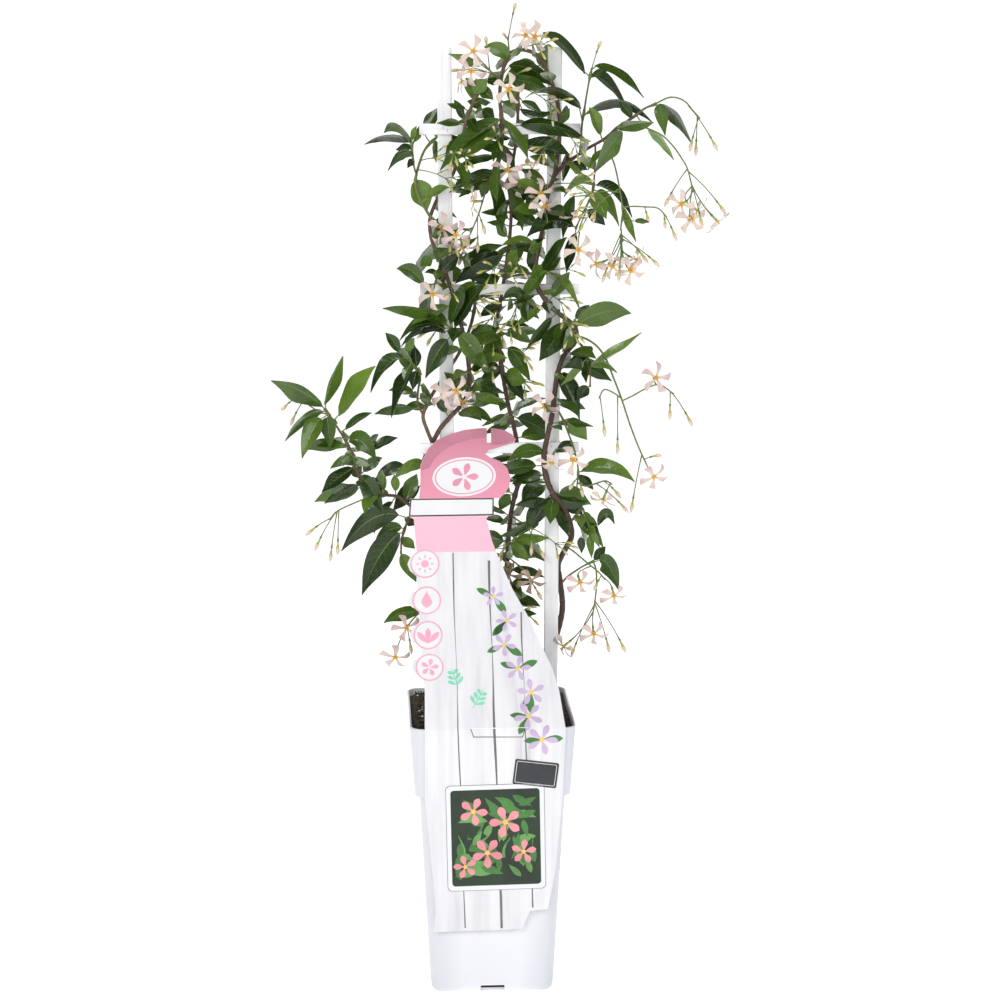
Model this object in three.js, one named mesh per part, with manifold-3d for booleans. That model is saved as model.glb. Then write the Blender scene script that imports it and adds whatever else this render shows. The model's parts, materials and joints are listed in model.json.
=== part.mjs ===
// Asiatic star jasmine trained on a small ladder trellis in a square nursery pot.
// Millimetres, +Z up, origin at the middle of the pot's base, the label's side faces -Y.
import * as THREE from "three";
import { mergeVertices } from "three/addons/utils/BufferGeometryUtils.js";
import Module from "manifold-3d";

const wasm = await Module();
wasm.setup();

// Pot
const rimZ = 222;
const collarZ = 165;
const rimWidth = 130;
const collarFootWidth = 122.5;
const bodyTopWidth = 114.8;
const baseWidth = 97;
const wall = 1.8;
const floorThickness = 2.2;
const cornerRadius = 11;
const baseRound = 7;
const notchWidth = 19;
const notchHeight = 6;
const slotWidth = 7;
const slotLength = 26;
// Soil
const soilZ = 214;
const soilRelief = 1.6;
// Trellis
const trellisX = 8;
const postSpacing = 85;
const postWidth = 11;
const postThickness = 5;
const postTopZ = 744;
const postFootZ = 160;
const postLean = 2.05;
const rungLength = 124;
const rungHeight = 8.3;
const rungThickness = 2.7;
const rungZ = { top: 682, middle: 558, bottom: 433 };
// Label
const labelThickness = 0.8;
const labelHangY = -66.2;
const labelBendZ = 438;
const labelRestY = -6.6;
const collarSlope = (rimWidth - collarFootWidth) / 2 / (rimZ - collarZ);
// Fit between touching pieces, and the slivers that a join is freed of
const gap = 0.3;
const shortEdge = 0.01;
const flatTriangle = 0.002;

// The plant is laid out as it is seen from the front: a place is given where its line of sight
// meets the trellis plane, with its real depth. The eye is where a person stands to look at it.
const eye = new THREE.Vector3(-111, -2355.5, 857.5);

function seen(x, z, depth) {
  const share = (depth - eye.y) / -eye.y;
  return new THREE.Vector3(
    eye.x + (x - eye.x) * share,
    depth,
    eye.z + (z - eye.z) * share,
  );
}

// Solids

function solidFrom(points, triangles) {
  let volume = 0;
  for (const [a, b, c] of triangles) {
    volume += points[a].dot(new THREE.Vector3().crossVectors(points[b], points[c]));
  }
  const turned = volume < 0 ? triangles.map(([a, b, c]) => [a, c, b]) : triangles;
  return new wasm.Manifold(new wasm.Mesh({
    numProp: 3,
    vertProperties: new Float32Array(points.flatMap((p) => [p.x, p.y, p.z])),
    triVerts: new Uint32Array(turned.flat()),
  }));
}

function solidOf(geometry) {
  geometry.deleteAttribute("normal");
  geometry.deleteAttribute("uv");
  const merged = mergeVertices(geometry, 1e-4);
  return new wasm.Manifold(new wasm.Mesh({
    numProp: 3,
    vertProperties: merged.attributes.position.array,
    triVerts: new Uint32Array(merged.index.array),
  }));
}

// The distance from a triangle's corner to its far edge.
function heightOver(from, to, corner) {
  const edge = new THREE.Vector3().subVectors(to, from);
  const reach = new THREE.Vector3().subVectors(corner, from);
  return new THREE.Vector3().crossVectors(edge, reach).length() / edge.length();
}

const turnsOf = ([a, b, c]) => [[a, b, c], [b, c, a], [c, a, b]];

// Finds one sliver and returns the triangles without it: an edge shorter than shortEdge closes up,
// and a triangle flatter than flatTriangle passes its long edge on to the corner beyond it.
function withoutOneSliver(points, faces) {
  const across = new Map();
  const beside = new Map();
  const key = (a, b) => a * points.length + b;
  for (const [a, b, c] of faces.flatMap(turnsOf)) {
    across.set(key(a, b), c);
    if (!beside.has(a)) beside.set(a, new Set());
    beside.get(a).add(b);
  }
  for (const face of faces) {
    const turns = turnsOf(face).sort((s, t) => (
      points[s[0]].distanceTo(points[s[1]]) - points[t[0]].distanceTo(points[t[1]])
    ));
    const [from, to] = turns[0];
    const shared = [...beside.get(from)].filter((p) => beside.get(to).has(p));
    if (points[from].distanceTo(points[to]) < shortEdge && shared.length === 2) {
      return faces
        .map((other) => other.map((p) => (p === from ? to : p)))
        .filter(([a, b, c]) => a !== b && b !== c && c !== a);
    }
    const [a, b, top] = turns[2];
    const beyond = across.get(key(b, a));
    const flatness = heightOver(points[a], points[b], points[top]);
    if (flatness < flatTriangle && !beside.get(top).has(beyond)) {
      const turned = [[top, a, beyond], [beyond, b, top]];
      const flattest = Math.min(...turned.flatMap(turnsOf).map(([p, q, r]) => (
        heightOver(points[p], points[q], points[r])
      )));
      if (flattest > flatness) {
        const kept = faces.filter((other) => !(
          other.includes(a) && other.includes(b) && (other.includes(top) || other.includes(beyond))
        ));
        return [...kept, ...turned];
      }
    }
  }
  return null;
}

function geometryOf(solid) {
  const mesh = solid.getMesh();
  const numbers = mesh.vertProperties;
  const points = [];
  for (let i = 0; i < numbers.length; i += 3) {
    points.push(new THREE.Vector3(numbers[i], numbers[i + 1], numbers[i + 2]));
  }
  let faces = [];
  for (let i = 0; i < mesh.triVerts.length; i += 3) faces.push([...mesh.triVerts.slice(i, i + 3)]);
  for (let next = faces; next; next = withoutOneSliver(points, faces)) faces = next;
  const used = [...new Set(faces.flat())];
  const order = new Map(used.map((p, i) => [p, i]));
  const geometry = new THREE.BufferGeometry().setFromPoints(used.map((p) => points[p]));
  geometry.setIndex(faces.flat().map((p) => order.get(p)));
  return geometry;
}

// A closed skin over a row of rings. A ring of one point closes to a tip, others get a flat cap.
function loft(rings) {
  const points = rings.flat();
  const starts = [];
  let count = 0;
  for (const ring of rings) {
    starts.push(count);
    count += ring.length;
  }
  const triangles = [];
  for (let i = 0; i + 1 < rings.length; i += 1) {
    const near = rings[i].length;
    const far = rings[i + 1].length;
    const sides = Math.max(near, far);
    for (let k = 0; k < sides; k += 1) {
      const next = (k + 1) % sides;
      const a = starts[i] + (near > 1 ? k : 0);
      const b = starts[i] + (near > 1 ? next : 0);
      const c = starts[i + 1] + (far > 1 ? next : 0);
      const d = starts[i + 1] + (far > 1 ? k : 0);
      if (near > 1) triangles.push([a, b, c]);
      if (far > 1) triangles.push([a, c, d]);
    }
  }
  const last = rings.length - 1;
  for (let k = 1; k + 1 < rings[0].length; k += 1) triangles.push([0, k + 1, k]);
  for (let k = 1; k + 1 < rings[last].length; k += 1) {
    triangles.push([starts[last], starts[last] + k, starts[last] + k + 1]);
  }
  return solidFrom(points, triangles);
}

// A smooth line through the given places, sampled every so many millimetres.
function smoothLine(places, spacing) {
  const curve = new THREE.CatmullRomCurve3(places, false, "centripetal");
  const spans = places.length - 1;
  const line = [];
  for (let i = 0; i < spans; i += 1) {
    const cuts = Math.max(1, Math.round(places[i].distanceTo(places[i + 1]) / spacing));
    for (let k = 0; k < cuts; k += 1) line.push(curve.getPoint((i + k / cuts) / spans));
  }
  line.push(places[spans].clone());
  return line;
}

// The same line with both its ends drawn out a little.
function drawnOut(line, by) {
  const longer = line.map((place) => place.clone());
  const last = line.length - 1;
  longer[0].addScaledVector(line[0].clone().sub(line[1]).normalize(), by);
  longer[last].addScaledVector(line[last].clone().sub(line[last - 1]).normalize(), by);
  return longer;
}

// A closed tube along a line, its rings carried from one place to the next without twist.
function tube(line, startRadius, endRadius, sides, grow = 0) {
  const rings = [];
  let across = null;
  for (let i = 0; i < line.length; i += 1) {
    const before = line[Math.max(0, i - 1)];
    const after = line[Math.min(line.length - 1, i + 1)];
    const along = after.clone().sub(before).normalize();
    if (across === null) {
      across = Math.abs(along.y) < 0.8 ? new THREE.Vector3(0, 1, 0) : new THREE.Vector3(1, 0, 0);
    }
    across.addScaledVector(along, -across.dot(along)).normalize();
    const other = new THREE.Vector3().crossVectors(along, across);
    const radius = THREE.MathUtils.lerp(startRadius, endRadius, i / (line.length - 1)) + grow;
    const ring = [];
    for (let k = 0; k < sides; k += 1) {
      const angle = (2 * Math.PI * k) / sides;
      ring.push(line[i].clone()
        .addScaledVector(across, radius * Math.cos(angle))
        .addScaledVector(other, radius * Math.sin(angle)));
    }
    rings.push(ring);
  }
  return loft(rings);
}

function box(lengthX, lengthY, lengthZ, x, y, z) {
  return solidOf(new THREE.BoxGeometry(lengthX, lengthY, lengthZ).translate(x, y, z));
}

// Pot: thin-walled square taper with a deep collar, notched and slotted at the base

function roundedSquare(width, z, radius, perCorner = 3) {
  const ring = [];
  for (let corner = 0; corner < 4; corner += 1) {
    const middle = Math.PI / 4 + (corner * Math.PI) / 2;
    const centreX = Math.sign(Math.cos(middle)) * (width / 2 - radius);
    const centreY = Math.sign(Math.sin(middle)) * (width / 2 - radius);
    for (let k = 0; k < perCorner; k += 1) {
      const angle = middle - Math.PI / 4 + (k / (perCorner - 1)) * (Math.PI / 2);
      ring.push(new THREE.Vector3(
        centreX + radius * Math.cos(angle),
        centreY + radius * Math.sin(angle),
        z,
      ));
    }
  }
  return ring;
}

function bodyWidthAt(z) {
  return THREE.MathUtils.lerp(baseWidth, bodyTopWidth, z / collarZ);
}

function makePot() {
  const outside = loft([
    roundedSquare(baseWidth - baseRound, 0, cornerRadius - baseRound / 2),
    roundedSquare(bodyWidthAt(baseRound), baseRound, cornerRadius),
    roundedSquare(bodyTopWidth, collarZ + 1.5, cornerRadius),
    roundedSquare(collarFootWidth, collarZ, cornerRadius),
    roundedSquare(rimWidth, rimZ, cornerRadius),
  ]);
  const shoulder = 6;
  const inside = loft([
    roundedSquare(bodyWidthAt(0) - 2 * wall - baseRound, floorThickness, cornerRadius - baseRound / 2),
    roundedSquare(bodyWidthAt(baseRound) - 2 * wall, floorThickness + baseRound, cornerRadius - wall),
    roundedSquare(bodyTopWidth - 2 * wall, collarZ - wall, cornerRadius - wall),
    roundedSquare(collarFootWidth - 2 * wall, collarZ + shoulder, cornerRadius - wall),
    roundedSquare(rimWidth - 2 * wall, rimZ + 1, cornerRadius - wall),
  ]);
  const cuts = [];
  for (const turn of [0, 1, 2, 3]) {
    const along = turn % 2 === 1;
    const side = turn < 2 ? -1 : 1;
    const depth = 5;
    const reach = side * (baseWidth / 2 - 1);
    cuts.push(along
      ? box(depth * 2, notchWidth, notchHeight * 2, reach + side, 0, 0)
      : box(notchWidth, depth * 2, notchHeight * 2, 0, reach + side, 0));
    const slotAt = side * baseWidth * 0.27;
    cuts.push(along
      ? box(slotWidth, slotLength, 20, slotAt, 0, 0)
      : box(slotLength, slotWidth, 20, 0, slotAt, 0));
  }
  let pot = outside.subtract(inside);
  for (const cut of cuts) pot = pot.subtract(cut);
  return pot;
}

// Soil: fills the pot, its crumbly top rises and falls by a formula

function soilHeight(x, y) {
  const broad = Math.sin(x * 0.071 + 1.3) * Math.cos(y * 0.083 - 0.6);
  const fine = Math.sin(x * 0.31 + y * 0.17) * Math.cos(y * 0.29 - x * 0.11);
  return soilZ + soilRelief * (0.6 * broad + 0.4 * fine);
}

function makeSoil() {
  const cells = 12;
  const half = rimWidth;
  const points = [];
  for (let j = 0; j <= cells; j += 1) {
    for (let i = 0; i <= cells; i += 1) {
      const x = -half + (2 * half * i) / cells;
      const y = -half + (2 * half * j) / cells;
      points.push(new THREE.Vector3(x, y, soilHeight(x, y)));
    }
  }
  const row = cells + 1;
  const under = points.push(new THREE.Vector3(0, 0, -500)) - 1;
  const triangles = [];
  for (let j = 0; j < cells; j += 1) {
    for (let i = 0; i < cells; i += 1) {
      const a = j * row + i;
      triangles.push([a, a + 1, a + row + 1], [a, a + row + 1, a + row]);
    }
  }
  const edge = [];
  for (let i = 0; i < cells; i += 1) edge.push(i);
  for (let j = 0; j < cells; j += 1) edge.push(j * row + cells);
  for (let i = cells; i > 0; i -= 1) edge.push(cells * row + i);
  for (let j = cells; j > 0; j -= 1) edge.push(j * row);
  edge.forEach((a, k) => {
    const b = edge[(k + 1) % edge.length];
    triangles.push([a, under, b]);
  });
  const block = solidFrom(points, triangles);
  const clear = 2 * (wall + gap);
  const shoulder = 6;
  const room = loft([
    roundedSquare(bodyWidthAt(0) - clear - baseRound, floorThickness + gap, cornerRadius - baseRound / 2),
    roundedSquare(bodyWidthAt(baseRound) - clear, floorThickness + baseRound, cornerRadius - wall - gap),
    roundedSquare(bodyTopWidth - clear, collarZ - wall, cornerRadius - wall - gap),
    roundedSquare(collarFootWidth - clear, collarZ + shoulder + 0.2, cornerRadius - wall - gap),
    roundedSquare(rimWidth - clear, rimZ + 1, cornerRadius - wall - gap),
  ]);
  return block.intersect(room);
}

// Trellis: two posts in the soil, three rungs fixed across their fronts

function postOutline(side, grow = 0) {
  const topX = trellisX + (side * postSpacing) / 2;
  const footX = topX - side * postLean;
  const half = postWidth / 2 + grow;
  const outline = new THREE.Shape();
  outline.moveTo(footX - half, postFootZ - grow);
  outline.lineTo(footX + half, postFootZ - grow);
  outline.lineTo(topX + half, postTopZ);
  outline.lineTo(topX - half, postTopZ);
  outline.closePath();
  return outline;
}

// An outline drawn in X and Z, given a thickness along Y from front to back.
function plate(outline, frontY, backY) {
  const geometry = new THREE.ExtrudeGeometry(outline, { depth: backY - frontY, bevelEnabled: false });
  geometry.rotateX(Math.PI / 2);
  geometry.translate(0, backY, 0);
  return solidOf(geometry);
}

function makePost(side, grow = 0) {
  const half = postThickness / 2 + grow;
  return plate(postOutline(side, grow), -half, half);
}

function makeRung(z) {
  const back = -postThickness / 2 - gap;
  return box(rungLength, rungThickness, rungHeight, trellisX, back - rungThickness / 2, z);
}

// Label: one thin card that hangs on the pot's front rim and leans back on the bottom rung.
// Its outline is given as it is seen, and each point slides along its line of sight to the card.

function labelY(z) {
  if (z <= rimZ) return labelHangY + (rimZ - z) * collarSlope;
  const rise = (Math.min(z, labelBendZ) - rimZ) / (labelBendZ - rimZ);
  return THREE.MathUtils.lerp(labelHangY, labelRestY, rise);
}

function ontoLabel(x, z) {
  let found = new THREE.Vector3(x, 0, z);
  for (let i = 0; i < 8; i += 1) found = seen(x, z, labelY(found.z));
  return found;
}

const labelOutline = [
  [-54.2, 419], [-54.5, 400.4], [-55.5, 392.2], [-62.6, 392.2], [-63.7, 377.8], [-59.7, 375.7],
  [-57.8, 350.7], [-56.8, 347.6], [-62.9, 344.6], [-65, 339.4], [-63, 334.1], [-57.9, 329.9],
  [-56.9, 318.4], [-62, 315.3], [-64.1, 310.1], [-62.1, 304.9], [-56, 301.7], [-55.5, 292.2],
  [-61.2, 287], [-63.3, 281.8], [-61.2, 276.5], [-55.1, 273.3], [-54.1, 264.8], [-60.3, 260.7],
  [-61.9, 255.4], [-59.3, 250.1], [-53.2, 246.9], [-51.7, 236.3], [-52.1, 145.6], [-48.2, 103.5],
  [-45.7, 77.4], [-43.7, 51.2], [-45.2, 34.1], [26.2, 35.5], [32.7, 50.7], [47.3, 52.1],
  [53.5, 85.5], [59.1, 151.4], [61.3, 201.8], [55.6, 235.3], [50.7, 251.9], [37.8, 279.5],
  [29.8, 297.5], [17.8, 319.2], [8.4, 341.3], [2, 357.4], [-2.6, 377.1], [3.5, 378.1],
  [3.5, 392.1], [8.4, 392.1], [13.1, 396.7], [15.7, 401.8], [16.7, 408], [13.9, 416.3],
  [8.4, 421.5], [0.5, 424.6], [-3.5, 427.7], [-0.4, 430.8], [4.4, 431.8], [10.6, 433.8],
  [17.7, 436.1], [21, 438.4], [17.7, 443], [12.2, 446.1], [4.4, 447.7], [-7.4, 448],
  [-19.2, 446.8], [-31, 443.7], [-41.1, 439], [-48.2, 431.9], [-51.3, 426.1],
];
const labelSlit = { x: -0.4, width: 3.2, fromZ: 436.4, toZ: 452 };
const hookHalfWidth = 23;
const hookX = 4;
const hookDrop = 4.5;

function makeLabel() {
  const outline = new THREE.Shape(labelOutline.map(([x, z]) => {
    const place = ontoLabel(x, z);
    return new THREE.Vector2(place.x, place.z);
  }));
  const prism = plate(outline, -200, 200);
  const heights = [40, rimZ, labelBendZ, labelBendZ + 30];
  const sheet = new THREE.Shape();
  heights.forEach((z, i) => {
    if (i === 0) sheet.moveTo(labelY(z), z);
    else sheet.lineTo(labelY(z), z);
  });
  for (const z of [...heights].reverse()) sheet.lineTo(labelY(z) + labelThickness, z);
  sheet.closePath();
  const slab = new THREE.ExtrudeGeometry(sheet, { depth: 300, bevelEnabled: false });
  // The section lies in Y and Z: the extrusion runs along X.
  slab.applyMatrix4(new THREE.Matrix4().makeBasis(
    new THREE.Vector3(0, 1, 0),
    new THREE.Vector3(0, 0, 1),
    new THREE.Vector3(1, 0, 0),
  ).setPosition(-150, 0, 0));
  let label = prism.intersect(solidOf(slab));
  const slit = ontoLabel(labelSlit.x, labelSlit.fromZ);
  label = label.subtract(box(
    labelSlit.width, 20, labelSlit.toZ - labelSlit.fromZ,
    slit.x, slit.y, slit.z + (labelSlit.toZ - labelSlit.fromZ) / 2,
  ));
  // A tab folded back over the rim and down inside it holds the card.
  const tabZ = rimZ + gap;
  const innerY = -rimWidth / 2 + wall + gap + collarSlope * (hookDrop + 2);
  const front = labelY(tabZ) + 0.2;
  const bridge = box(
    2 * hookHalfWidth, innerY + labelThickness - front, labelThickness,
    hookX, (innerY + labelThickness + front) / 2, tabZ + labelThickness / 2,
  );
  const drop = box(
    2 * hookHalfWidth, labelThickness, hookDrop + labelThickness,
    hookX, innerY + labelThickness / 2, tabZ + labelThickness - (hookDrop + labelThickness) / 2,
  );
  return label.add(bridge).add(drop);
}

// Plant tables
// path: x, z as seen and depth y. leaves: base x, z, tip x, z, width as seen, lean of the tip in
// depth, arch of the rib. blooms: x, z, lean from the stalk, turn and tilt of its face in degrees.
// buds: tip x, z, lean.

const stems = [
  {
    node: "left_stem", radius: [2.4, 1.2],
    path: [[-26.4, 184, 15.3], [-27, 240, 14], [-34, 310, 9], [-45, 372, 6], [-52, 412, 3],
      [-51, 424, 1.5], [-46, 434, 0.5], [-42.2, 441.6, -2.4], [-38, 449, -5.5], [-31, 457, -6.4],
      [-21, 468, -6], [-16, 480, -5], [-17, 505, -5.5], [-22, 530, -9], [-28, 552, -10],
      [-31.5, 563, -10], [-35.5, 574, -8], [-41, 586, -6], [-45, 598, -1], [-46, 612, 3.5],
      [-42, 624, 6.5], [-36, 636, 7], [-27.6, 648, 6.8], [-24, 662, -3], [-21, 672, -9],
      [-19, 682, -10], [-16, 692, -9], [-11, 705, -8], [-4, 716, -7]],
    leaves: [
      [-51, 418, -76, 407, 9, -16, 6], [-66, 417, -90, 407, 10, -6, 3],
      [-44, 581, -53.5, 576, 9, -4], [-38, 571, -23, 585, 11, -5], [-40, 574, -35, 562, 8, -5],
      [-19, 689, -27, 704, 6, 8],
      [-12, 709, -1, 719, 11, -8], [-8, 712, 3, 704, 9, -10],
      [-2, 718, 8, 716, 6, -5], [-20, 674, -34, 660, 9, -8], [-20, 676, -8, 668, 9, 5],
      [-16, 690, -10, 680, 8, -6], [-11, 704, -18, 721, 9, 6],
    ],
  },
  {
    node: "left_twining_stem", parent: "left_stem", radius: [2, 1.1],
    path: [[-44.5, 436.5, -0.5], [-48.5, 446, 1], [-52, 458, 2], [-49, 467, 4], [-43, 478, 7],
      [-31, 496, 7.5], [-22, 511, 6.5], [-13, 535, 4], [-11, 556, 3.5], [-17, 576, 0],
      [-27, 589, -7], [-34, 598, -8], [-41, 607, -7.5], [-48, 618, -5], [-53, 627, -3],
      [-57, 640, -2], [-54, 655, 0], [-49, 667, 4.5], [-41, 675, 6.5], [-33, 681, 6.5],
      [-24, 687, 5], [-15, 691, 1.5], [-6, 698, -1]],
    leaves: [
      [-57, 643, -48, 619, 17, 5], [-42, 673, -41, 656, 6, 8], [-51, 677, -38, 699, 9, 3],
      [-6, 697, -17, 703, 6, 4],
      [-5, 697, 4, 688, 9, 5], [-50, 465, -66, 466, 7, 5], [-15, 540, -24, 556, 8, 6],
    ],
  },
  {
    node: "right_stem", radius: [2.6, 1.3],
    path: [[44, 184, 17.2], [44, 230, 16], [47, 258, 11], [53, 279, 8], [58, 303, 6.5],
      [56, 325, 6.5], [54.5, 338, 6.5], [60, 350, 5], [65, 361, 0], [63, 374, -6],
      [58, 385, -8], [51, 394, -9], [46, 405, -9], [43, 418, -9.5], [43.5, 431, -11],
      [46, 443, -9.5], [49, 457, -8], [50.5, 469, -7.5], [54, 492, -7], [59, 506, -5],
      [67, 516, -3], [68, 524, -3], [62, 532, -5], [52, 540, -8], [43, 550, -10],
      [37, 561, -10.5], [36, 575, -8], [39, 592, -5], [42, 608, -5], [43.5, 622, -6],
      [46.5, 635, -7], [50.4, 646, -7], [53, 663, -7], [54.5, 677, -10], [54.5, 688, -10],
      [53, 700, -8], [50, 712, -7], [46, 722, -6], [40, 733.5, -5], [33, 740, -4],
      [24, 742, -3], [17, 740, -2], [12.5, 733, -2], [9.5, 721, -2.5], [8, 706, -4],
      [9.5, 690, -9], [10, 676, -9.5], [8, 662, -8], [3, 648, -6], [-1, 640, -5]],
    leaves: [
      [67, 528, 111, 538, 18, -10, 5], [63, 531, 39, 501, 18, -12], [44, 549, 47, 538, 8, -6],
      [54, 491, 71, 454, 13, -8, 6], [43, 428, 15, 422, 11, -8, 4], [42, 410, 17, 408, 9, 6],
      [51, 393, 78, 389, 9, -8, -4], [50, 392, 32, 368, 11, -8], [50, 388, 63, 360, 8, -8],
      [46, 390, 20, 386, 8, 6], [50, 389, 48, 371, 12, -4],
      [16, 735, -4, 744, 11, -7, 2], [36, 738, 50, 722, 12, 7, 3], [14, 730, 50, 714, 13, -10, 3],
      [10, 690, -38, 650, 14, -10, 4], [9, 682, -28, 657, 11, -12, 2], [22, 684, 76, 672, 12, -14, 4],
      [11, 690, 30, 659, 9, -9], [55, 685, 62, 697, 7, 6], [4, 650, -31, 633, 8, -6],
      [2, 646, 10, 601, 11, -10], [-1, 641, -6, 629, 8, 4],
      [8, 668, 20, 652, 9, 6], [39, 592, 30, 575, 9, 6],
      [58, 388, 74, 378, 9, 7],
    ],
    blooms: [[35, 752, -8, 8, 12], [28, 753, 5, -30, 20]],
  },
  {
    node: "centre_stem", radius: [2.3, 1.1],
    path: [[10, 184, 11.2], [10, 240, 10], [13, 320, 6], [17, 380, 4], [24, 412, 3],
      [21, 440, 3], [14, 470, 2], [9, 500, 1.5], [6, 530, 2], [10, 556, 3],
      [15, 590, 3], [17, 620, 2], [15, 640, 2], [18, 655, 2.5], [21, 675, 3.5],
      [22, 690, 3.5], [22, 705, 3], [24, 720, 3], [26.5, 731, 2.5]],
    leaves: [
      [14, 526, 33, 515, 9, -8], [14, 512, 32, 485, 12, -10, 3], [11, 492, 27, 469, 10, -9],
      [10, 495, -8, 484, 9, 6], [12, 584, -27, 562, 15, -12, 4],
      [12, 500, -3, 515, 9, 7],
      [24, 670, 62, 662, 14, -14], [24, 684, 28, 667, 8, -7], [16, 639, 26, 603, 10, -8],
      [25, 703, 41, 693, 6, -6],
      [24, 697, 51, 697, 6, -8, -7], [21, 700, 15, 715, 8, 6],
      [17, 622, 33, 640, 9, 7],
      [12, 575, 28, 590, 9, 7], [15, 355, 31, 341, 10, -9], [16, 395, 8, 382, 9, 5],
      [10, 545, -8, 536, 8, -6], [9, 520, -6, 506, 9, -8],
    ],
  },
  {
    node: "centre_right_twig", parent: "centre_stem", radius: [1, 0.8],
    path: [[9, 549, 2.5], [15, 549, -3], [22, 549.5, -7], [29, 548.5, -9], [33, 548, -10]],
    leaves: [[28, 551, 10, 549, 8, -4, 4], [30, 548, 25, 536, 8, -4]],
    buds: [[42, 541, -6]],
  },
  {
    node: "middle_cross_shoot", parent: "centre_stem", radius: [1.2, 0.9],
    path: [[12, 567, 3], [19, 568, 2], [27, 569, 0.5], [36, 569.5, -2], [43, 570, -6.5]],
    leaves: [
      [43, 570, 71, 541, 6, -8, 6], [40, 571, 56, 582, 10, -7], [41, 571, 60, 598, 9, -9],
      [36, 570, 30, 586, 8, 5],
    ],
  },
  {
    node: "upper_left_shoot", parent: "left_twining_stem", radius: [1.1, 0.8],
    path: [[-56.5, 646, -1.5], [-58, 653, -5], [-59, 662, -6.5], [-59.5, 672, -7]],
    leaves: [
      [-60, 672, -81, 679, 7, -6, 7], [-60, 671, -96, 670, 6, -4, 4], [-60, 667, -72, 666, 6, -5],
      [-59, 661, -78, 650, 7, -6, 6], [-58, 658, -63, 652, 5, -4], [-58, 672, -52, 685, 5, 4],
      [-60, 673, -56, 684, 4, -5],
    ],
  },
  {
    node: "left_flower_twig", parent: "left_stem", radius: [1, 0.8],
    path: [[-34, 570, -8.5], [-38, 565, -13], [-43, 562, -15], [-50, 562, -15]],
    leaves: [[-51, 562, -72, 574, 11, -3, 3]],
    blooms: [[-44, 554, -6, -6, 8]],
  },
  {
    node: "left_whorl_shoot", parent: "left_stem", radius: [1.3, 1],
    path: [[-17, 505, -5.5], [-20, 514, -9], [-25, 522, -12], [-31, 528, -14]],
    leaves: [
      [-31, 529, -18, 561, 10, -8, 2], [-28, 526, -3, 562, 12, -12, 2], [-25, 523, -1, 492, 15, -10, 4],
      [-32, 519, -50, 488, 14, -8, 3], [-33, 526, -70, 518, 8, -6, 8], [-33, 523, -69, 513, 8, 4, 8],
      [-33, 529, -83, 543, 10, -8, 4], [-33, 530, -58, 542, 8, 5, 3],
    ],
  },
  {
    node: "middle_left_twig", parent: "left_twining_stem", radius: [1.3, 0.9],
    path: [[-52.5, 459, 2], [-56, 468, 3], [-55.5, 480, 3], [-54, 489, 2], [-58, 497, 0],
      [-63, 503, -2], [-69, 508, -3]],
    leaves: [
      [-70, 509, -81, 524, 8, -5], [-66, 504, -93, 477, 9, -6, 8], [-59, 497, -77, 457, 9, -8, 5],
      [-57, 494, -60, 479, 8, -5], [-57, 497, -58, 513, 8, 5],
    ],
  },
  {
    node: "left_bough", parent: "left_stem", radius: [1.9, 1],
    path: [[-45, 372, 6], [-52, 376, 2], [-59, 383, -3], [-65, 389, -5], [-72, 394, -6],
      [-85, 396, -8], [-97, 402, -10], [-104, 414, -10], [-107, 427, -9], [-112, 437, -8],
      [-118, 448, -8], [-124, 457, -8], [-129, 465, -8]],
    leaves: [
      [-129, 465, -170.5, 487, 13, -7, 3], [-129, 466, -114, 506, 8, -5, 2],
      [-119, 457, -89, 498, 13, -8, 3], [-129, 462, -160, 439, 8, -7, 6],
      [-131, 457, -147, 425, 14, -6, 5], [-127, 458, -125, 432, 12, -7, 4],
      [-112, 434, -136, 435, 7, -5], [-110, 438, -89, 423, 15, -7, 7], [-92, 432, -72, 441, 7, -6],
      [-96, 434, -87, 444, 5, -5], [-107, 426, -125, 417, 7, -6], [-106, 418, -132, 398, 11, -8],
      [-102, 404, -130, 389, 9, -6], [-103, 411, -84, 380, 14, -9, 3],
      [-66, 391, -57, 412, 11, 5],
      [-86, 397, -92, 410, 8, 7],
    ],
  },
  {
    node: "lower_left_shoot", parent: "left_bough", radius: [1.3, 0.9],
    path: [[-59, 383, -3], [-63, 377, -8], [-67, 368, -10], [-69.5, 358, -10], [-70, 348, -10]],
    leaves: [
      [-70, 379, -117, 350.6, 17, -8, 9], [-70, 366, -101, 315, 20, -8, 4],
      [-69, 369, -91, 356, 10, 5, 3], [-67, 376, -57, 371, 8, 3], [-70, 360, -59, 352, 8, 4],
      [-70, 348, -58, 325, 11, -3],
    ],
  },
  {
    node: "upper_right_branch", parent: "right_stem", radius: [1.9, 1],
    path: [[50, 645, -7], [57, 653, -10], [68, 661, -11], [78, 667.5, -11], [88, 673, -12],
      [100, 683, -13], [112, 691, -14], [120, 697, -15], [129, 701, -16]],
    leaves: [
      [62, 653, 76, 650, 8, -5], [60, 663, 57, 641, 7, 6], [98, 681, 127, 686, 9, -5],
      [104, 679, 82, 648, 13, -6, 3], [130, 700, 136, 676, 10, -3, 3], [130, 700, 157, 669, 8, -7, 6],
      [122, 681, 143, 657, 6, -5, 3], [110, 690, 100, 702, 7, 6],
    ],
  },
  {
    node: "top_right_shoot", parent: "upper_right_branch", radius: [1.3, 0.8],
    path: [[70, 662, -11], [71, 672, -10], [71.5, 684, -8], [73.5, 697, -6], [75.5, 710, -6],
      [77.5, 721, -6], [79, 728, -6]],
    leaves: [
      [72, 695, 28, 705, 7, -8, 11], [75, 722, 41, 755, 9, -6, 5], [80, 729, 119, 705, 7, -6, 8],
      [79, 723, 109, 689, 7, 5, 6], [78, 721, 92, 726, 5, -8], [73, 691, 126, 686, 7, -6, 13],
    ],
    buds: [[86, 749, 2]],
  },
  {
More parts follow.
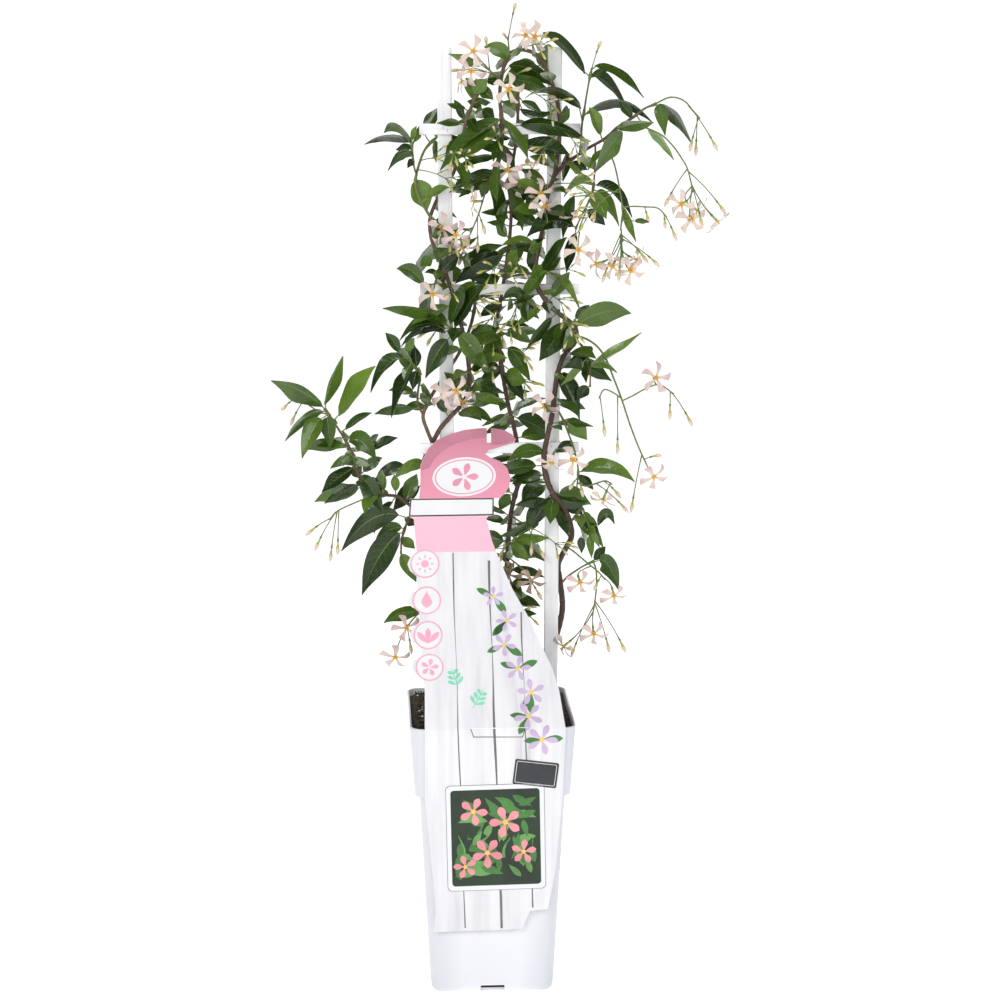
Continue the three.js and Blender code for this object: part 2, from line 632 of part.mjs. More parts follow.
    node: "green_drop_stem", parent: "upper_right_branch", radius: [0.9, 0.8],
    path: [[88, 673, -12], [92, 665, -17], [96.5, 655, -19], [99.5, 643, -20], [102, 630, -20],
      [103.5, 618, -20], [102, 603, -20]],
    leaves: [[113, 610, 124, 609, 4, -4], [104, 620, 114, 594, 6, -3, 2]],
  },
  {
    node: "right_whorl_shoot", parent: "upper_right_branch", radius: [1, 0.8],
    path: [[82, 669.5, -11.5], [82, 660, -9], [81.5, 650, -8], [81, 640, -8], [79.5, 631, -8],
      [75, 621, -8.5], [70, 611, -9], [67, 604, -9]],
    leaves: [
      [80, 638, 58, 629, 7, -6, 8], [82, 638, 111, 613, 8, -6, 7], [83, 634, 101, 606, 8, 4, 4],
      [67, 605, 29, 598, 14, -10, 9], [66, 631, 57, 597, 9, -5], [80, 632, 91, 612, 12, -5],
      [76, 619, 90, 607, 9, 4],
      [67, 602, 60, 570, 9, -7],
    ],
    blooms: [[67, 614, -10, 10, -70]],
  },
  {
    node: "right_side_shoot", parent: "right_stem", radius: [1, 0.8],
    path: [[67, 518, -3], [73, 512, -7], [77, 502, -9], [79, 491, -10], [79, 480, -10]],
    leaves: [
      [75, 512, 77, 503, 10, -4], [80, 497, 119, 523, 6, -6, -3], [79, 496, 100, 491, 6, -5, 4],
      [78, 480, 69, 470, 9, -4], [76, 506, 66, 500, 8, 4],
    ],
  },
  {
    node: "lower_right_side_shoot", parent: "right_stem", radius: [1.1, 0.8],
    path: [[50.5, 468, -7.5], [57, 456, -11], [63, 441, -13], [68, 426, -13], [70, 413, -12],
      [69, 400, -11]],
    leaves: [
      [71, 412, 115, 404, 12, -7, 8], [62, 455, 77, 438, 13, 4], [66, 436, 52, 428, 8, 5],
      [70, 410, 82, 398, 7, 5],
    ],
    blooms: [[66, 422, -12, 8, 0], [49, 420, -8, -20, -50], [43.4, 464.8, -14, -25, 5]],
    buds: [[74, 392, -10], [63, 398, -6]],
  },
  {
    node: "low_right_shoot", parent: "right_stem", radius: [1.4, 0.9],
    path: [[64, 372, -4.5], [69, 378, -9], [73, 384, -11], [76, 376, -12], [80, 366, -12]],
    leaves: [
      [72, 378, 87, 362, 9, -4], [86, 369, 99, 370, 8, -3, 9], [80, 362, 81, 343, 6, -3],
      [72, 360, 73, 347, 6, 4], [72, 384, 62, 392, 7, 5],
    ],
  },
  {
    node: "low_right_twig", parent: "right_stem", radius: [1.2, 0.8],
    path: [[57, 322, 6.5], [62, 328, 0], [69, 333, -6], [77, 338, -9], [83, 341, -10]],
    leaves: [[87, 341, 103, 316, 14, -4, 7], [83, 341, 92, 352, 7, 5]],
  },
  {
    node: "lower_middle_shoot", parent: "centre_stem", radius: [1, 0.8],
    path: [[17, 378, 4], [24, 373, -1], [30, 369, -4], [35, 367, -6]],
    leaves: [
      [34, 368, 8, 361, 7, -5], [34, 367, 36, 378, 8, -4], [30, 369, 40, 392, 7, -4],
      
    ],
    buds: [[33, 345, -5], [44, 342, -5]],
  },
];

const sprays = [
  {
    node: "spray_top_left", parent: "right_stem", radius: [0.9, 0.8],
    path: [[10, 724, -2.5], [5, 722, -8], [0, 727, -12], [-4, 731, -13]],
    leaves: [[-5, 730, -31, 739, 7, 4]],
    blooms: [[-12, 741, -6, -4, 8], [-14, 726, -5, -8, -12], [-21, 718, -2, -75, 0]],
    buds: [[-3, 753, 0], [-30, 726, 0]],
  },
  {
    node: "spray_top", parent: "right_stem", radius: [0.9, 0.7],
    path: [[15, 738, -2], [15, 744, -1], [14.5, 752, 0]],
    buds: [[20.5, 778, 1], [10, 755, -4]],
  },
  {
    node: "spray_top_centre", parent: "right_stem", radius: [0.9, 0.8],
    path: [[9, 716, -3], [10, 717, -10], [12, 716, -14]],
    leaves: [[13, 720, 47, 711, 11, -4]],
    blooms: [[15, 712, -7, 5, 2]],
    buds: [[33, 728, 3]],
  },
  {
    node: "spray_far_right", parent: "upper_right_branch", radius: [0.9, 0.7],
    path: [[128, 700.5, -16], [140, 705.5, -18], [150, 703, -20], [158, 694.5, -21], [163, 689, -22]],
    buds: [[155, 663, -3], [160, 660, 3], [177, 664, -3]],
  },
  {
    node: "spray_right_umbel", parent: "upper_right_branch", radius: [0.9, 0.7],
    path: [[105, 686, -14], [113, 684.5, -19], [124, 681, -20], [134, 676, -21], [143, 667, -22],
      [150, 657, -23], [153, 652, -23], [157, 638, -23], [158, 632, -23]],
    blooms: [[149, 623, -5, -40, -15], [157, 612, -8, 5, -10], [162, 618, 6, 60, -30],
      [178, 609, -2, 70, -45]],
    buds: [[184, 615, -2], [136, 621, 0], [166, 604, 2]],
  },
  {
    node: "spray_right_drop", parent: "green_drop_stem", radius: [0.8, 0.7],
    path: [[103.3, 621, -20], [112, 621.5, -24], [122, 621, -25], [131, 620, -25], [138, 613, -25]],
    buds: [[146, 594, -2], [137, 604, 2], [124, 608, 3]],
  },
  {
    node: "spray_right_cluster", parent: "green_drop_stem", radius: [0.8, 0.7],
    path: [[102, 605, -20], [103, 599, -24], [104, 594, -26]],
    blooms: [[96, 575, -4, -20, -25], [110, 572, -6, 15, -15], [83, 577, -2, -60, -10],
      [104, 578, 5, 10, -60], [115, 580, 6, 60, -20]],
    buds: [[124, 577, -2], [133, 574, 0], [101, 563, -2], [88, 562, 4]],
  },
  {
    node: "spray_right_middle", parent: "right_whorl_shoot", radius: [0.8, 0.7],
    path: [[76, 623, -8.5], [74, 615, -14], [70, 605, -17], [70, 600, -18]],
    blooms: [[69.5, 588, -6, 2, 4]],
    buds: [[62, 592, 2]],
  },
  {
    node: "spray_centre_left", parent: "right_stem", radius: [0.9, 0.8],
    path: [[-1, 640.5, -5], [-4, 630, -11], [-8, 617, -13], [-12, 607, -14], [-15, 600, -15]],
    blooms: [[-12, 626, -5, -80, 0], [-36, 605, -4, -15, 0], [-26, 600, -6, 10, -20],
      [-21, 590, 2, 10, -50]],
    buds: [[-24, 576, 2], [-17, 588, -6], [-9, 586, -2], [-3, 600, 0]],
  },
  {
    node: "spray_centre_top", parent: "centre_stem", radius: [0.9, 0.8],
    path: [[16, 645, 2], [18, 648, -5], [20, 652, -12], [22, 653, -16]],
    blooms: [[14, 650, -6, -10, 10], [24, 640, -8, 10, -20], [33, 650, 0, 60, 0]],
    buds: [[35, 655, -4], [11, 636, -4]],
  },
  {
    node: "spray_centre_right", parent: "right_stem", radius: [0.9, 0.8],
    path: [[43.5, 622, -6], [44, 627, -12], [46, 633, -16]],
    blooms: [[40, 632, -3, 10, -10], [43, 622, -12, 0, -35]],
    buds: [[64, 634, 0], [30, 630, 2]],
  },
  {
    node: "spray_centre", parent: "centre_stem", radius: [0.8, 0.7],
    path: [[7, 538, 2], [5, 541, -5], [3, 538, -10], [2, 533, -12]],
    buds: [[-15, 526, -2], [-9, 521, 2], [3, 500, -3], [13, 510, 0]],
  },
  {
    node: "spray_low_left", parent: "left_stem", radius: [0.9, 0.8],
    path: [[-16, 480, -5], [-19, 485, -11], [-23, 487, -15]],
    blooms: [[-35, 475, -4, -15, 0], [-26, 478, -8, 5, -10], [-21, 469, -2, 15, -40]],
    buds: [[-18, 463, -4], [-11, 470, 0]],
  },
  {
    node: "spray_right_long", parent: "right_stem", radius: [1.1, 0.8],
    path: [[68, 521, -3], [76, 518, -10], [84, 512.5, -13], [91, 503, -14], [97, 488, -15],
      [104, 470, -16], [111, 449, -16], [118, 431, -16], [124, 418, -16]],
    blooms: [[130, 408, -3, 20, -25]],
    buds: [[136, 425, 0], [112, 379, -3]],
  },
  {
    node: "spray_right_side", parent: "spray_right_long", radius: [0.8, 0.7],
    path: [[104.5, 469, -16], [113, 473, -18], [122, 478, -19], [133, 481.5, -20], [145, 474, -20]],
    blooms: [[131, 487, -6, 15, 10]],
    buds: [[142, 453, -2], [160, 448, -2]],
  },
  {
    node: "spray_right_inner", parent: "spray_right_long", radius: [0.8, 0.7],
    path: [[104, 471, -16], [98, 475, -20], [90, 478, -21], [86, 471, -22]],
    buds: [[91, 440, -2], [101, 426, -2]],
  },
  {
    node: "spray_lower_right", parent: "lower_right_side_shoot", radius: [0.9, 0.8],
    path: [[69, 404, -11], [76, 401, -17], [84, 403, -19], [92, 405, -20], [97, 402, -20]],
    blooms: [[90, 390, -5, -35, -50]],
    buds: [[104, 391, 0], [110, 379, -2]],
  },
  {
    node: "spray_low_middle", parent: "right_stem", radius: [0.9, 0.8],
    path: [[61, 352, 4], [66, 349, -5], [73, 343, -13], [80, 337, -20], [87, 331, -21], [92, 325, -21]],
    blooms: [[72, 323, -6, 10, -30], [99, 312, -5, 10, -40]],
    buds: [[83, 316, 0]],
  },
  {
    node: "spray_low_right", parent: "low_right_twig", radius: [0.9, 0.8],
    path: [[82, 340.5, -10], [84.5, 334, -16], [85, 320, -17], [83.5, 305, -17], [82, 296, -17]],
    blooms: [[83, 281, -4, 0, -30], [59, 271, -2, -60, -30]],
    buds: [[65, 262, -2], [96, 265, -2], [109, 265, 0]],
  },
  {
    node: "spray_faded", parent: "centre_stem", radius: [0.9, 0.8],
    path: [[13.5, 345, 5], [19, 341, -4], [24, 337, -9], [27, 334, -11]],
    blooms: [[15, 330, -5, -30, -20], [33, 325, -5, 10, -20]],
    buds: [[42, 309, 2]],
  },
  {
    node: "spray_bottom_left", parent: "left_stem", radius: [1, 0.8],
    path: [[-33, 300, 9.5], [-44, 303, 0], [-54, 301, -8], [-63, 292, -12], [-68, 284, -13]],
    leaves: [[-56, 300, -84, 292, 11, -6, 3]],
    blooms: [[-66, 288, -6, 0, -15], [-75, 264, -4, -10, -30]],
    buds: [[-62, 266, 0]],
  },
  {
    node: "spray_bough_end", parent: "left_bough", radius: [0.8, 0.7],
    path: [[-85, 396, -8], [-94, 394, -14], [-107, 389, -16], [-121, 382, -17], [-126, 376, -17]],
    buds: [[-145, 363, -2], [-138, 351, 2], [-126, 342, 2], [-120, 347, -2]],
  },
  {
    node: "spray_bough_top", parent: "left_bough", radius: [0.8, 0.7],
    path: [[-126, 460, -8], [-133, 462, -1], [-145, 470, 1], [-154, 473, 0]],
    buds: [[-163, 463, -2], [-156, 451, 2]],
  },
];

// Plant shapes

// How far a stem's room reaches past its own tube, where another stem forks from it.
const seatGrow = (sides) => (gap + 0.1) / Math.cos(Math.PI / sides);
const stemSides = 5;
const stalkSides = 3;
const petalCount = 5;
const bloomRadius = 12.8;
const bloomTube = 8;
const throatRadius = 1.9;
const throatLift = 0.3;
const calyxRadius = 1;
const petalThickness = 1.2;
const budLength = 12;
const ribHeight = 1;
const longLeaf = 48;
const shortLeaf = 30;
const trueLeafRatio = 0.42;
const clearance = 0.36;
const tipReach = 1.5;
const forkReach = 1.2;
const rootSpread = 1.6;
const woodSpacing = 14;
const stalkSpacing = 11;

function seededRandom(seed) {
  let state = seed >>> 0;
  return () => {
    state = (Math.imul(state, 1664525) + 1013904223) >>> 0;
    return state / 4294967296;
  };
}

// The place on a line nearest to a point as it is seen from the front, as a length from its start.
function nearestLength(line, place) {
  let best = { across: Infinity, length: 0 };
  let travelled = 0;
  for (let i = 0; i + 1 < line.length; i += 1) {
    const step = line[i + 1].clone().sub(line[i]);
    const flat = step.x * step.x + step.z * step.z;
    const along = (place.x - line[i].x) * step.x + (place.z - line[i].z) * step.z;
    const share = THREE.MathUtils.clamp(along / flat, 0, 1);
    const spot = line[i].clone().addScaledVector(step, share);
    const across = Math.hypot(spot.x - place.x, spot.z - place.z);
    if (across < best.across) best = { across, length: travelled + share * step.length() };
    travelled += step.length();
  }
  return best.length;
}

function pointAtLength(line, length) {
  let left = Math.max(0, length);
  for (let i = 0; i + 1 < line.length; i += 1) {
    const step = line[i].distanceTo(line[i + 1]);
    if (left <= step) return line[i].clone().lerp(line[i + 1], left / step);
    left -= step;
  }
  return line[line.length - 1].clone();
}

// How far along a line its distance from another line first passes the given reach.
function lengthClearOf(line, other, reach) {
  const near = new THREE.Vector3();
  let length = 0;
  for (let found = 0; found < reach; length += 0.5) {
    const place = pointAtLength(line, length);
    found = Infinity;
    for (let i = 0; i + 1 < other.length; i += 1) {
      new THREE.Line3(other[i], other[i + 1]).closestPointToPoint(place, true, near);
      found = Math.min(found, near.distanceTo(place));
    }
  }
  return length;
}

// A leaf: a thin blade, ridged along an arched rib, widest before its middle and drawn out to a
// fine tip. It is turned about its rib until its true width shows as the width that is seen.
function leafSolid(root, base, tip, widthSeen, arch, turnSide) {
  const length = base.distanceTo(tip);
  const bend = base.clone().lerp(tip, 0.5).add(new THREE.Vector3(0, 0, arch));
  const rib = new THREE.QuadraticBezierCurve3(base, bend, tip);
  const trueWidth = Math.max(widthSeen, Math.min(trueLeafRatio * length, 19));
  const roll = Math.acos(Math.min(1, widthSeen / trueWidth)) * turnSide;
  const shares = length > longLeaf ? [0.24, 0.5, 0.78] : [0.3, 0.68];
  const widths = length > longLeaf ? [0.84, 1, 0.6] : [0.95, 0.8];
  const rings = [];
  const middle = rib.getTangent(0.5);
  const across = new THREE.Vector3().crossVectors(middle, eye.clone().sub(bend)).normalize();
  across.applyAxisAngle(middle, roll);
  const section = (place, along, half, thick) => {
    const swing = new THREE.Quaternion().setFromUnitVectors(middle, along);
    const side = across.clone().applyQuaternion(swing);
    const face = new THREE.Vector3().crossVectors(side, along);
    rings.push([
      place.clone().addScaledVector(side, -half).addScaledVector(face, -thick * 0.3),
      place.clone().addScaledVector(face, thick * 0.7),
      place.clone().addScaledVector(side, half).addScaledVector(face, -thick * 0.3),
    ]);
  };
  const stalked = length > shortLeaf;
  const firstShare = stalked ? 0.06 : shares[0];
  const first = rib.getPoint(firstShare).sub(root).normalize();
  const start = rib.getTangent(firstShare);
  if (first.dot(start) < 0.3) return null;
  section(root, start, 0.45, 0.8);
  if (stalked) section(rib.getPoint(0.06), start, 0.8, ribHeight);
  shares.forEach((share, i) => {
    section(rib.getPoint(share), rib.getTangent(share), (trueWidth * widths[i]) / 2, ribHeight);
  });
  rings.push([tip]);
  return loft(rings);
}

function ringAcross(path, share, radius, sides) {
  const along = path.getTangent(share);
  const lift = Math.abs(along.y) < 0.9 ? new THREE.Vector3(0, 1, 0) : new THREE.Vector3(1, 0, 0);
  const side = new THREE.Vector3().crossVectors(along, lift).normalize();
  const face = new THREE.Vector3().crossVectors(side, along);
  const centre = path.getPoint(share);
  const ring = [];
  for (let k = 0; k < sides; k += 1) {
    const angle = (2 * Math.PI * k) / sides;
    ring.push(centre.clone()
      .addScaledVector(side, radius * Math.cos(angle))
      .addScaledVector(face, radius * Math.sin(angle)));
  }
  return ring;
}

// A bud: a slender pedicel that swells to a pointed spindle.
function budSolid(root, tip) {
  const bend = root.clone().lerp(tip, 0.55);
  bend.z += 0.12 * root.distanceTo(tip);
  const path = new THREE.QuadraticBezierCurve3(root, bend, tip);
  const swell = Math.max(0.3, 1 - budLength / root.distanceTo(tip));
  return loft([
    ringAcross(path, 0, 0.4, 3),
    ringAcross(path, swell, 0.7, 3),
    ringAcross(path, swell + (1 - swell) * 0.6, 1.5, 3),
    [tip],
  ]);
}

// A bloom: a narrow tube opening into five petals, each slanted at its end like a pinwheel's blade.
function bloomSolid(root, centre, facing, spin) {
  const right = new THREE.Vector3().crossVectors(new THREE.Vector3(0, 0, 1), facing).normalize();
  const up = new THREE.Vector3().crossVectors(facing, right);
  const place = (origin, radius, angle, lift) => origin.clone()
    .addScaledVector(right, radius * Math.sin(angle))
    .addScaledVector(up, radius * Math.cos(angle))
    .addScaledVector(facing, lift);
  const step = (2 * Math.PI) / petalCount;
  const reach = centre.clone().sub(root).dot(facing);
  if (reach < 3.5) return null;
  const back = centre.clone().addScaledVector(facing, -Math.min(bloomTube, reach - 1));
  const along = back.clone().sub(root).normalize();
  const swing = new THREE.Quaternion().setFromUnitVectors(facing, along);
  const points = [place(centre, 0, 0, throatLift)];
  for (let k = 0; k < petalCount; k += 1) {
    const angle = spin + k * step;
    points.push(
      place(centre, throatRadius, angle - step / 2, 0),
      place(centre, bloomRadius * 0.97, angle - 0.3, 0.8),
      place(centre, bloomRadius * 0.86, angle + 0.3, -0.3),
      place(centre, bloomRadius * 0.5, angle, petalThickness),
      place(back, calyxRadius, angle - step / 2, 0),
      place(centre, 0.4, angle - step / 2, 0).sub(centre).applyQuaternion(swing).add(root),
    );
  }
  const per = 6;
  const triangles = [];
  for (let k = 0; k < petalCount; k += 1) {
    const [notch, tipA, tipB, top, calyx, foot] = [1, 2, 3, 4, 5, 6].map((i) => i + k * per);
    const after = ((k + 1) % petalCount) * per;
    const [nextNotch, nextCalyx, nextFoot] = [1 + after, 5 + after, 6 + after];
    triangles.push(
      [notch, top, tipA], [tipA, top, tipB], [tipB, top, nextNotch], [nextNotch, top, 0], [0, top, notch],
      [notch, tipA, tipB], [tipB, nextNotch, notch],
      [notch, nextNotch, calyx], [nextNotch, nextCalyx, calyx],
      [calyx, nextCalyx, foot], [nextCalyx, nextFoot, foot],
    );
  }
  const feet = [0, 1, 2, 3, 4].map((k) => 6 + k * per);
  triangles.push([feet[0], feet[1], feet[2]], [feet[0], feet[2], feet[3]], [feet[0], feet[3], feet[4]]);
  return solidFrom(points, triangles);
}

// Growing the plant: stems first, then blooms, buds and leaves, each bent in depth until it is
// clear of every other node.

const nodes = new Map();

function boxOf(solid) {
  const bounds = solid.boundingBox();
  return { solid, min: bounds.min, max: bounds.max };
}

function boxesNear(a, b, reach) {
  return [0, 1, 2].every((k) => a.min[k] - reach < b.max[k] && b.min[k] - reach < a.max[k]);
}

// True where a piece keeps its distance from every other node, and with ownToo from the pieces
// that already grow on its own stem.
function isClear(solid, own, ownToo) {
  const here = boxOf(solid);
  for (const [name, node] of nodes) {
    const space = name === own ? 0.1 : clearance;
    const others = name !== own ? node.pieces : ownToo ? node.pieces.slice(1) : [];
    for (const piece of others) {
      if (!boxesNear(here, piece, space)) continue;
      if (solid.minGap(piece.solid, space * 2) < space) return false;
    }
  }
  return true;
}

function joins(solid, own) {
  return nodes.get(own).pieces[0].solid.add(solid).decompose().length === 1;
}

function addNode(name, colour, roughness, solids) {
  nodes.set(name, { colour, roughness, pieces: solids.map(boxOf) });
}

const white = 0xeef0f4;
addNode("pot", white, 0.35, [makePot()]);
addNode("trellis_post_left", white, 0.6, [makePost(-1)]);
addNode("trellis_post_right", white, 0.6, [makePost(1)]);
for (const [place, z] of Object.entries(rungZ)) {
  addNode(`trellis_rung_${place}`, white, 0.6, [makeRung(z)]);
}
addNode("plant_label", 0xf3e9ee, 0.4, [makeLabel()]);

const bark = 0x4a352b;
const leafGreen = 0x2f5a24;
const petalPink = 0xe9cfc8;
const plantings = [
  ...stems.map((row) => ({ ...row, colour: row.parent ? leafGreen : bark })),
  ...sprays.map((row) => ({ ...row, colour: petalPink })),
];

for (const row of plantings) {
  row.random = seededRandom(row.node.length * 7919 + row.node.charCodeAt(row.node.length - 1) * 131);
  const places = row.path.map(([x, z, y]) => seen(x, z, y));
  const parent = plantings.find((other) => other.node === row.parent);
  if (parent) places[0] = pointAtLength(parent.line, nearestLength(parent.line, places[0]));
  const woody = row.radius[0] > 1.15;
  const sides = row.radius[0] > 1.8 ? stemSides : woody ? 4 : stalkSides;
  const [start, end] = row.radius;
  row.line = smoothLine(places, woody ? woodSpacing : stalkSpacing);
  row.grown = tube(drawnOut(row.line, gap + 0.1), start, end, sides, seatGrow(sides));
  row.firstRoot = 0;
  let solid = tube(row.line, start, end, sides);
  if (parent) {
    row.firstRoot = lengthClearOf(row.line, parent.line, parent.radius[0] + gap + forkReach);
    const pieces = solid.subtract(parent.grown).decompose();
    solid = pieces.reduce((best, piece) => (piece.volume() > best.volume() ? piece : best));
  }
  addNode(row.node, row.colour, 0.6, [solid]);
}

function lengthOf(line) {
  return line.slice(1).reduce((sum, place, i) => sum + place.distanceTo(line[i]), 0);
}

function rootOn(row, x, z, shift) {
  const end = row.line[row.line.length - 1];
  const length = nearestLength(row.line, seen(x, z, end.y)) + shift;
  const last = lengthOf(row.line) - tipReach;
  return pointAtLength(row.line, Math.min(last, Math.max(row.firstRoot, length)));
}

const depthSteps = [0, 4, -4, 8, -8, 12, -12, 17, -17, 22, -22];
const rootShifts = [0, -4, 4, -9, 9];

// Tries each small shift of the root and each bend in depth until the piece is clear, at first
// also of its neighbours on the same stem. What finds no clear place is left off.
function grow(row, make) {
  for (const ownToo of [true, false]) {
    for (const step of depthSteps) {
      for (const shift of rootShifts) {
        const solid = make(step, shift);
        if (solid && isClear(solid, row.node, ownToo) && joins(solid, row.node)) {
          nodes.get(row.node).pieces.push(boxOf(solid));
          return;
        }
      }
    }
  }
}

for (const row of plantings) {
  let spread = 0;
  for (const [x, z, lean, turn, tilt] of row.blooms ?? []) {
    spread -= rootSpread;
    const along = spread;
    const spin = row.random() * Math.PI;
    const yaw = THREE.MathUtils.degToRad(turn);
    const pitch = THREE.MathUtils.degToRad(tilt);
    const facing = new THREE.Vector3(
      Math.sin(yaw) * Math.cos(pitch),
      -Math.cos(yaw) * Math.cos(pitch),
      Math.sin(pitch),
    );
    grow(row, (step, shift) => {
      const root = rootOn(row, x, z, shift + along);
      return bloomSolid(root, seen(x, z, root.y + lean + step), facing, spin);
    });
  }
  for (const [x, z, lean] of row.buds ?? []) {
    spread -= rootSpread;
    const along = spread;
    grow(row, (step, shift) => {
      const root = rootOn(row, x, z, shift + along);
      return budSolid(root, seen(x, z, root.y + lean + step));
    });
  }
}

// Long leaves find their place first, short ones fit in between.
const leafJobs = [];
for (const row of plantings) {
  for (const [x, z, tipX, tipZ, width, lean = -6, arch = 0] of row.leaves ?? []) {
    const turnSide = row.random() < 0.5 ? -1 : 1;
    const make = (step, shift) => {
      const root = rootOn(row, x, z, shift);
      const base = seen(x, z, root.y + lean * 0.15);
      const tip = seen(tipX, tipZ, root.y + lean + step);
      return leafSolid(root, base, tip, width, arch * 2 + 2, turnSide);
    };
    leafJobs.push({ row, make, length: Math.hypot(tipX - x, tipZ - z) });
  }
}
leafJobs.sort((a, b) => b.length - a.length);
for (const { row, make } of leafJobs) grow(row, make);

// The back and sides carry leaves by rule: in pairs along each woody stem, turned from the front.
const backLeafWidth = 13;
const backLeafArch = 6;
const backLeafStalk = 5;
const hiddenPairs = { left_stem: 3, left_twining_stem: 1, right_stem: 4, centre_stem: 4, left_bough: 1 };
for (const row of plantings) {
  const pairs = hiddenPairs[row.node] ?? 0;
  const whole = lengthOf(row.line);
  for (let i = 0; i < pairs; i += 1) {
    const height = 0.3 + (0.66 * (i + row.random() * 0.5)) / pairs;
    const turn = (row.random() - 0.5) * 1.6;
    for (const side of [-1, 1]) {
      const across = turn + side * 0.75;
      const droop = -0.2 - row.random() * 0.7;
      const length = 34 + row.random() * 14;
      const turnSide = row.random() < 0.5 ? -1 : 1;
      const heading = new THREE.Vector3(Math.sin(across), Math.cos(across), droop).normalize();
      grow(row, (step, shift) => {
        const root = pointAtLength(row.line, height * whole + shift);
        const base = root.clone().addScaledVector(heading, backLeafStalk);
        const tip = base.clone().addScaledVector(heading, length - Math.abs(step));
        tip.x += step * 0.8;
        return leafSolid(root, base, tip, backLeafWidth, backLeafArch, turnSide);
      });
    }
  }
}

// Soil last, with a plain hole for each post and each stem that stands in it
let soil = makeSoil();
for (const side of [-1, 1]) soil = soil.subtract(makePost(side, gap));
for (const row of plantings) {
  if (!row.parent) {
    const hole = row.radius[0] + seatGrow(stemSides) + 0.3;
    const sunk = drawnOut(row.line.filter((p) => p.z < rimZ + 30), gap);
    soil = soil.subtract(tube(sunk, hole, hole, 6));
  }
}
addNode("potting_soil", 0x3a2a20, 0.95, [soil]);

const plant = new THREE.Group();
for (const [name, node] of nodes) {
  let solid = node.pieces[0].solid;
  for (const piece of node.pieces.slice(1)) solid = solid.add(piece.solid);
  const material = new THREE.MeshStandardMaterial({
    color: node.colour,
    roughness: node.roughness,
    metalness: 0,
  });
  const mesh = new THREE.Mesh(geometryOf(solid), material);
  mesh.name = name;
  plant.add(mesh);
}

export default plant;
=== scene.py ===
import json
import math

import bpy
import numpy as np
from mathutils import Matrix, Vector
from mathutils.geometry import delaunay_2d_cdt
from mathutils.kdtree import KDTree

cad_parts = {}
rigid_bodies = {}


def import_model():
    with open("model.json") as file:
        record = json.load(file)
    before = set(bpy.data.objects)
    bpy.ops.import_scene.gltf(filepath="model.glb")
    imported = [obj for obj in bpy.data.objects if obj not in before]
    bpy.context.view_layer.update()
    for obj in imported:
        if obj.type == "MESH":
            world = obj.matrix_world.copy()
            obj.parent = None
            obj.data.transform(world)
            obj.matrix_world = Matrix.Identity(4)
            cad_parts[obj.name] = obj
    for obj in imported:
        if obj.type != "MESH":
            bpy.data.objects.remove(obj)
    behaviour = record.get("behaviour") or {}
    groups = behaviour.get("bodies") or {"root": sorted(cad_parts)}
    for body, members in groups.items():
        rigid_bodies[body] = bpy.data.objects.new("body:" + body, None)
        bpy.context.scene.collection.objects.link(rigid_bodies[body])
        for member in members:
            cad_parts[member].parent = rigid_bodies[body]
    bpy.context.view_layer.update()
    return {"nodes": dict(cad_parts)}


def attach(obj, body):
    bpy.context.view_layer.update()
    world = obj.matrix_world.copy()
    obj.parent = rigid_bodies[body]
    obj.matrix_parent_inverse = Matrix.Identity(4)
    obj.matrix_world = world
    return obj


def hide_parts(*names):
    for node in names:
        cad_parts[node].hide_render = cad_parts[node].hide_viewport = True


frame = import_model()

# The point of view.
# A long lens a little above the plant's top, looking slightly down and a little to the right.
# Places on the plant are given as that eye sees them, so it is worked out first. Sizes here and
# in every section are millimetres, +Z up, with the origin at the middle of the pot's base.
MM = 0.001
EYE = np.array([-111.0, -2355.5, 857.5])
EYE_PITCH = math.radians(11.2)
EYE_YAW = math.radians(2.9)
LENS_MM = 109.8
SENSOR_MM = 36.0
SIGHT_METRES = 200

camera_data = bpy.data.cameras.new("eye")
camera_data.lens = LENS_MM
camera_data.sensor_width = SENSOR_MM
camera_data.clip_end = SIGHT_METRES
camera = bpy.data.objects.new("eye", camera_data)
camera.location = EYE * MM
look = Vector((
    math.sin(EYE_YAW) * math.cos(EYE_PITCH),
    math.cos(EYE_YAW) * math.cos(EYE_PITCH),
    -math.sin(EYE_PITCH),
))
camera.rotation_euler = look.to_track_quat("-Z", "Y").to_euler()
bpy.context.scene.collection.objects.link(camera)
bpy.context.scene.camera = camera


# Pot.
# A tall square nursery pot, moulded in thin white plastic with a satin gloss. Its deep collar
# flares to the rim, its foot has a notch in each side, and its floor is open at four drain slots.
RIM_Z = 222.0
COLLAR_Z = 165.0
RIM_WIDTH = 130.0
COLLAR_FOOT_WIDTH = 122.5
BODY_TOP_WIDTH = 114.8
BASE_WIDTH = 97.0
WALL = 1.8
FLOOR_THICKNESS = 2.2
CORNER_RADIUS = 11.0
BASE_ROUND = 7.0
NOTCH_WIDTH = 19.0
NOTCH_HEIGHT = 6.0
DRAIN_WIDTH = 7.0
DRAIN_LENGTH = 26.0
DRAIN_REACH = BASE_WIDTH * 0.27
COLLAR_SLOPE = (RIM_WIDTH - COLLAR_FOOT_WIDTH) / 2 / (RIM_Z - COLLAR_Z)
LIP_ROUND = 0.9
CUTTER_DEPTH = 10.0
# The walls are painted greyer, as painted shade at the rounded corners, where |x| + |y| is past
# these reaches, in metres at the base. The reach grows by a share of the height, as the pot widens.
CORNER_PAINTED_SHADE_REACH = (0.070, 0.088)
CORNER_PAINTED_SHADE_SPREAD = 0.12


def grid_quads(rows, columns, closed=False):
    """Quads of a grid whose points run row by row; closed joins the last column to the first."""
    row, column = np.meshgrid(
        np.arange(rows - 1), np.arange(columns if closed else columns - 1), indexing="ij"
    )
    right = (column + 1) % columns
    corners = (row * columns + column, row * columns + right,
               (row + 1) * columns + right, (row + 1) * columns + column)
    return np.stack(corners, axis=-1).reshape(-1, 4)


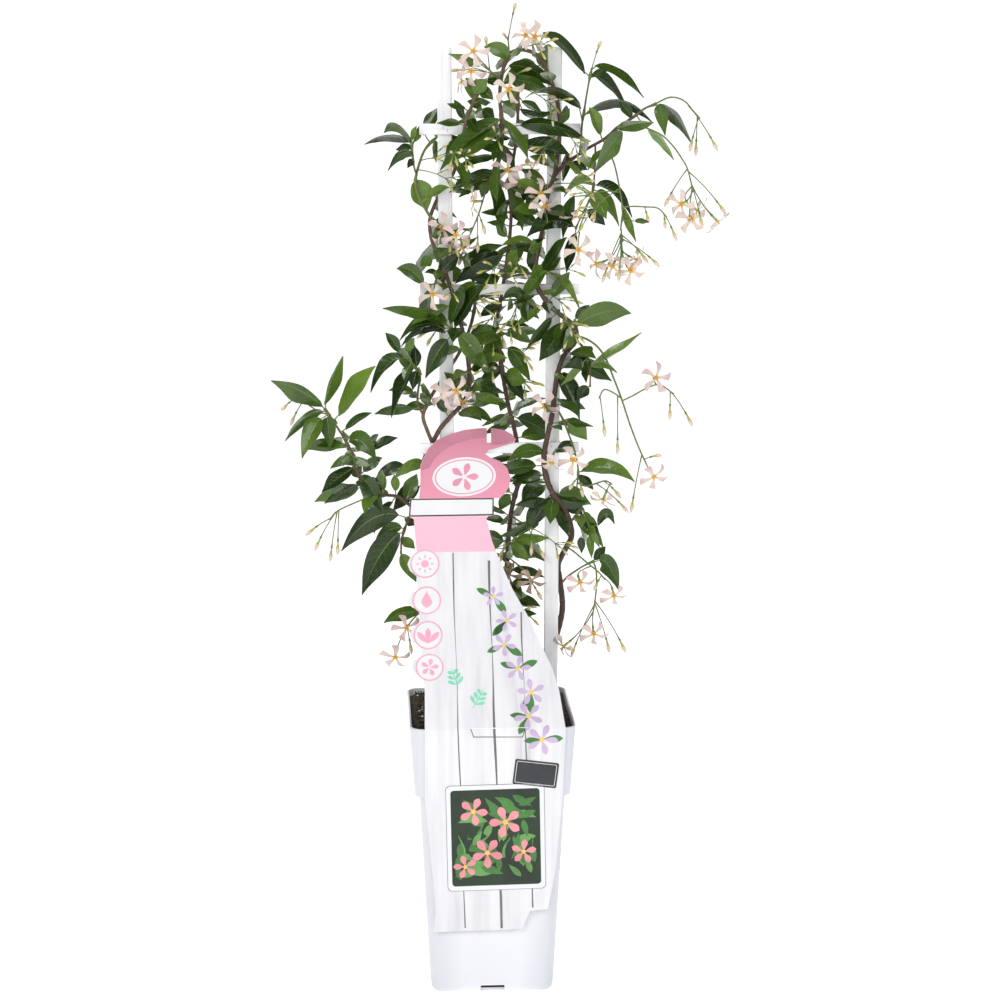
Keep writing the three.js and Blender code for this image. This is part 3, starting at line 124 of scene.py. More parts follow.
def put_in_scene(name, points, faces, *materials, uv=None, marks=None, sharp=None, tints=None):
    """A mesh object at the origin from points in millimetres. uv and marks hold one value per
    point, tints one material number per face, and sharp is the angle past which edges crease."""
    mesh = bpy.data.meshes.new(name)
    mesh.from_pydata((np.asarray(points) * MM).tolist(), [], [list(map(int, f)) for f in faces])
    mesh.polygons.foreach_set("use_smooth", np.ones(len(mesh.polygons), bool))
    if sharp is not None:
        mesh.set_sharp_from_angle(angle=math.radians(sharp))
    if uv is not None:
        corner = np.empty(len(mesh.loops), np.int32)
        mesh.loops.foreach_get("vertex_index", corner)
        layer = mesh.uv_layers.new(name="surface")
        layer.data.foreach_set("uv", np.asarray(uv, np.float32)[corner].ravel())
    for mark, values in (marks or {}).items():
        layer = mesh.attributes.new(mark, "FLOAT", "POINT")
        layer.data.foreach_set("value", np.asarray(values, np.float32).ravel())
    for material in materials:
        mesh.materials.append(material)
    if tints is not None:
        mesh.polygons.foreach_set("material_index", np.asarray(tints, np.int32))
    piece = bpy.data.objects.new(name, mesh)
    bpy.context.scene.collection.objects.link(piece)
    return piece


def new_material(name, roughness, **sockets):
    """A material with its shader and nodes; sockets are set by their names with _ for a space."""
    material = bpy.data.materials.new(name)
    material.use_nodes = True
    shader = material.node_tree.nodes["Principled BSDF"]
    shader.inputs["Roughness"].default_value = roughness
    for socket, value in sockets.items():
        shader.inputs[socket.replace("_", " ")].default_value = value
    return material, material.node_tree, shader


def add_node(tree, kind, **settings):
    """A new node; a setting that names an input sets that input's value, others the node's own."""
    node = tree.nodes.new(kind)
    for key, value in settings.items():
        label = key.replace("_", " ")
        if hasattr(node, key):
            setattr(node, key, value)
        else:
            node.inputs[label].default_value = value
    return node


def noise(tree, source, scale, detail=3.0, stretch=(1, 1, 1), roughness=0.5):
    """Noise over a coordinate that is stretched first. Returns the noise's value socket."""
    mapping = add_node(tree, "ShaderNodeMapping")
    mapping.inputs["Scale"].default_value = stretch
    tree.links.new(source, mapping.inputs["Vector"])
    cloud = add_node(tree, "ShaderNodeTexNoise", Scale=scale, Detail=detail, Roughness=roughness)
    tree.links.new(mapping.outputs["Vector"], cloud.inputs["Vector"])
    return cloud.outputs["Fac"]


def ramp(tree, source, *stops):
    """A colour ramp from (place, colour) stops. Returns its colour socket."""
    node = add_node(tree, "ShaderNodeValToRGB")
    while len(node.color_ramp.elements) < len(stops):
        node.color_ramp.elements.new(0.5)
    for element, (place, colour) in zip(node.color_ramp.elements, stops):
        element.position = place
        element.color = colour if len(colour) == 4 else (*colour, 1)
    tree.links.new(source, node.inputs["Fac"])
    return node.outputs["Color"]


def fill_inputs(tree, sockets, values):
    """Links each value that is a socket to its input, and sets the inputs of the others."""
    for socket, value in zip(sockets, values):
        if isinstance(value, bpy.types.NodeSocket):
            tree.links.new(value, socket)
        else:
            socket.default_value = value


def blend_colours(tree, share, low, high, mode="MIX"):
    """Mixes two colours, each a socket or a value, by a share that is a socket or a value."""
    node = add_node(tree, "ShaderNodeMix", data_type="RGBA", blend_type=mode)
    fill_inputs(tree, (node.inputs[0], node.inputs[6], node.inputs[7]), (share, low, high))
    return node.outputs[2]


def calculate(tree, operation, *values):
    """One step of arithmetic on sockets or numbers. Returns its value socket."""
    node = add_node(tree, "ShaderNodeMath", operation=operation)
    fill_inputs(tree, node.inputs, values)
    return node.outputs[0]


def add_bump(tree, shader, height, depth, strength=1.0):
    """Gives the shader a relief of the given depth in millimetres."""
    bump = add_node(tree, "ShaderNodeBump", Strength=strength, Distance=depth * MM)
    tree.links.new(height, bump.inputs["Height"])
    tree.links.new(bump.outputs["Normal"], shader.inputs["Normal"])


def place_coordinate(tree):
    return add_node(tree, "ShaderNodeTexCoord").outputs["Object"]


def surface_coordinate(tree):
    return add_node(tree, "ShaderNodeUVMap").outputs["UV"]


def mark_value(tree, mark):
    return add_node(tree, "ShaderNodeAttribute", attribute_name=mark).outputs["Fac"]


def split_axes(tree, source):
    """The x, y and z value sockets of a coordinate."""
    node = add_node(tree, "ShaderNodeSeparateXYZ")
    tree.links.new(source, node.inputs[0])
    return node.outputs


def feed(tree, shader, socket, value):
    tree.links.new(value, shader.inputs[socket])


def rounded_square(width, z, radius, per_corner=9):
    """A ring of points round a square with round corners: each corner is a quarter circle of
    per_corner points about a centre that lies radius inside both sides."""
    middle = np.pi / 4 + np.arange(4) * np.pi / 2
    angle = middle[:, None] + np.linspace(-np.pi / 4, np.pi / 4, per_corner)[None, :]
    centre = width / 2 - radius
    x = np.sign(np.cos(middle))[:, None] * centre + radius * np.cos(angle)
    y = np.sign(np.sin(middle))[:, None] * centre + radius * np.sin(angle)
    return np.stack([x.ravel(), y.ravel(), np.full(x.size, z)], axis=1)


def skin_over(rings):
    """Quads over a row of equal rings, with a fan that closes each end on a middle point. The
    faces are turned over when the volume they enclose comes out negative."""
    count = len(rings[0])
    points = np.concatenate([*rings, [rings[0].mean(0)], [rings[-1].mean(0)]])
    around = np.arange(count)
    after = (around + 1) % count
    last = (len(rings) - 1) * count
    start_cap = np.stack([after, around, np.full(count, len(points) - 2)], axis=1)
    end_cap = np.stack([last + around, last + after, np.full(count, len(points) - 1)], axis=1)
    quads = grid_quads(len(rings), count, closed=True)
    triangles = np.concatenate([quads[:, :3], quads[:, [0, 2, 3]], start_cap, end_cap])
    a, b, c = (points[triangles[:, k]] - points[0] for k in range(3))
    turn = 1 if (a * np.cross(b, c)).sum() > 0 else -1
    faces = [*quads.tolist(), *start_cap.tolist(), *end_cap.tolist()]
    return points, [face[::turn] for face in faces]


def body_width(z):
    return BASE_WIDTH + (BODY_TOP_WIDTH - BASE_WIDTH) * z / COLLAR_Z


def pot_profile():
    """(width, z, corner radius) of every ring, from the middle of the floor inside, up the inner
    wall, over the rounded lip, down the collar and the body and round the foot to the underside."""
    thin_corner = CORNER_RADIUS - WALL
    inner_foot = body_width(0) - 2 * WALL - BASE_ROUND
    quarter = np.linspace(0, np.pi / 2, 5)
    inner = [(20, FLOOR_THICKNESS, 4), (60, FLOOR_THICKNESS, 6)]
    inner += [(inner_foot + BASE_ROUND * math.sin(a), FLOOR_THICKNESS + BASE_ROUND * (1 - math.cos(a)),
               thin_corner) for a in quarter]
    inner += [(BODY_TOP_WIDTH - 2 * WALL, COLLAR_Z - WALL, thin_corner),
              (COLLAR_FOOT_WIDTH - 2 * WALL, COLLAR_Z + 6, thin_corner)]
    inner_rim = RIM_WIDTH - 2 * WALL - 0.1
    lip = [(inner_rim + WALL * (1 - math.cos(a)), RIM_Z - LIP_ROUND + LIP_ROUND * math.sin(a),
            CORNER_RADIUS - WALL * (1 + math.cos(a)) / 2) for a in np.linspace(0, np.pi, 9)]
    step = [(COLLAR_FOOT_WIDTH + 0.12, 1.4), (COLLAR_FOOT_WIDTH - 0.1, 0.5), (COLLAR_FOOT_WIDTH - 1.2, 0),
            (BODY_TOP_WIDTH + 1.4, 0), (BODY_TOP_WIDTH + 0.3, -0.3)]
    outer = [(width, COLLAR_Z + rise, CORNER_RADIUS) for width, rise in step]
    outer += [(body_width(z), z, CORNER_RADIUS) for z in (COLLAR_Z - 1.4, 120, 80, 40, 14, BASE_ROUND)]
    base = BASE_WIDTH - BASE_ROUND
    foot = [(base + (body_width(BASE_ROUND) - base) * math.cos(a), BASE_ROUND * (1 - math.sin(a)),
             CORNER_RADIUS - BASE_ROUND / 2 * math.sin(a)) for a in np.linspace(0, np.pi / 2, 6)[1:]]
    under = [(60, 0, 6), (20, 0, 4)]
    return inner + lip + outer + foot + under


def bar(x, y, z, length_x, length_y, length_z):
    """The eight corners and six faces of a plain block about a middle point."""
    corner = np.array([[i, j, k] for k in (-1, 1) for j in (-1, 1) for i in (-1, 1)], float)
    points = corner * np.array([length_x, length_y, length_z]) / 2 + np.array([x, y, z])
    faces = [(0, 2, 3, 1), (4, 5, 7, 6), (0, 1, 5, 4), (2, 6, 7, 3), (0, 4, 6, 2), (1, 3, 7, 5)]
    return points, faces


def cut_from(piece, *cutters):
    """Cuts the cutters out of a piece for good and removes them."""
    for cutter in cutters:
        cut = piece.modifiers.new("cut", "BOOLEAN")
        cut.object = cutter
        cut.solver = "EXACT"
    evaluated = piece.evaluated_get(bpy.context.evaluated_depsgraph_get())
    mesh = bpy.data.meshes.new_from_object(evaluated)
    piece.modifiers.clear()
    piece.data = mesh
    for cutter in cutters:
        bpy.data.objects.remove(cutter)


pot_plastic, tree, shader = new_material("pot_plastic", 0.34, Subsurface_Weight=0.06)
shader.inputs["Subsurface Radius"].default_value = (0.004, 0.004, 0.005)
where = place_coordinate(tree)
haze = noise(tree, where, 9, 4)
scuffs = noise(tree, where, 160, 5, stretch=(1, 1, 0.16))
colour = ramp(tree, haze, (0.3, (0.745, 0.757, 0.80)), (0.7, (0.79, 0.80, 0.84)))
marks = ramp(tree, scuffs, (0.62, (1, 1, 1)), (0.78, (0.93, 0.93, 0.94)))
colour = blend_colours(tree, 0.6, colour, marks, "MULTIPLY")
# How near a point lies to one of the four rounded corners, which are painted greyer as painted
# shade. It is scaled by 10 to spread it over the ramp, which has few steps.
x, y, z = split_axes(tree, where)
reach = calculate(tree, "ADD", calculate(tree, "ABSOLUTE", x), calculate(tree, "ABSOLUTE", y))
corner = calculate(tree, "MULTIPLY_ADD", z, -CORNER_PAINTED_SHADE_SPREAD, reach)
painted_corner_shade = ramp(tree, calculate(tree, "MULTIPLY", corner, 10), (10 * CORNER_PAINTED_SHADE_REACH[0], (1, 1, 1)),
             (10 * CORNER_PAINTED_SHADE_REACH[1], (0.86, 0.865, 0.875)))
feed(tree, shader, "Base Color", blend_colours(tree, 1.0, colour, painted_corner_shade, "MULTIPLY"))
feed(tree, shader, "Roughness", calculate(tree, "MULTIPLY_ADD", scuffs, 0.2, 0.24))
add_bump(tree, shader, noise(tree, where, 34, 3), 0.25, 0.35)

points, faces = skin_over([rounded_square(*ring) for ring in pot_profile()])
pot = put_in_scene("pot.shell", points, faces, pot_plastic)
cutters = []
for x, y in ((0, -1), (0, 1), (-1, 0), (1, 0)):
    for reach, length, width, height in ((BASE_WIDTH / 2, NOTCH_WIDTH, CUTTER_DEPTH, 2 * NOTCH_HEIGHT),
                                         (DRAIN_REACH, DRAIN_LENGTH, DRAIN_WIDTH, 2 * CUTTER_DEPTH)):
        size = (length, width) if y else (width, length)
        block = bar(x * reach, y * reach, 0, *size, height)
        cutters.append(put_in_scene("cutter", *block))
cut_from(pot, *cutters)
pot.data.set_sharp_from_angle(angle=math.radians(38))
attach(pot, "root")
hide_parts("pot")


# Potting soil.
# Dark, damp potting mix filled to just under the rim and heaped towards the back and side walls.
# Its top is crumbly, with loose crumbs of bark and peat and a few white grains of perlite; below,
# it takes the shape of the pot.
SOIL_Z = 214.0
SOIL_RELIEF = 1.6
SOIL_HEAP = 4.8
HEAP_FROM = 34.0
HEAP_RUN = 24.0
SOIL_EDGE_SINK = 1.2
SOIL_GAP = 0.3
SOIL_SIDES = 96
CRUMBS = 420
PERLITE = 46


def soil_height(x, y):
    """The soil's top: broad swells and fine dips, each a product of two waves, rough grain, and
    a heap of SOIL_HEAP towards the back and side walls."""
    broad = np.sin(x * 0.071 + 1.3) * np.cos(y * 0.083 - 0.6)
    fine = np.sin(x * 0.31 + y * 0.17) * np.cos(y * 0.29 - x * 0.11)
    grain = np.sin(x * 1.21 + 0.7 * y) * np.sin(y * 1.37 - 0.4 * x) + 0.6 * np.sin(x * 2.3) * np.sin(y * 2.6)
    out = np.clip((np.maximum(np.abs(x), y) - HEAP_FROM) / HEAP_RUN, 0, 1)
    heap = SOIL_HEAP * out ** 2 * (3 - 2 * out)
    return SOIL_Z + heap + SOIL_RELIEF * (0.6 * broad + 0.4 * fine + 0.28 * grain)


def ring_by_angle(width, z, radius):
    """A round-cornered square ring whose points lie at even angles round the middle."""
    angle = np.arange(SOIL_SIDES) * 2 * np.pi / SOIL_SIDES
    direction = np.stack([np.cos(angle), np.sin(angle)], axis=1)
    half = width / 2
    flat = direction * (half / np.abs(direction).max(axis=1))[:, None]
    core = np.clip(flat, -(half - radius), half - radius)
    rest = flat - core
    length = np.maximum(np.linalg.norm(rest, axis=1, keepdims=True), 1e-9)
    edge = core + rest / length * np.minimum(length, radius)
    return np.column_stack([edge, np.full(SOIL_SIDES, z)])


def soil_ring(share):
    """A ring of the soil's top, its share of the way from the middle out to the wall."""
    reach = RIM_WIDTH / 2 - WALL - SOIL_GAP - (RIM_Z - SOIL_Z) * COLLAR_SLOPE
    x, y = (ring_by_angle(2 * reach, 0, CORNER_RADIUS - WALL)[:, :2] * share).T
    return np.stack([x, y, soil_height(x, y) - SOIL_EDGE_SINK * share ** 14], axis=1)


def pebbles(count, reach, sizes, seed):
    """Small lumps strewn over the soil: octahedra whose corners are pushed in or out, scaled in
    each direction and turned, one to each seeded place."""
    draw = np.random.default_rng(seed)
    tips = np.array([[1, 0, 0], [-1, 0, 0], [0, 1, 0], [0, -1, 0], [0, 0, 1], [0, 0, -1]], float)
    faces = np.array([[0, 2, 4], [2, 1, 4], [1, 3, 4], [3, 0, 4],
                      [2, 0, 5], [1, 2, 5], [3, 1, 5], [0, 3, 5]])
    x, y = draw.uniform(-reach, reach, (2, count))
    size = draw.uniform(*sizes, (count, 1, 1)) * draw.uniform(0.6, 1.3, (count, 1, 3))
    turn = draw.uniform(0, np.pi, (count, 1))
    lumpy = tips[None] * draw.uniform(0.75, 1.2, (count, 6, 1)) * size
    px = lumpy[..., 0] * np.cos(turn) - lumpy[..., 1] * np.sin(turn) + x[:, None]
    py = lumpy[..., 0] * np.sin(turn) + lumpy[..., 1] * np.cos(turn) + y[:, None]
    pz = lumpy[..., 2] + soil_height(x, y)[:, None] + 0.3 * size[:, :, 0]
    points = np.stack([px, py, pz], axis=-1).reshape(-1, 3)
    return points, (faces[None] + 6 * np.arange(count)[:, None, None]).reshape(-1, 3)


soil_mix, tree, shader = new_material("potting_mix", 0.95)
where = place_coordinate(tree)
grain = noise(tree, where, 420, 6, roughness=0.7)
colour = ramp(tree, grain, (0.32, (0.004, 0.0025, 0.0015)), (0.5, (0.021, 0.012, 0.007)),
              (0.62, (0.075, 0.04, 0.021)), (0.78, (0.19, 0.115, 0.062)))
feed(tree, shader, "Base Color", colour)
add_bump(tree, shader, grain, 1.2, 0.9)

perlite_white, tree, shader = new_material("perlite", 0.9)
where = place_coordinate(tree)
colour = ramp(tree, noise(tree, where, 900, 4), (0.3, (0.42, 0.40, 0.36)), (0.7, (0.78, 0.76, 0.70)))
feed(tree, shader, "Base Color", colour)
add_bump(tree, shader, noise(tree, where, 1500, 3), 0.3, 0.6)

top_rings = [soil_ring(share) for share in np.linspace(1, 0.04, 26)]
fit = 2 * (WALL + SOIL_GAP)
foot = [(body_width(0) - fit - BASE_ROUND, FLOOR_THICKNESS + SOIL_GAP, CORNER_RADIUS - BASE_ROUND / 2),
        (body_width(BASE_ROUND) - fit, FLOOR_THICKNESS + BASE_ROUND, CORNER_RADIUS - WALL),
        (BODY_TOP_WIDTH - fit, COLLAR_Z - WALL, CORNER_RADIUS - WALL),
        (COLLAR_FOOT_WIDTH - fit, COLLAR_Z + 7, CORNER_RADIUS - WALL)]
points, faces = skin_over([ring_by_angle(*ring) for ring in foot] + top_rings)
soil = put_in_scene("potting_soil.bed", points, faces, soil_mix)
inner_reach = RIM_WIDTH / 2 - WALL - 4
points, faces = pebbles(CRUMBS, inner_reach, (0.7, 1.9), 11)
crumbs = put_in_scene("potting_soil.crumbs", points, faces, soil_mix)
points, faces = pebbles(PERLITE, inner_reach, (0.6, 1.3), 29)
perlite = put_in_scene("potting_soil.perlite", points, faces, perlite_white, sharp=30)
for piece in (soil, crumbs, perlite):
    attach(piece, "root")
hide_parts("potting_soil")


# Trellis.
# A small ladder of sawn wood strips painted white: two posts pushed down into the soil, a little
# closer together at the foot, and three rungs stapled across their fronts, with two short wires
# at each crossing.
TRELLIS_X = 8.0
POST_SPACING = 85.0
POST_WIDTH = 11.0
POST_THICKNESS = 5.0
POST_TOP_Z = 744.0
POST_FOOT_Z = 160.0
POST_LEAN = 2.05
RUNG_LENGTH = 124.0
RUNG_HEIGHT = 8.3
RUNG_THICKNESS = 2.7
RUNG_GAP = 0.3
RUNG_Z = {"top": 682.0, "middle": 558.0, "bottom": 433.0}
POST_EDGE = 0.7
RUNG_EDGE = 0.5
STAPLE_WIRE = 0.7
STAPLE_LENGTH = 2.5
STAPLE_INSET = 0.4
STAPLES = ((-1.6, 1.1), (1.7, -1.0))


def painted_wood(name, grain_axis):
    """White paint on sawn wood: faint streaks along the grain, a few worn, greyer spots."""
    material, tree, shader = new_material(name, 0.55)
    where = place_coordinate(tree)
    stretch = [1.0, 1.0, 1.0]
    stretch[grain_axis] = 0.035
    streaks = noise(tree, where, 520, 5, stretch=stretch, roughness=0.6)
    clouds = noise(tree, where, 26, 4)
    paint = ramp(tree, streaks, (0.28, (0.78, 0.78, 0.80)), (0.5, (0.86, 0.86, 0.875)),
                 (0.72, (0.885, 0.885, 0.90)))
    worn = ramp(tree, clouds, (0.35, (0.93, 0.93, 0.94)), (0.6, (1, 1, 1)))
    feed(tree, shader, "Base Color", blend_colours(tree, 0.8, paint, worn, "MULTIPLY"))
    add_bump(tree, shader, streaks, 0.35, 0.6)
    return material


def strip(section, start, end, cut):
    """A wood strip with slightly broken edges: an octagonal section, its corners cut off by
    `cut`, carried from start to end and a little narrower at both cut ends."""
    half_a, half_b = section[0] / 2, section[1] / 2
    outline = np.array([
        (half_a - cut, -half_b), (half_a, -half_b + cut), (half_a, half_b - cut), (half_a - cut, half_b),
        (-half_a + cut, half_b), (-half_a, half_b - cut), (-half_a, -half_b + cut), (-half_a + cut, -half_b),
    ])
    start, end = np.asarray(start, float), np.asarray(end, float)
    length = np.linalg.norm(end - start)
    along = (end - start) / length
    side = np.array([1.0, 0, 0]) if abs(along[2]) > 0.5 else np.array([0, 0, 1.0])
    side -= along * (side @ along)
    side /= np.linalg.norm(side)
    flat = outline[:, :1] * side + outline[:, 1:] * np.cross(along, side)
    body = [cut, *(length * k / 8 for k in range(1, 8)), length - cut]
    stops = [(0, 0.9), *((at, 1) for at in body), (length, 0.9)]
    return skin_over([start + along * at + scale * flat for at, scale in stops])


def joined(parts):
    """Joins (points, faces, ...) parts: faces are renumbered, every further array is stacked."""
    offset = np.cumsum([0] + [len(part[0]) for part in parts])
    faces = [[int(corner) + int(shift) for corner in face]
             for part, shift in zip(parts, offset) for face in part[1]]
    rest = [np.concatenate([part[k] for part in parts]) for k in range(2, len(parts[0]))]
    return (np.concatenate([part[0] for part in parts]), faces, *rest)


post_paint = painted_wood("painted_post", 2)
rung_paint = painted_wood("painted_rung", 0)
staple_metal, tree, shader = new_material("staple_metal", 0.35, Metallic=1.0)
where = place_coordinate(tree)
colour = ramp(tree, noise(tree, where, 700, 3), (0.3, (0.5, 0.5, 0.52)), (0.7, (0.72, 0.72, 0.74)))
feed(tree, shader, "Base Color", colour)

for side, label in ((-1, "left"), (1, "right")):
    top_x = TRELLIS_X + side * POST_SPACING / 2
    foot_x = top_x - side * POST_LEAN
    ends = [(foot_x, 0, POST_FOOT_Z), (top_x, 0, POST_TOP_Z)]
    points, faces = strip((POST_WIDTH, POST_THICKNESS), *ends, POST_EDGE)
    post = put_in_scene(f"trellis_post_{label}.strip", points, faces, post_paint, sharp=30)
    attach(post, "root")
    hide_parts(f"trellis_post_{label}")

rung_y = -POST_THICKNESS / 2 - RUNG_GAP - RUNG_THICKNESS / 2
for label, z in RUNG_Z.items():
    ends = [(TRELLIS_X + side * RUNG_LENGTH / 2, rung_y, z) for side in (-1, 1)]
    points, faces = strip((RUNG_HEIGHT, RUNG_THICKNESS), *ends, RUNG_EDGE)
    rung = put_in_scene(f"trellis_rung_{label}.strip", points, faces, rung_paint, sharp=30)
    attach(rung, "root")
    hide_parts(f"trellis_rung_{label}")
    wires = [bar(TRELLIS_X + side * (POST_SPACING / 2 - STAPLE_INSET) + dx, rung_y - RUNG_THICKNESS / 2,
                 z + dz, STAPLE_WIRE, STAPLE_WIRE, STAPLE_LENGTH)
             for side in (-1, 1) for dx, dz in STAPLES]
    points, faces = joined(wires)
    staples = put_in_scene(f"trellis_rung_{label}.staples", points, faces, staple_metal, sharp=30)
    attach(staples, "root")


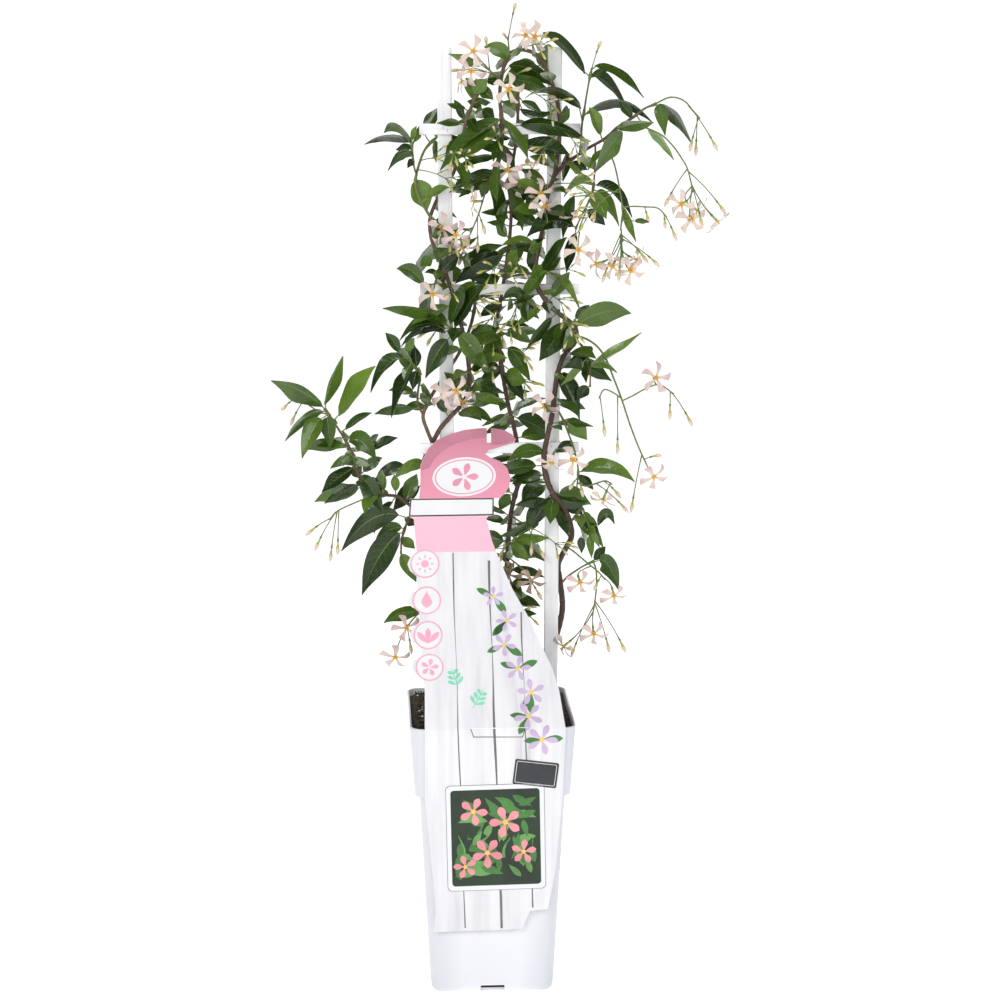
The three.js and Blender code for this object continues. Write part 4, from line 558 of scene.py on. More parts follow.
# Stems.
# A climber's wiry stems, wound round and between the posts: dark brown and woody below, with pale
# breathing pores and a slight swelling at each pair of leaves, and smooth and green at their ends.
# path: x, z as seen and depth y. leaves: base x, z, tip x, z, width as seen, lean of the tip in
# depth, arch of the rib. blooms: x, z, lean, turn and tilt of the face in degrees. buds: tip x,
# z, lean.
stems = [
    dict(node="left_stem", parent=None, radius=(2.4, 1.2),
        path=[(-26.4, 184, 15.3), (-27, 240, 14), (-34, 310, 9), (-45, 372, 6), (-52, 412, 3),
            (-51, 424, 1.5), (-46, 434, 0.5), (-42.2, 441.6, -2.4), (-38, 449, -5.5), (-31, 457, -6.4),
            (-21, 468, -6), (-16, 480, -5), (-17, 505, -5.5), (-22, 530, -9), (-28, 552, -10),
            (-31.5, 563, -10), (-35.5, 574, -8), (-41, 586, -6), (-45, 598, -1), (-46, 612, 3.5),
            (-42, 624, 6.5), (-36, 636, 7), (-27.6, 648, 6.8), (-24, 662, -3), (-21, 672, -9),
            (-19, 682, -10), (-16, 692, -9), (-11, 705, -8), (-4, 716, -7)],
        leaves=[(-51, 418, -76, 407, 9, -16, 6), (-66, 417, -90, 407, 10, -6, 3),
            (-44, 581, -53.5, 576, 9, -4), (-38, 571, -23, 585, 11, -5), (-40, 574, -35, 562, 8, -5),
            (-19, 689, -27, 704, 6, 8), (-12, 709, -1, 719, 11, -8), (-8, 712, 3, 704, 9, -10),
            (-2, 718, 8, 716, 6, -5), (-20, 674, -34, 660, 9, -8), (-20, 676, -8, 668, 9, 5),
            (-16, 690, -10, 680, 8, -6), (-11, 704, -18, 721, 9, 6)]),
    dict(node="left_twining_stem", parent="left_stem", radius=(2, 1.1),
        path=[(-44.5, 436.5, -0.5), (-48.5, 446, 1), (-52, 458, 2), (-49, 467, 4), (-43, 478, 7),
            (-31, 496, 7.5), (-22, 511, 6.5), (-13, 535, 4), (-11, 556, 3.5), (-17, 576, 0),
            (-27, 589, -7), (-34, 598, -8), (-41, 607, -7.5), (-48, 618, -5), (-53, 627, -3),
            (-57, 640, -2), (-54, 655, 0), (-49, 667, 4.5), (-41, 675, 6.5), (-33, 681, 6.5),
            (-24, 687, 5), (-15, 691, 1.5), (-6, 698, -1)],
        leaves=[(-57, 643, -48, 619, 17, 5), (-42, 673, -41, 656, 6, 8), (-51, 677, -38, 699, 9, 3),
            (-6, 697, -17, 703, 6, 4), (-5, 697, 4, 688, 9, 5), (-50, 465, -66, 466, 7, 5),
            (-15, 540, -24, 556, 8, 6)]),
    dict(node="right_stem", parent=None, radius=(2.6, 1.3),
        path=[(44, 184, 17.2), (44, 230, 16), (47, 258, 11), (53, 279, 8), (58, 303, 6.5), (56, 325, 6.5),
            (54.5, 338, 6.5), (60, 350, 5), (65, 361, 0), (63, 374, -6), (58, 385, -8), (51, 394, -9),
            (46, 405, -9), (43, 418, -9.5), (43.5, 431, -11), (46, 443, -9.5), (49, 457, -8),
            (50.5, 469, -7.5), (54, 492, -7), (59, 506, -5), (67, 516, -3), (68, 524, -3), (62, 532, -5),
            (52, 540, -8), (43, 550, -10), (37, 561, -10.5), (36, 575, -8), (39, 592, -5), (42, 608, -5),
            (43.5, 622, -6), (46.5, 635, -7), (50.4, 646, -7), (53, 663, -7), (54.5, 677, -10),
            (54.5, 688, -10), (53, 700, -8), (50, 712, -7), (46, 722, -6), (40, 733.5, -5), (33, 740, -4),
            (24, 742, -3), (17, 740, -2), (12.5, 733, -2), (9.5, 721, -2.5), (8, 706, -4), (9.5, 690, -9),
            (10, 676, -9.5), (8, 662, -8), (3, 648, -6), (-1, 640, -5)],
        leaves=[(67, 528, 111, 538, 18, -10, 5), (63, 531, 39, 501, 18, -12), (44, 549, 47, 538, 8, -6),
            (54, 491, 71, 454, 13, -8, 6), (43, 428, 15, 422, 11, -8, 4), (42, 410, 17, 408, 9, 6),
            (51, 393, 78, 389, 9, -8, -4), (50, 392, 32, 368, 11, -8), (50, 388, 63, 360, 8, -8),
            (46, 390, 20, 386, 8, 6), (50, 389, 48, 371, 12, -4), (16, 735, -4, 744, 11, -7, 2),
            (36, 738, 50, 722, 12, 7, 3), (14, 730, 50, 714, 13, -10, 3), (10, 690, -38, 650, 14, -10, 4),
            (9, 682, -28, 657, 11, -12, 2), (22, 684, 76, 672, 12, -14, 4), (11, 690, 30, 659, 9, -9),
            (55, 685, 62, 697, 7, 6), (4, 650, -31, 633, 8, -6), (2, 646, 10, 601, 11, -10),
            (-1, 641, -6, 629, 8, 4), (8, 668, 20, 652, 9, 6), (39, 592, 30, 575, 9, 6),
            (58, 388, 74, 378, 9, 7)],
        blooms=[(35, 752, -8, 8, 12), (28, 753, 5, -30, 20)]),
    dict(node="centre_stem", parent=None, radius=(2.3, 1.1),
        path=[(10, 184, 11.2), (10, 240, 10), (13, 320, 6), (17, 380, 4), (24, 412, 3), (21, 440, 3),
            (14, 470, 2), (9, 500, 1.5), (6, 530, 2), (10, 556, 3), (15, 590, 3), (17, 620, 2),
            (15, 640, 2), (18, 655, 2.5), (21, 675, 3.5), (22, 690, 3.5), (22, 705, 3), (24, 720, 3),
            (26.5, 731, 2.5)],
        leaves=[(14, 526, 33, 515, 9, -8), (14, 512, 32, 485, 12, -10, 3), (11, 492, 27, 469, 10, -9),
            (10, 495, -8, 484, 9, 6), (12, 584, -27, 562, 15, -12, 4), (12, 500, -3, 515, 9, 7),
            (24, 670, 62, 662, 14, -14), (24, 684, 28, 667, 8, -7), (16, 639, 26, 603, 10, -8),
            (25, 703, 41, 693, 6, -6), (24, 697, 51, 697, 6, -8, -7), (21, 700, 15, 715, 8, 6),
            (17, 622, 33, 640, 9, 7), (12, 575, 28, 590, 9, 7), (15, 355, 31, 341, 10, -9),
            (16, 395, 8, 382, 9, 5), (10, 545, -8, 536, 8, -6), (9, 520, -6, 506, 9, -8)]),
    dict(node="centre_right_twig", parent="centre_stem", radius=(1, 0.8),
        path=[(9, 549, 2.5), (15, 549, -3), (22, 549.5, -7), (29, 548.5, -9), (33, 548, -10)],
        leaves=[(28, 551, 10, 549, 8, -4, 4), (30, 548, 25, 536, 8, -4)],
        buds=[(42, 541, -6)]),
    dict(node="middle_cross_shoot", parent="centre_stem", radius=(1.2, 0.9),
        path=[(12, 567, 3), (19, 568, 2), (27, 569, 0.5), (36, 569.5, -2), (43, 570, -6.5)],
        leaves=[(43, 570, 71, 541, 6, -8, 6), (40, 571, 56, 582, 10, -7), (41, 571, 60, 598, 9, -9),
            (36, 570, 30, 586, 8, 5)]),
    dict(node="upper_left_shoot", parent="left_twining_stem", radius=(1.1, 0.8),
        path=[(-56.5, 646, -1.5), (-58, 653, -5), (-59, 662, -6.5), (-59.5, 672, -7)],
        leaves=[(-60, 672, -81, 679, 7, -6, 7), (-60, 671, -96, 670, 6, -4, 4),
            (-60, 667, -72, 666, 6, -5), (-59, 661, -78, 650, 7, -6, 6), (-58, 658, -63, 652, 5, -4),
            (-58, 672, -52, 685, 5, 4), (-60, 673, -56, 684, 4, -5)]),
    dict(node="left_flower_twig", parent="left_stem", radius=(1, 0.8),
        path=[(-34, 570, -8.5), (-38, 565, -13), (-43, 562, -15), (-50, 562, -15)],
        leaves=[(-51, 562, -72, 574, 11, -3, 3)],
        blooms=[(-44, 554, -6, -6, 8)]),
    dict(node="left_whorl_shoot", parent="left_stem", radius=(1.3, 1),
        path=[(-17, 505, -5.5), (-20, 514, -9), (-25, 522, -12), (-31, 528, -14)],
        leaves=[(-31, 529, -18, 561, 10, -8, 2), (-28, 526, -3, 562, 12, -12, 2),
            (-25, 523, -1, 492, 15, -10, 4), (-32, 519, -50, 488, 14, -8, 3),
            (-33, 526, -70, 518, 8, -6, 8), (-33, 523, -69, 513, 8, 4, 8),
            (-33, 529, -83, 543, 10, -8, 4), (-33, 530, -58, 542, 8, 5, 3)]),
    dict(node="middle_left_twig", parent="left_twining_stem", radius=(1.3, 0.9),
        path=[(-52.5, 459, 2), (-56, 468, 3), (-55.5, 480, 3), (-54, 489, 2), (-58, 497, 0),
            (-63, 503, -2), (-69, 508, -3)],
        leaves=[(-70, 509, -81, 524, 8, -5), (-66, 504, -93, 477, 9, -6, 8),
            (-59, 497, -77, 457, 9, -8, 5), (-57, 494, -60, 479, 8, -5), (-57, 497, -58, 513, 8, 5)]),
    dict(node="left_bough", parent="left_stem", radius=(1.9, 1),
        path=[(-45, 372, 6), (-52, 376, 2), (-59, 383, -3), (-65, 389, -5), (-72, 394, -6),
            (-85, 396, -8), (-97, 402, -10), (-104, 414, -10), (-107, 427, -9), (-112, 437, -8),
            (-118, 448, -8), (-124, 457, -8), (-129, 465, -8)],
        leaves=[(-129, 465, -170.5, 487, 13, -7, 3), (-129, 466, -114, 506, 8, -5, 2),
            (-119, 457, -89, 498, 13, -8, 3), (-129, 462, -160, 439, 8, -7, 6),
            (-131, 457, -147, 425, 14, -6, 5), (-127, 458, -125, 432, 12, -7, 4),
            (-112, 434, -136, 435, 7, -5), (-110, 438, -89, 423, 15, -7, 7), (-92, 432, -72, 441, 7, -6),
            (-96, 434, -87, 444, 5, -5), (-107, 426, -125, 417, 7, -6), (-106, 418, -132, 398, 11, -8),
            (-102, 404, -130, 389, 9, -6), (-103, 411, -84, 380, 14, -9, 3), (-66, 391, -57, 412, 11, 5),
            (-86, 397, -92, 410, 8, 7)]),
    dict(node="lower_left_shoot", parent="left_bough", radius=(1.3, 0.9),
        path=[(-59, 383, -3), (-63, 377, -8), (-67, 368, -10), (-69.5, 358, -10), (-70, 348, -10)],
        leaves=[(-70, 379, -117, 350.6, 17, -8, 9), (-70, 366, -101, 315, 20, -8, 4),
            (-69, 369, -91, 356, 10, 5, 3), (-67, 376, -57, 371, 8, 3), (-70, 360, -59, 352, 8, 4),
            (-70, 348, -58, 325, 11, -3)]),
    dict(node="upper_right_branch", parent="right_stem", radius=(1.9, 1),
        path=[(50, 645, -7), (57, 653, -10), (68, 661, -11), (78, 667.5, -11), (88, 673, -12),
            (100, 683, -13), (112, 691, -14), (120, 697, -15), (129, 701, -16)],
        leaves=[(62, 653, 76, 650, 8, -5), (60, 663, 57, 641, 7, 6), (98, 681, 127, 686, 9, -5),
            (104, 679, 82, 648, 13, -6, 3), (130, 700, 136, 676, 10, -3, 3),
            (130, 700, 157, 669, 8, -7, 6), (122, 681, 143, 657, 6, -5, 3), (110, 690, 100, 702, 7, 6)]),
    dict(node="top_right_shoot", parent="upper_right_branch", radius=(1.3, 0.8),
        path=[(70, 662, -11), (71, 672, -10), (71.5, 684, -8), (73.5, 697, -6), (75.5, 710, -6),
            (77.5, 721, -6), (79, 728, -6)],
        leaves=[(72, 695, 28, 705, 7, -8, 11), (75, 722, 41, 755, 9, -6, 5),
            (80, 729, 119, 705, 7, -6, 8), (79, 723, 109, 689, 7, 5, 6), (78, 721, 92, 726, 5, -8),
            (73, 691, 126, 686, 7, -6, 13)],
        buds=[(86, 749, 2)]),
    dict(node="green_drop_stem", parent="upper_right_branch", radius=(0.9, 0.8),
        path=[(88, 673, -12), (92, 665, -17), (96.5, 655, -19), (99.5, 643, -20), (102, 630, -20),
            (103.5, 618, -20), (102, 603, -20)],
        leaves=[(113, 610, 124, 609, 4, -4), (104, 620, 114, 594, 6, -3, 2)]),
    dict(node="right_whorl_shoot", parent="upper_right_branch", radius=(1, 0.8),
        path=[(82, 669.5, -11.5), (82, 660, -9), (81.5, 650, -8), (81, 640, -8), (79.5, 631, -8),
            (75, 621, -8.5), (70, 611, -9), (67, 604, -9)],
        leaves=[(80, 638, 58, 629, 7, -6, 8), (82, 638, 111, 613, 8, -6, 7), (83, 634, 101, 606, 8, 4, 4),
            (67, 605, 29, 598, 14, -10, 9), (66, 631, 57, 597, 9, -5), (80, 632, 91, 612, 12, -5),
            (76, 619, 90, 607, 9, 4), (67, 602, 60, 570, 9, -7)],
        blooms=[(67, 614, -10, 10, -70)]),
    dict(node="right_side_shoot", parent="right_stem", radius=(1, 0.8),
        path=[(67, 518, -3), (73, 512, -7), (77, 502, -9), (79, 491, -10), (79, 480, -10)],
        leaves=[(75, 512, 77, 503, 10, -4), (80, 497, 119, 523, 6, -6, -3), (79, 496, 100, 491, 6, -5, 4),
            (78, 480, 69, 470, 9, -4), (76, 506, 66, 500, 8, 4)]),
    dict(node="lower_right_side_shoot", parent="right_stem", radius=(1.1, 0.8),
        path=[(50.5, 468, -7.5), (57, 456, -11), (63, 441, -13), (68, 426, -13), (70, 413, -12),
            (69, 400, -11)],
        leaves=[(71, 412, 115, 404, 12, -7, 8), (62, 455, 77, 438, 13, 4), (66, 436, 52, 428, 8, 5),
            (70, 410, 82, 398, 7, 5)],
        blooms=[(66, 422, -12, 8, 0), (49, 420, -8, -20, -50), (43.4, 464.8, -14, -25, 5)],
        buds=[(74, 392, -10), (63, 398, -6)]),
    dict(node="low_right_shoot", parent="right_stem", radius=(1.4, 0.9),
        path=[(64, 372, -4.5), (69, 378, -9), (73, 384, -11), (76, 376, -12), (80, 366, -12)],
        leaves=[(72, 378, 87, 362, 9, -4), (86, 369, 99, 370, 8, -3, 9), (80, 362, 81, 343, 6, -3),
            (72, 360, 73, 347, 6, 4), (72, 384, 62, 392, 7, 5)]),
    dict(node="low_right_twig", parent="right_stem", radius=(1.2, 0.8),
        path=[(57, 322, 6.5), (62, 328, 0), (69, 333, -6), (77, 338, -9), (83, 341, -10)],
        leaves=[(87, 341, 103, 316, 14, -4, 7), (83, 341, 92, 352, 7, 5)]),
    dict(node="lower_middle_shoot", parent="centre_stem", radius=(1, 0.8),
        path=[(17, 378, 4), (24, 373, -1), (30, 369, -4), (35, 367, -6)],
        leaves=[(34, 368, 8, 361, 7, -5), (34, 367, 36, 378, 8, -4), (30, 369, 40, 392, 7, -4)],
        buds=[(33, 345, -5), (44, 342, -5)]),
]

# Sprays: stalks that carry the blooms and buds, in rows of the same form.
sprays = [
    dict(node="spray_top_left", parent="right_stem", radius=(0.9, 0.8),
        path=[(10, 724, -2.5), (5, 722, -8), (0, 727, -12), (-4, 731, -13)],
        leaves=[(-5, 730, -31, 739, 7, 4)],
        blooms=[(-12, 741, -6, -4, 8), (-14, 726, -5, -8, -12), (-21, 718, -2, -75, 0)],
        buds=[(-3, 753, 0), (-30, 726, 0)]),
    dict(node="spray_top", parent="right_stem", radius=(0.9, 0.7),
        path=[(15, 738, -2), (15, 744, -1), (14.5, 752, 0)],
        buds=[(20.5, 778, 1), (10, 755, -4)]),
    dict(node="spray_top_centre", parent="right_stem", radius=(0.9, 0.8),
        path=[(9, 716, -3), (10, 717, -10), (12, 716, -14)],
        leaves=[(13, 720, 47, 711, 11, -4)],
        blooms=[(15, 712, -7, 5, 2)],
        buds=[(33, 728, 3)]),
    dict(node="spray_far_right", parent="upper_right_branch", radius=(0.9, 0.7),
        path=[(128, 700.5, -16), (140, 705.5, -18), (150, 703, -20), (158, 694.5, -21), (163, 689, -22)],
        buds=[(155, 663, -3), (160, 660, 3), (177, 664, -3)]),
    dict(node="spray_right_umbel", parent="upper_right_branch", radius=(0.9, 0.7),
        path=[(105, 686, -14), (113, 684.5, -19), (124, 681, -20), (134, 676, -21), (143, 667, -22),
            (150, 657, -23), (153, 652, -23), (157, 638, -23), (158, 632, -23)],
        blooms=[(149, 623, -5, -40, -15), (157, 612, -8, 5, -10), (162, 618, 6, 60, -30),
            (178, 609, -2, 70, -45)],
        buds=[(184, 615, -2), (136, 621, 0), (166, 604, 2)]),
    dict(node="spray_right_drop", parent="green_drop_stem", radius=(0.8, 0.7),
        path=[(103.3, 621, -20), (112, 621.5, -24), (122, 621, -25), (131, 620, -25), (138, 613, -25)],
        buds=[(146, 594, -2), (137, 604, 2), (124, 608, 3)]),
    dict(node="spray_right_cluster", parent="green_drop_stem", radius=(0.8, 0.7),
        path=[(102, 605, -20), (103, 599, -24), (104, 594, -26)],
        blooms=[(96, 575, -4, -20, -25), (110, 572, -6, 15, -15), (83, 577, -2, -60, -10),
            (104, 578, 5, 10, -60), (115, 580, 6, 60, -20)],
        buds=[(124, 577, -2), (133, 574, 0), (101, 563, -2), (88, 562, 4)]),
    dict(node="spray_right_middle", parent="right_whorl_shoot", radius=(0.8, 0.7),
        path=[(76, 623, -8.5), (74, 615, -14), (70, 605, -17), (70, 600, -18)],
        blooms=[(69.5, 588, -6, 2, 4)],
        buds=[(62, 592, 2)]),
    dict(node="spray_centre_left", parent="right_stem", radius=(0.9, 0.8),
        path=[(-1, 640.5, -5), (-4, 630, -11), (-8, 617, -13), (-12, 607, -14), (-15, 600, -15)],
        blooms=[(-12, 626, -5, -80, 0), (-36, 605, -4, -15, 0), (-26, 600, -6, 10, -20),
            (-21, 590, 2, 10, -50)],
        buds=[(-24, 576, 2), (-17, 588, -6), (-9, 586, -2), (-3, 600, 0)]),
    dict(node="spray_centre_top", parent="centre_stem", radius=(0.9, 0.8),
        path=[(16, 645, 2), (18, 648, -5), (20, 652, -12), (22, 653, -16)],
        blooms=[(14, 650, -6, -10, 10), (24, 640, -8, 10, -20), (33, 650, 0, 60, 0)],
        buds=[(35, 655, -4), (11, 636, -4)]),
    dict(node="spray_centre_right", parent="right_stem", radius=(0.9, 0.8),
        path=[(43.5, 622, -6), (44, 627, -12), (46, 633, -16)],
        blooms=[(40, 632, -3, 10, -10), (43, 622, -12, 0, -35)],
        buds=[(64, 634, 0), (30, 630, 2)]),
    dict(node="spray_centre", parent="centre_stem", radius=(0.8, 0.7),
        path=[(7, 538, 2), (5, 541, -5), (3, 538, -10), (2, 533, -12)],
        buds=[(-15, 526, -2), (-9, 521, 2), (3, 500, -3), (13, 510, 0)]),
    dict(node="spray_low_left", parent="left_stem", radius=(0.9, 0.8),
        path=[(-16, 480, -5), (-19, 485, -11), (-23, 487, -15)],
        blooms=[(-35, 475, -4, -15, 0), (-26, 478, -8, 5, -10), (-21, 469, -2, 15, -40)],
        buds=[(-18, 463, -4), (-11, 470, 0)]),
    dict(node="spray_right_long", parent="right_stem", radius=(1.1, 0.8),
        path=[(68, 521, -3), (76, 518, -10), (84, 512.5, -13), (91, 503, -14), (97, 488, -15),
            (104, 470, -16), (111, 449, -16), (118, 431, -16), (124, 418, -16)],
        blooms=[(130, 408, -3, 20, -25)],
        buds=[(136, 425, 0), (112, 379, -3)]),
    dict(node="spray_right_side", parent="spray_right_long", radius=(0.8, 0.7),
        path=[(104.5, 469, -16), (113, 473, -18), (122, 478, -19), (133, 481.5, -20), (145, 474, -20)],
        blooms=[(131, 487, -6, 15, 10)],
        buds=[(142, 453, -2), (160, 448, -2)]),
    dict(node="spray_right_inner", parent="spray_right_long", radius=(0.8, 0.7),
        path=[(104, 471, -16), (98, 475, -20), (90, 478, -21), (86, 471, -22)],
        buds=[(91, 440, -2), (101, 426, -2)]),
    dict(node="spray_lower_right", parent="lower_right_side_shoot", radius=(0.9, 0.8),
        path=[(69, 404, -11), (76, 401, -17), (84, 403, -19), (92, 405, -20), (97, 402, -20)],
        blooms=[(90, 390, -5, -35, -50)],
        buds=[(104, 391, 0), (110, 379, -2)]),
    dict(node="spray_low_middle", parent="right_stem", radius=(0.9, 0.8),
        path=[(61, 352, 4), (66, 349, -5), (73, 343, -13), (80, 337, -20), (87, 331, -21),
            (92, 325, -21)],
        blooms=[(72, 323, -6, 10, -30), (99, 312, -5, 10, -40)],
        buds=[(83, 316, 0)]),
    dict(node="spray_low_right", parent="low_right_twig", radius=(0.9, 0.8),
        path=[(82, 340.5, -10), (84.5, 334, -16), (85, 320, -17), (83.5, 305, -17), (82, 296, -17)],
        blooms=[(83, 281, -4, 0, -30), (59, 271, -2, -60, -30)],
        buds=[(65, 262, -2), (96, 265, -2), (109, 265, 0)]),
    dict(node="spray_faded", parent="centre_stem", radius=(0.9, 0.8),
        path=[(13.5, 345, 5), (19, 341, -4), (24, 337, -9), (27, 334, -11)],
        blooms=[(15, 330, -5, -30, -20), (33, 325, -5, 10, -20)],
        buds=[(42, 309, 2)]),
    dict(node="spray_bottom_left", parent="left_stem", radius=(1, 0.8),
        path=[(-33, 300, 9.5), (-44, 303, 0), (-54, 301, -8), (-63, 292, -12), (-68, 284, -13)],
        leaves=[(-56, 300, -84, 292, 11, -6, 3)],
        blooms=[(-66, 288, -6, 0, -15), (-75, 264, -4, -10, -30)],
        buds=[(-62, 266, 0)]),
    dict(node="spray_bough_end", parent="left_bough", radius=(0.8, 0.7),
        path=[(-85, 396, -8), (-94, 394, -14), (-107, 389, -16), (-121, 382, -17), (-126, 376, -17)],
        buds=[(-145, 363, -2), (-138, 351, 2), (-126, 342, 2), (-120, 347, -2)]),
    dict(node="spray_bough_top", parent="left_bough", radius=(0.8, 0.7),
        path=[(-126, 460, -8), (-133, 462, -1), (-145, 470, 1), (-154, 473, 0)],
        buds=[(-163, 463, -2), (-156, 451, 2)]),
]
STALK_RADIUS = 1.15
STEM_SPACING = 14.0
STALK_SPACING = 11.0
STEM_REACH = 1.5
FINE_SPACING = 2.6
STEM_SIDES = 10
LEAF_NODE_SWELL = 0.32
LEAF_NODE_LENGTH = 2.2
MATCH_MM = 0.03
PIECE_GAP = 0.3
ROOT_ROOM = 1.2
DEPTH_STEPS = (0, 4, -4, 8, -8, 12, -12, 17, -17, 22, -22)
ROOT_SHIFTS = (0, -4, 4, -9, 9)
SHOOT_SLIMMING = 0.76
BROWN_SHOOTS = ("lower_left_shoot", "upper_right_branch", "right_side_shoot", "left_bough",
                "left_whorl_shoot")


def seen(x, z, depth):
    """Where the line of sight through (x, 0, z) on the trellis plane meets the given depth."""
    share = (np.asarray(depth, float) - EYE[1]) / -EYE[1]
    return np.stack([EYE[0] + (x - EYE[0]) * share, np.broadcast_to(depth, share.shape),
                     EYE[2] + (z - EYE[2]) * share], axis=-1)


def unit(vector):
    return vector / np.linalg.norm(vector, axis=-1, keepdims=True)


def curve_point(places, share):
    """A point of the centripetal Catmull-Rom curve through the places: a cubic between two
    neighbours whose tangents come from the square roots of the distances around them."""
    last = len(places) - 1
    at = last * share
    span = min(int(math.floor(at)), last - 1)
    weight = at - span
    x1, x2 = places[span], places[span + 1]
    x0 = places[span - 1] if span > 0 else 2 * x1 - x2
    x3 = places[span + 2] if span + 2 <= last else 2 * x2 - x1
    pairs = ((x0, x1), (x1, x2), (x2, x3))
    d0, d1, d2 = (max(math.sqrt(np.linalg.norm(b - a)), 1e-4) for a, b in pairs)
    t1 = ((x1 - x0) / d0 - (x2 - x0) / (d0 + d1) + (x2 - x1) / d1) * d1
    t2 = ((x2 - x1) / d1 - (x3 - x1) / (d1 + d2) + (x3 - x2) / d2) * d1
    cubic = 2 * x1 - 2 * x2 + t1 + t2
    square = -3 * x1 + 3 * x2 - 2 * t1 - t2
    return x1 + t1 * weight + square * weight ** 2 + cubic * weight ** 3


def smooth_line(places, spacing):
    """The curve through the places, cut evenly between each two of them."""
    spans = len(places) - 1
    line = []
    for i in range(spans):
        cuts = max(1, int(math.floor(np.linalg.norm(places[i + 1] - places[i]) / spacing + 0.5)))
        line += [curve_point(places, (i + k / cuts) / spans) for k in range(cuts)]
    return np.array([*line, places[-1]])


def lengths_along(line):
    return np.concatenate([[0], np.cumsum(np.linalg.norm(np.diff(line, axis=0), axis=1))])


def point_at_length(line, length):
    """The point a given length along a line of straight pieces, held inside its two ends."""
    gone = lengths_along(line)
    return np.stack([np.interp(np.maximum(length, 0), gone, line[:, k]) for k in range(3)], axis=-1)


def nearest_length(line, place):
    """The length at which a line passes nearest to a place, as both are seen from the front."""
    start, step = line[:-1], np.diff(line, axis=0)
    flat = (step[:, [0, 2]] ** 2).sum(1)
    share = np.clip(((place[[0, 2]] - start[:, [0, 2]]) * step[:, [0, 2]]).sum(1) / flat, 0, 1)
    spot = start + step * share[:, None]
    nearest = np.argmin(np.hypot(spot[:, 0] - place[0], spot[:, 2] - place[2]))
    return lengths_along(line)[nearest] + share[nearest] * np.linalg.norm(step[nearest])


def length_clear_of(line, other, reach):
    """The length past which a line is further than reach from another line, in half millimetres."""
    start, step = other[:-1], np.diff(other, axis=0)
    length, found = 0.0, 0.0
    while found < reach:
        place = point_at_length(line, length)
        share = np.clip(((place - start) * step).sum(1) / (step ** 2).sum(1), 0, 1)
        found = np.linalg.norm(start + step * share[:, None] - place, axis=1).min()
        length += 0.5
    return length


def seeded(row):
    """The row's own stream of even random numbers: a linear congruential generator."""
    state = [len(row["node"]) * 7919 + ord(row["node"][-1]) * 131]

    def draw():
        state[0] = (state[0] * 1664525 + 1013904223) % 4294967296
        return state[0] / 4294967296
    return draw


def tube(line, radius, sides):
    """A closed tube: a ring about each point of a line, carried along it without twist. radius
    holds one value per point, or one per point and side. Returns points, faces, and (turn round
    the tube, length along it) per point."""
    tangent = unit(np.gradient(line, axis=0))
    side = np.array([0, 1.0, 0]) if abs(tangent[0][1]) < 0.8 else np.array([1.0, 0, 0])
    across = np.empty_like(tangent)
    for i, along in enumerate(tangent):
        side = side - along * (side @ along)
        side = side / np.linalg.norm(side)
        across[i] = side
    other = np.cross(tangent, across)
    angle = np.arange(sides) * 2 * np.pi / sides
    ring = across[:, None] * np.cos(angle)[None, :, None] + other[:, None] * np.sin(angle)[None, :, None]
    if radius.ndim == 1:
        radius = radius[:, None]
    points, faces = skin_over(line[:, None] + ring * radius[..., None])
    gone = lengths_along(line)
    turn = np.minimum(np.arange(sides), sides - np.arange(sides)) * 2 / sides
    uv = np.stack(np.broadcast_arrays(turn[None, :], gone[:, None]), axis=-1).reshape(-1, 2)
    return points, faces, np.concatenate([uv, [[0.5, gone[0]], [0.5, gone[-1]]]])


def dress_stem(row, ending, parts, material, marks, sharp):
    """Puts parts of one kind, (points, faces, uv, one value per mark), in the scene as one piece
    that replaces the stem's own solid together with the others of its row."""
    points, faces, uv, *values = joined(parts)
    piece = put_in_scene(f"{row['node']}.{ending}", points, faces, material, uv=uv,
                         marks=dict(zip(marks, values)), sharp=sharp)
    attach(piece, "root")
    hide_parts(row["node"])


plantings = stems + sprays
by_name = {row["node"]: row for row in plantings}
for row in plantings:
    row["draw"] = seeded(row)
    places = [seen(x, z, y) for x, z, y in row["path"]]
    parent = by_name.get(row["parent"])
    if parent:
        places[0] = point_at_length(parent["line"], nearest_length(parent["line"], places[0]))
    woody = row["radius"][0] > STALK_RADIUS
    row["line"] = smooth_line(places, STEM_SPACING if woody else STALK_SPACING)
    row["fine_line"] = smooth_line(places, FINE_SPACING)
    row["first_root"] = 0.0
    if parent:
        fork = parent["radius"][0] + PIECE_GAP + ROOT_ROOM
        row["first_root"] = length_clear_of(row["line"], parent["line"], fork)
    corner = np.empty(len(frame["nodes"][row["node"]].data.vertices) * 3)
    frame["nodes"][row["node"]].data.vertices.foreach_get("co", corner)
    row["corners"] = corner.reshape(-1, 3) / MM


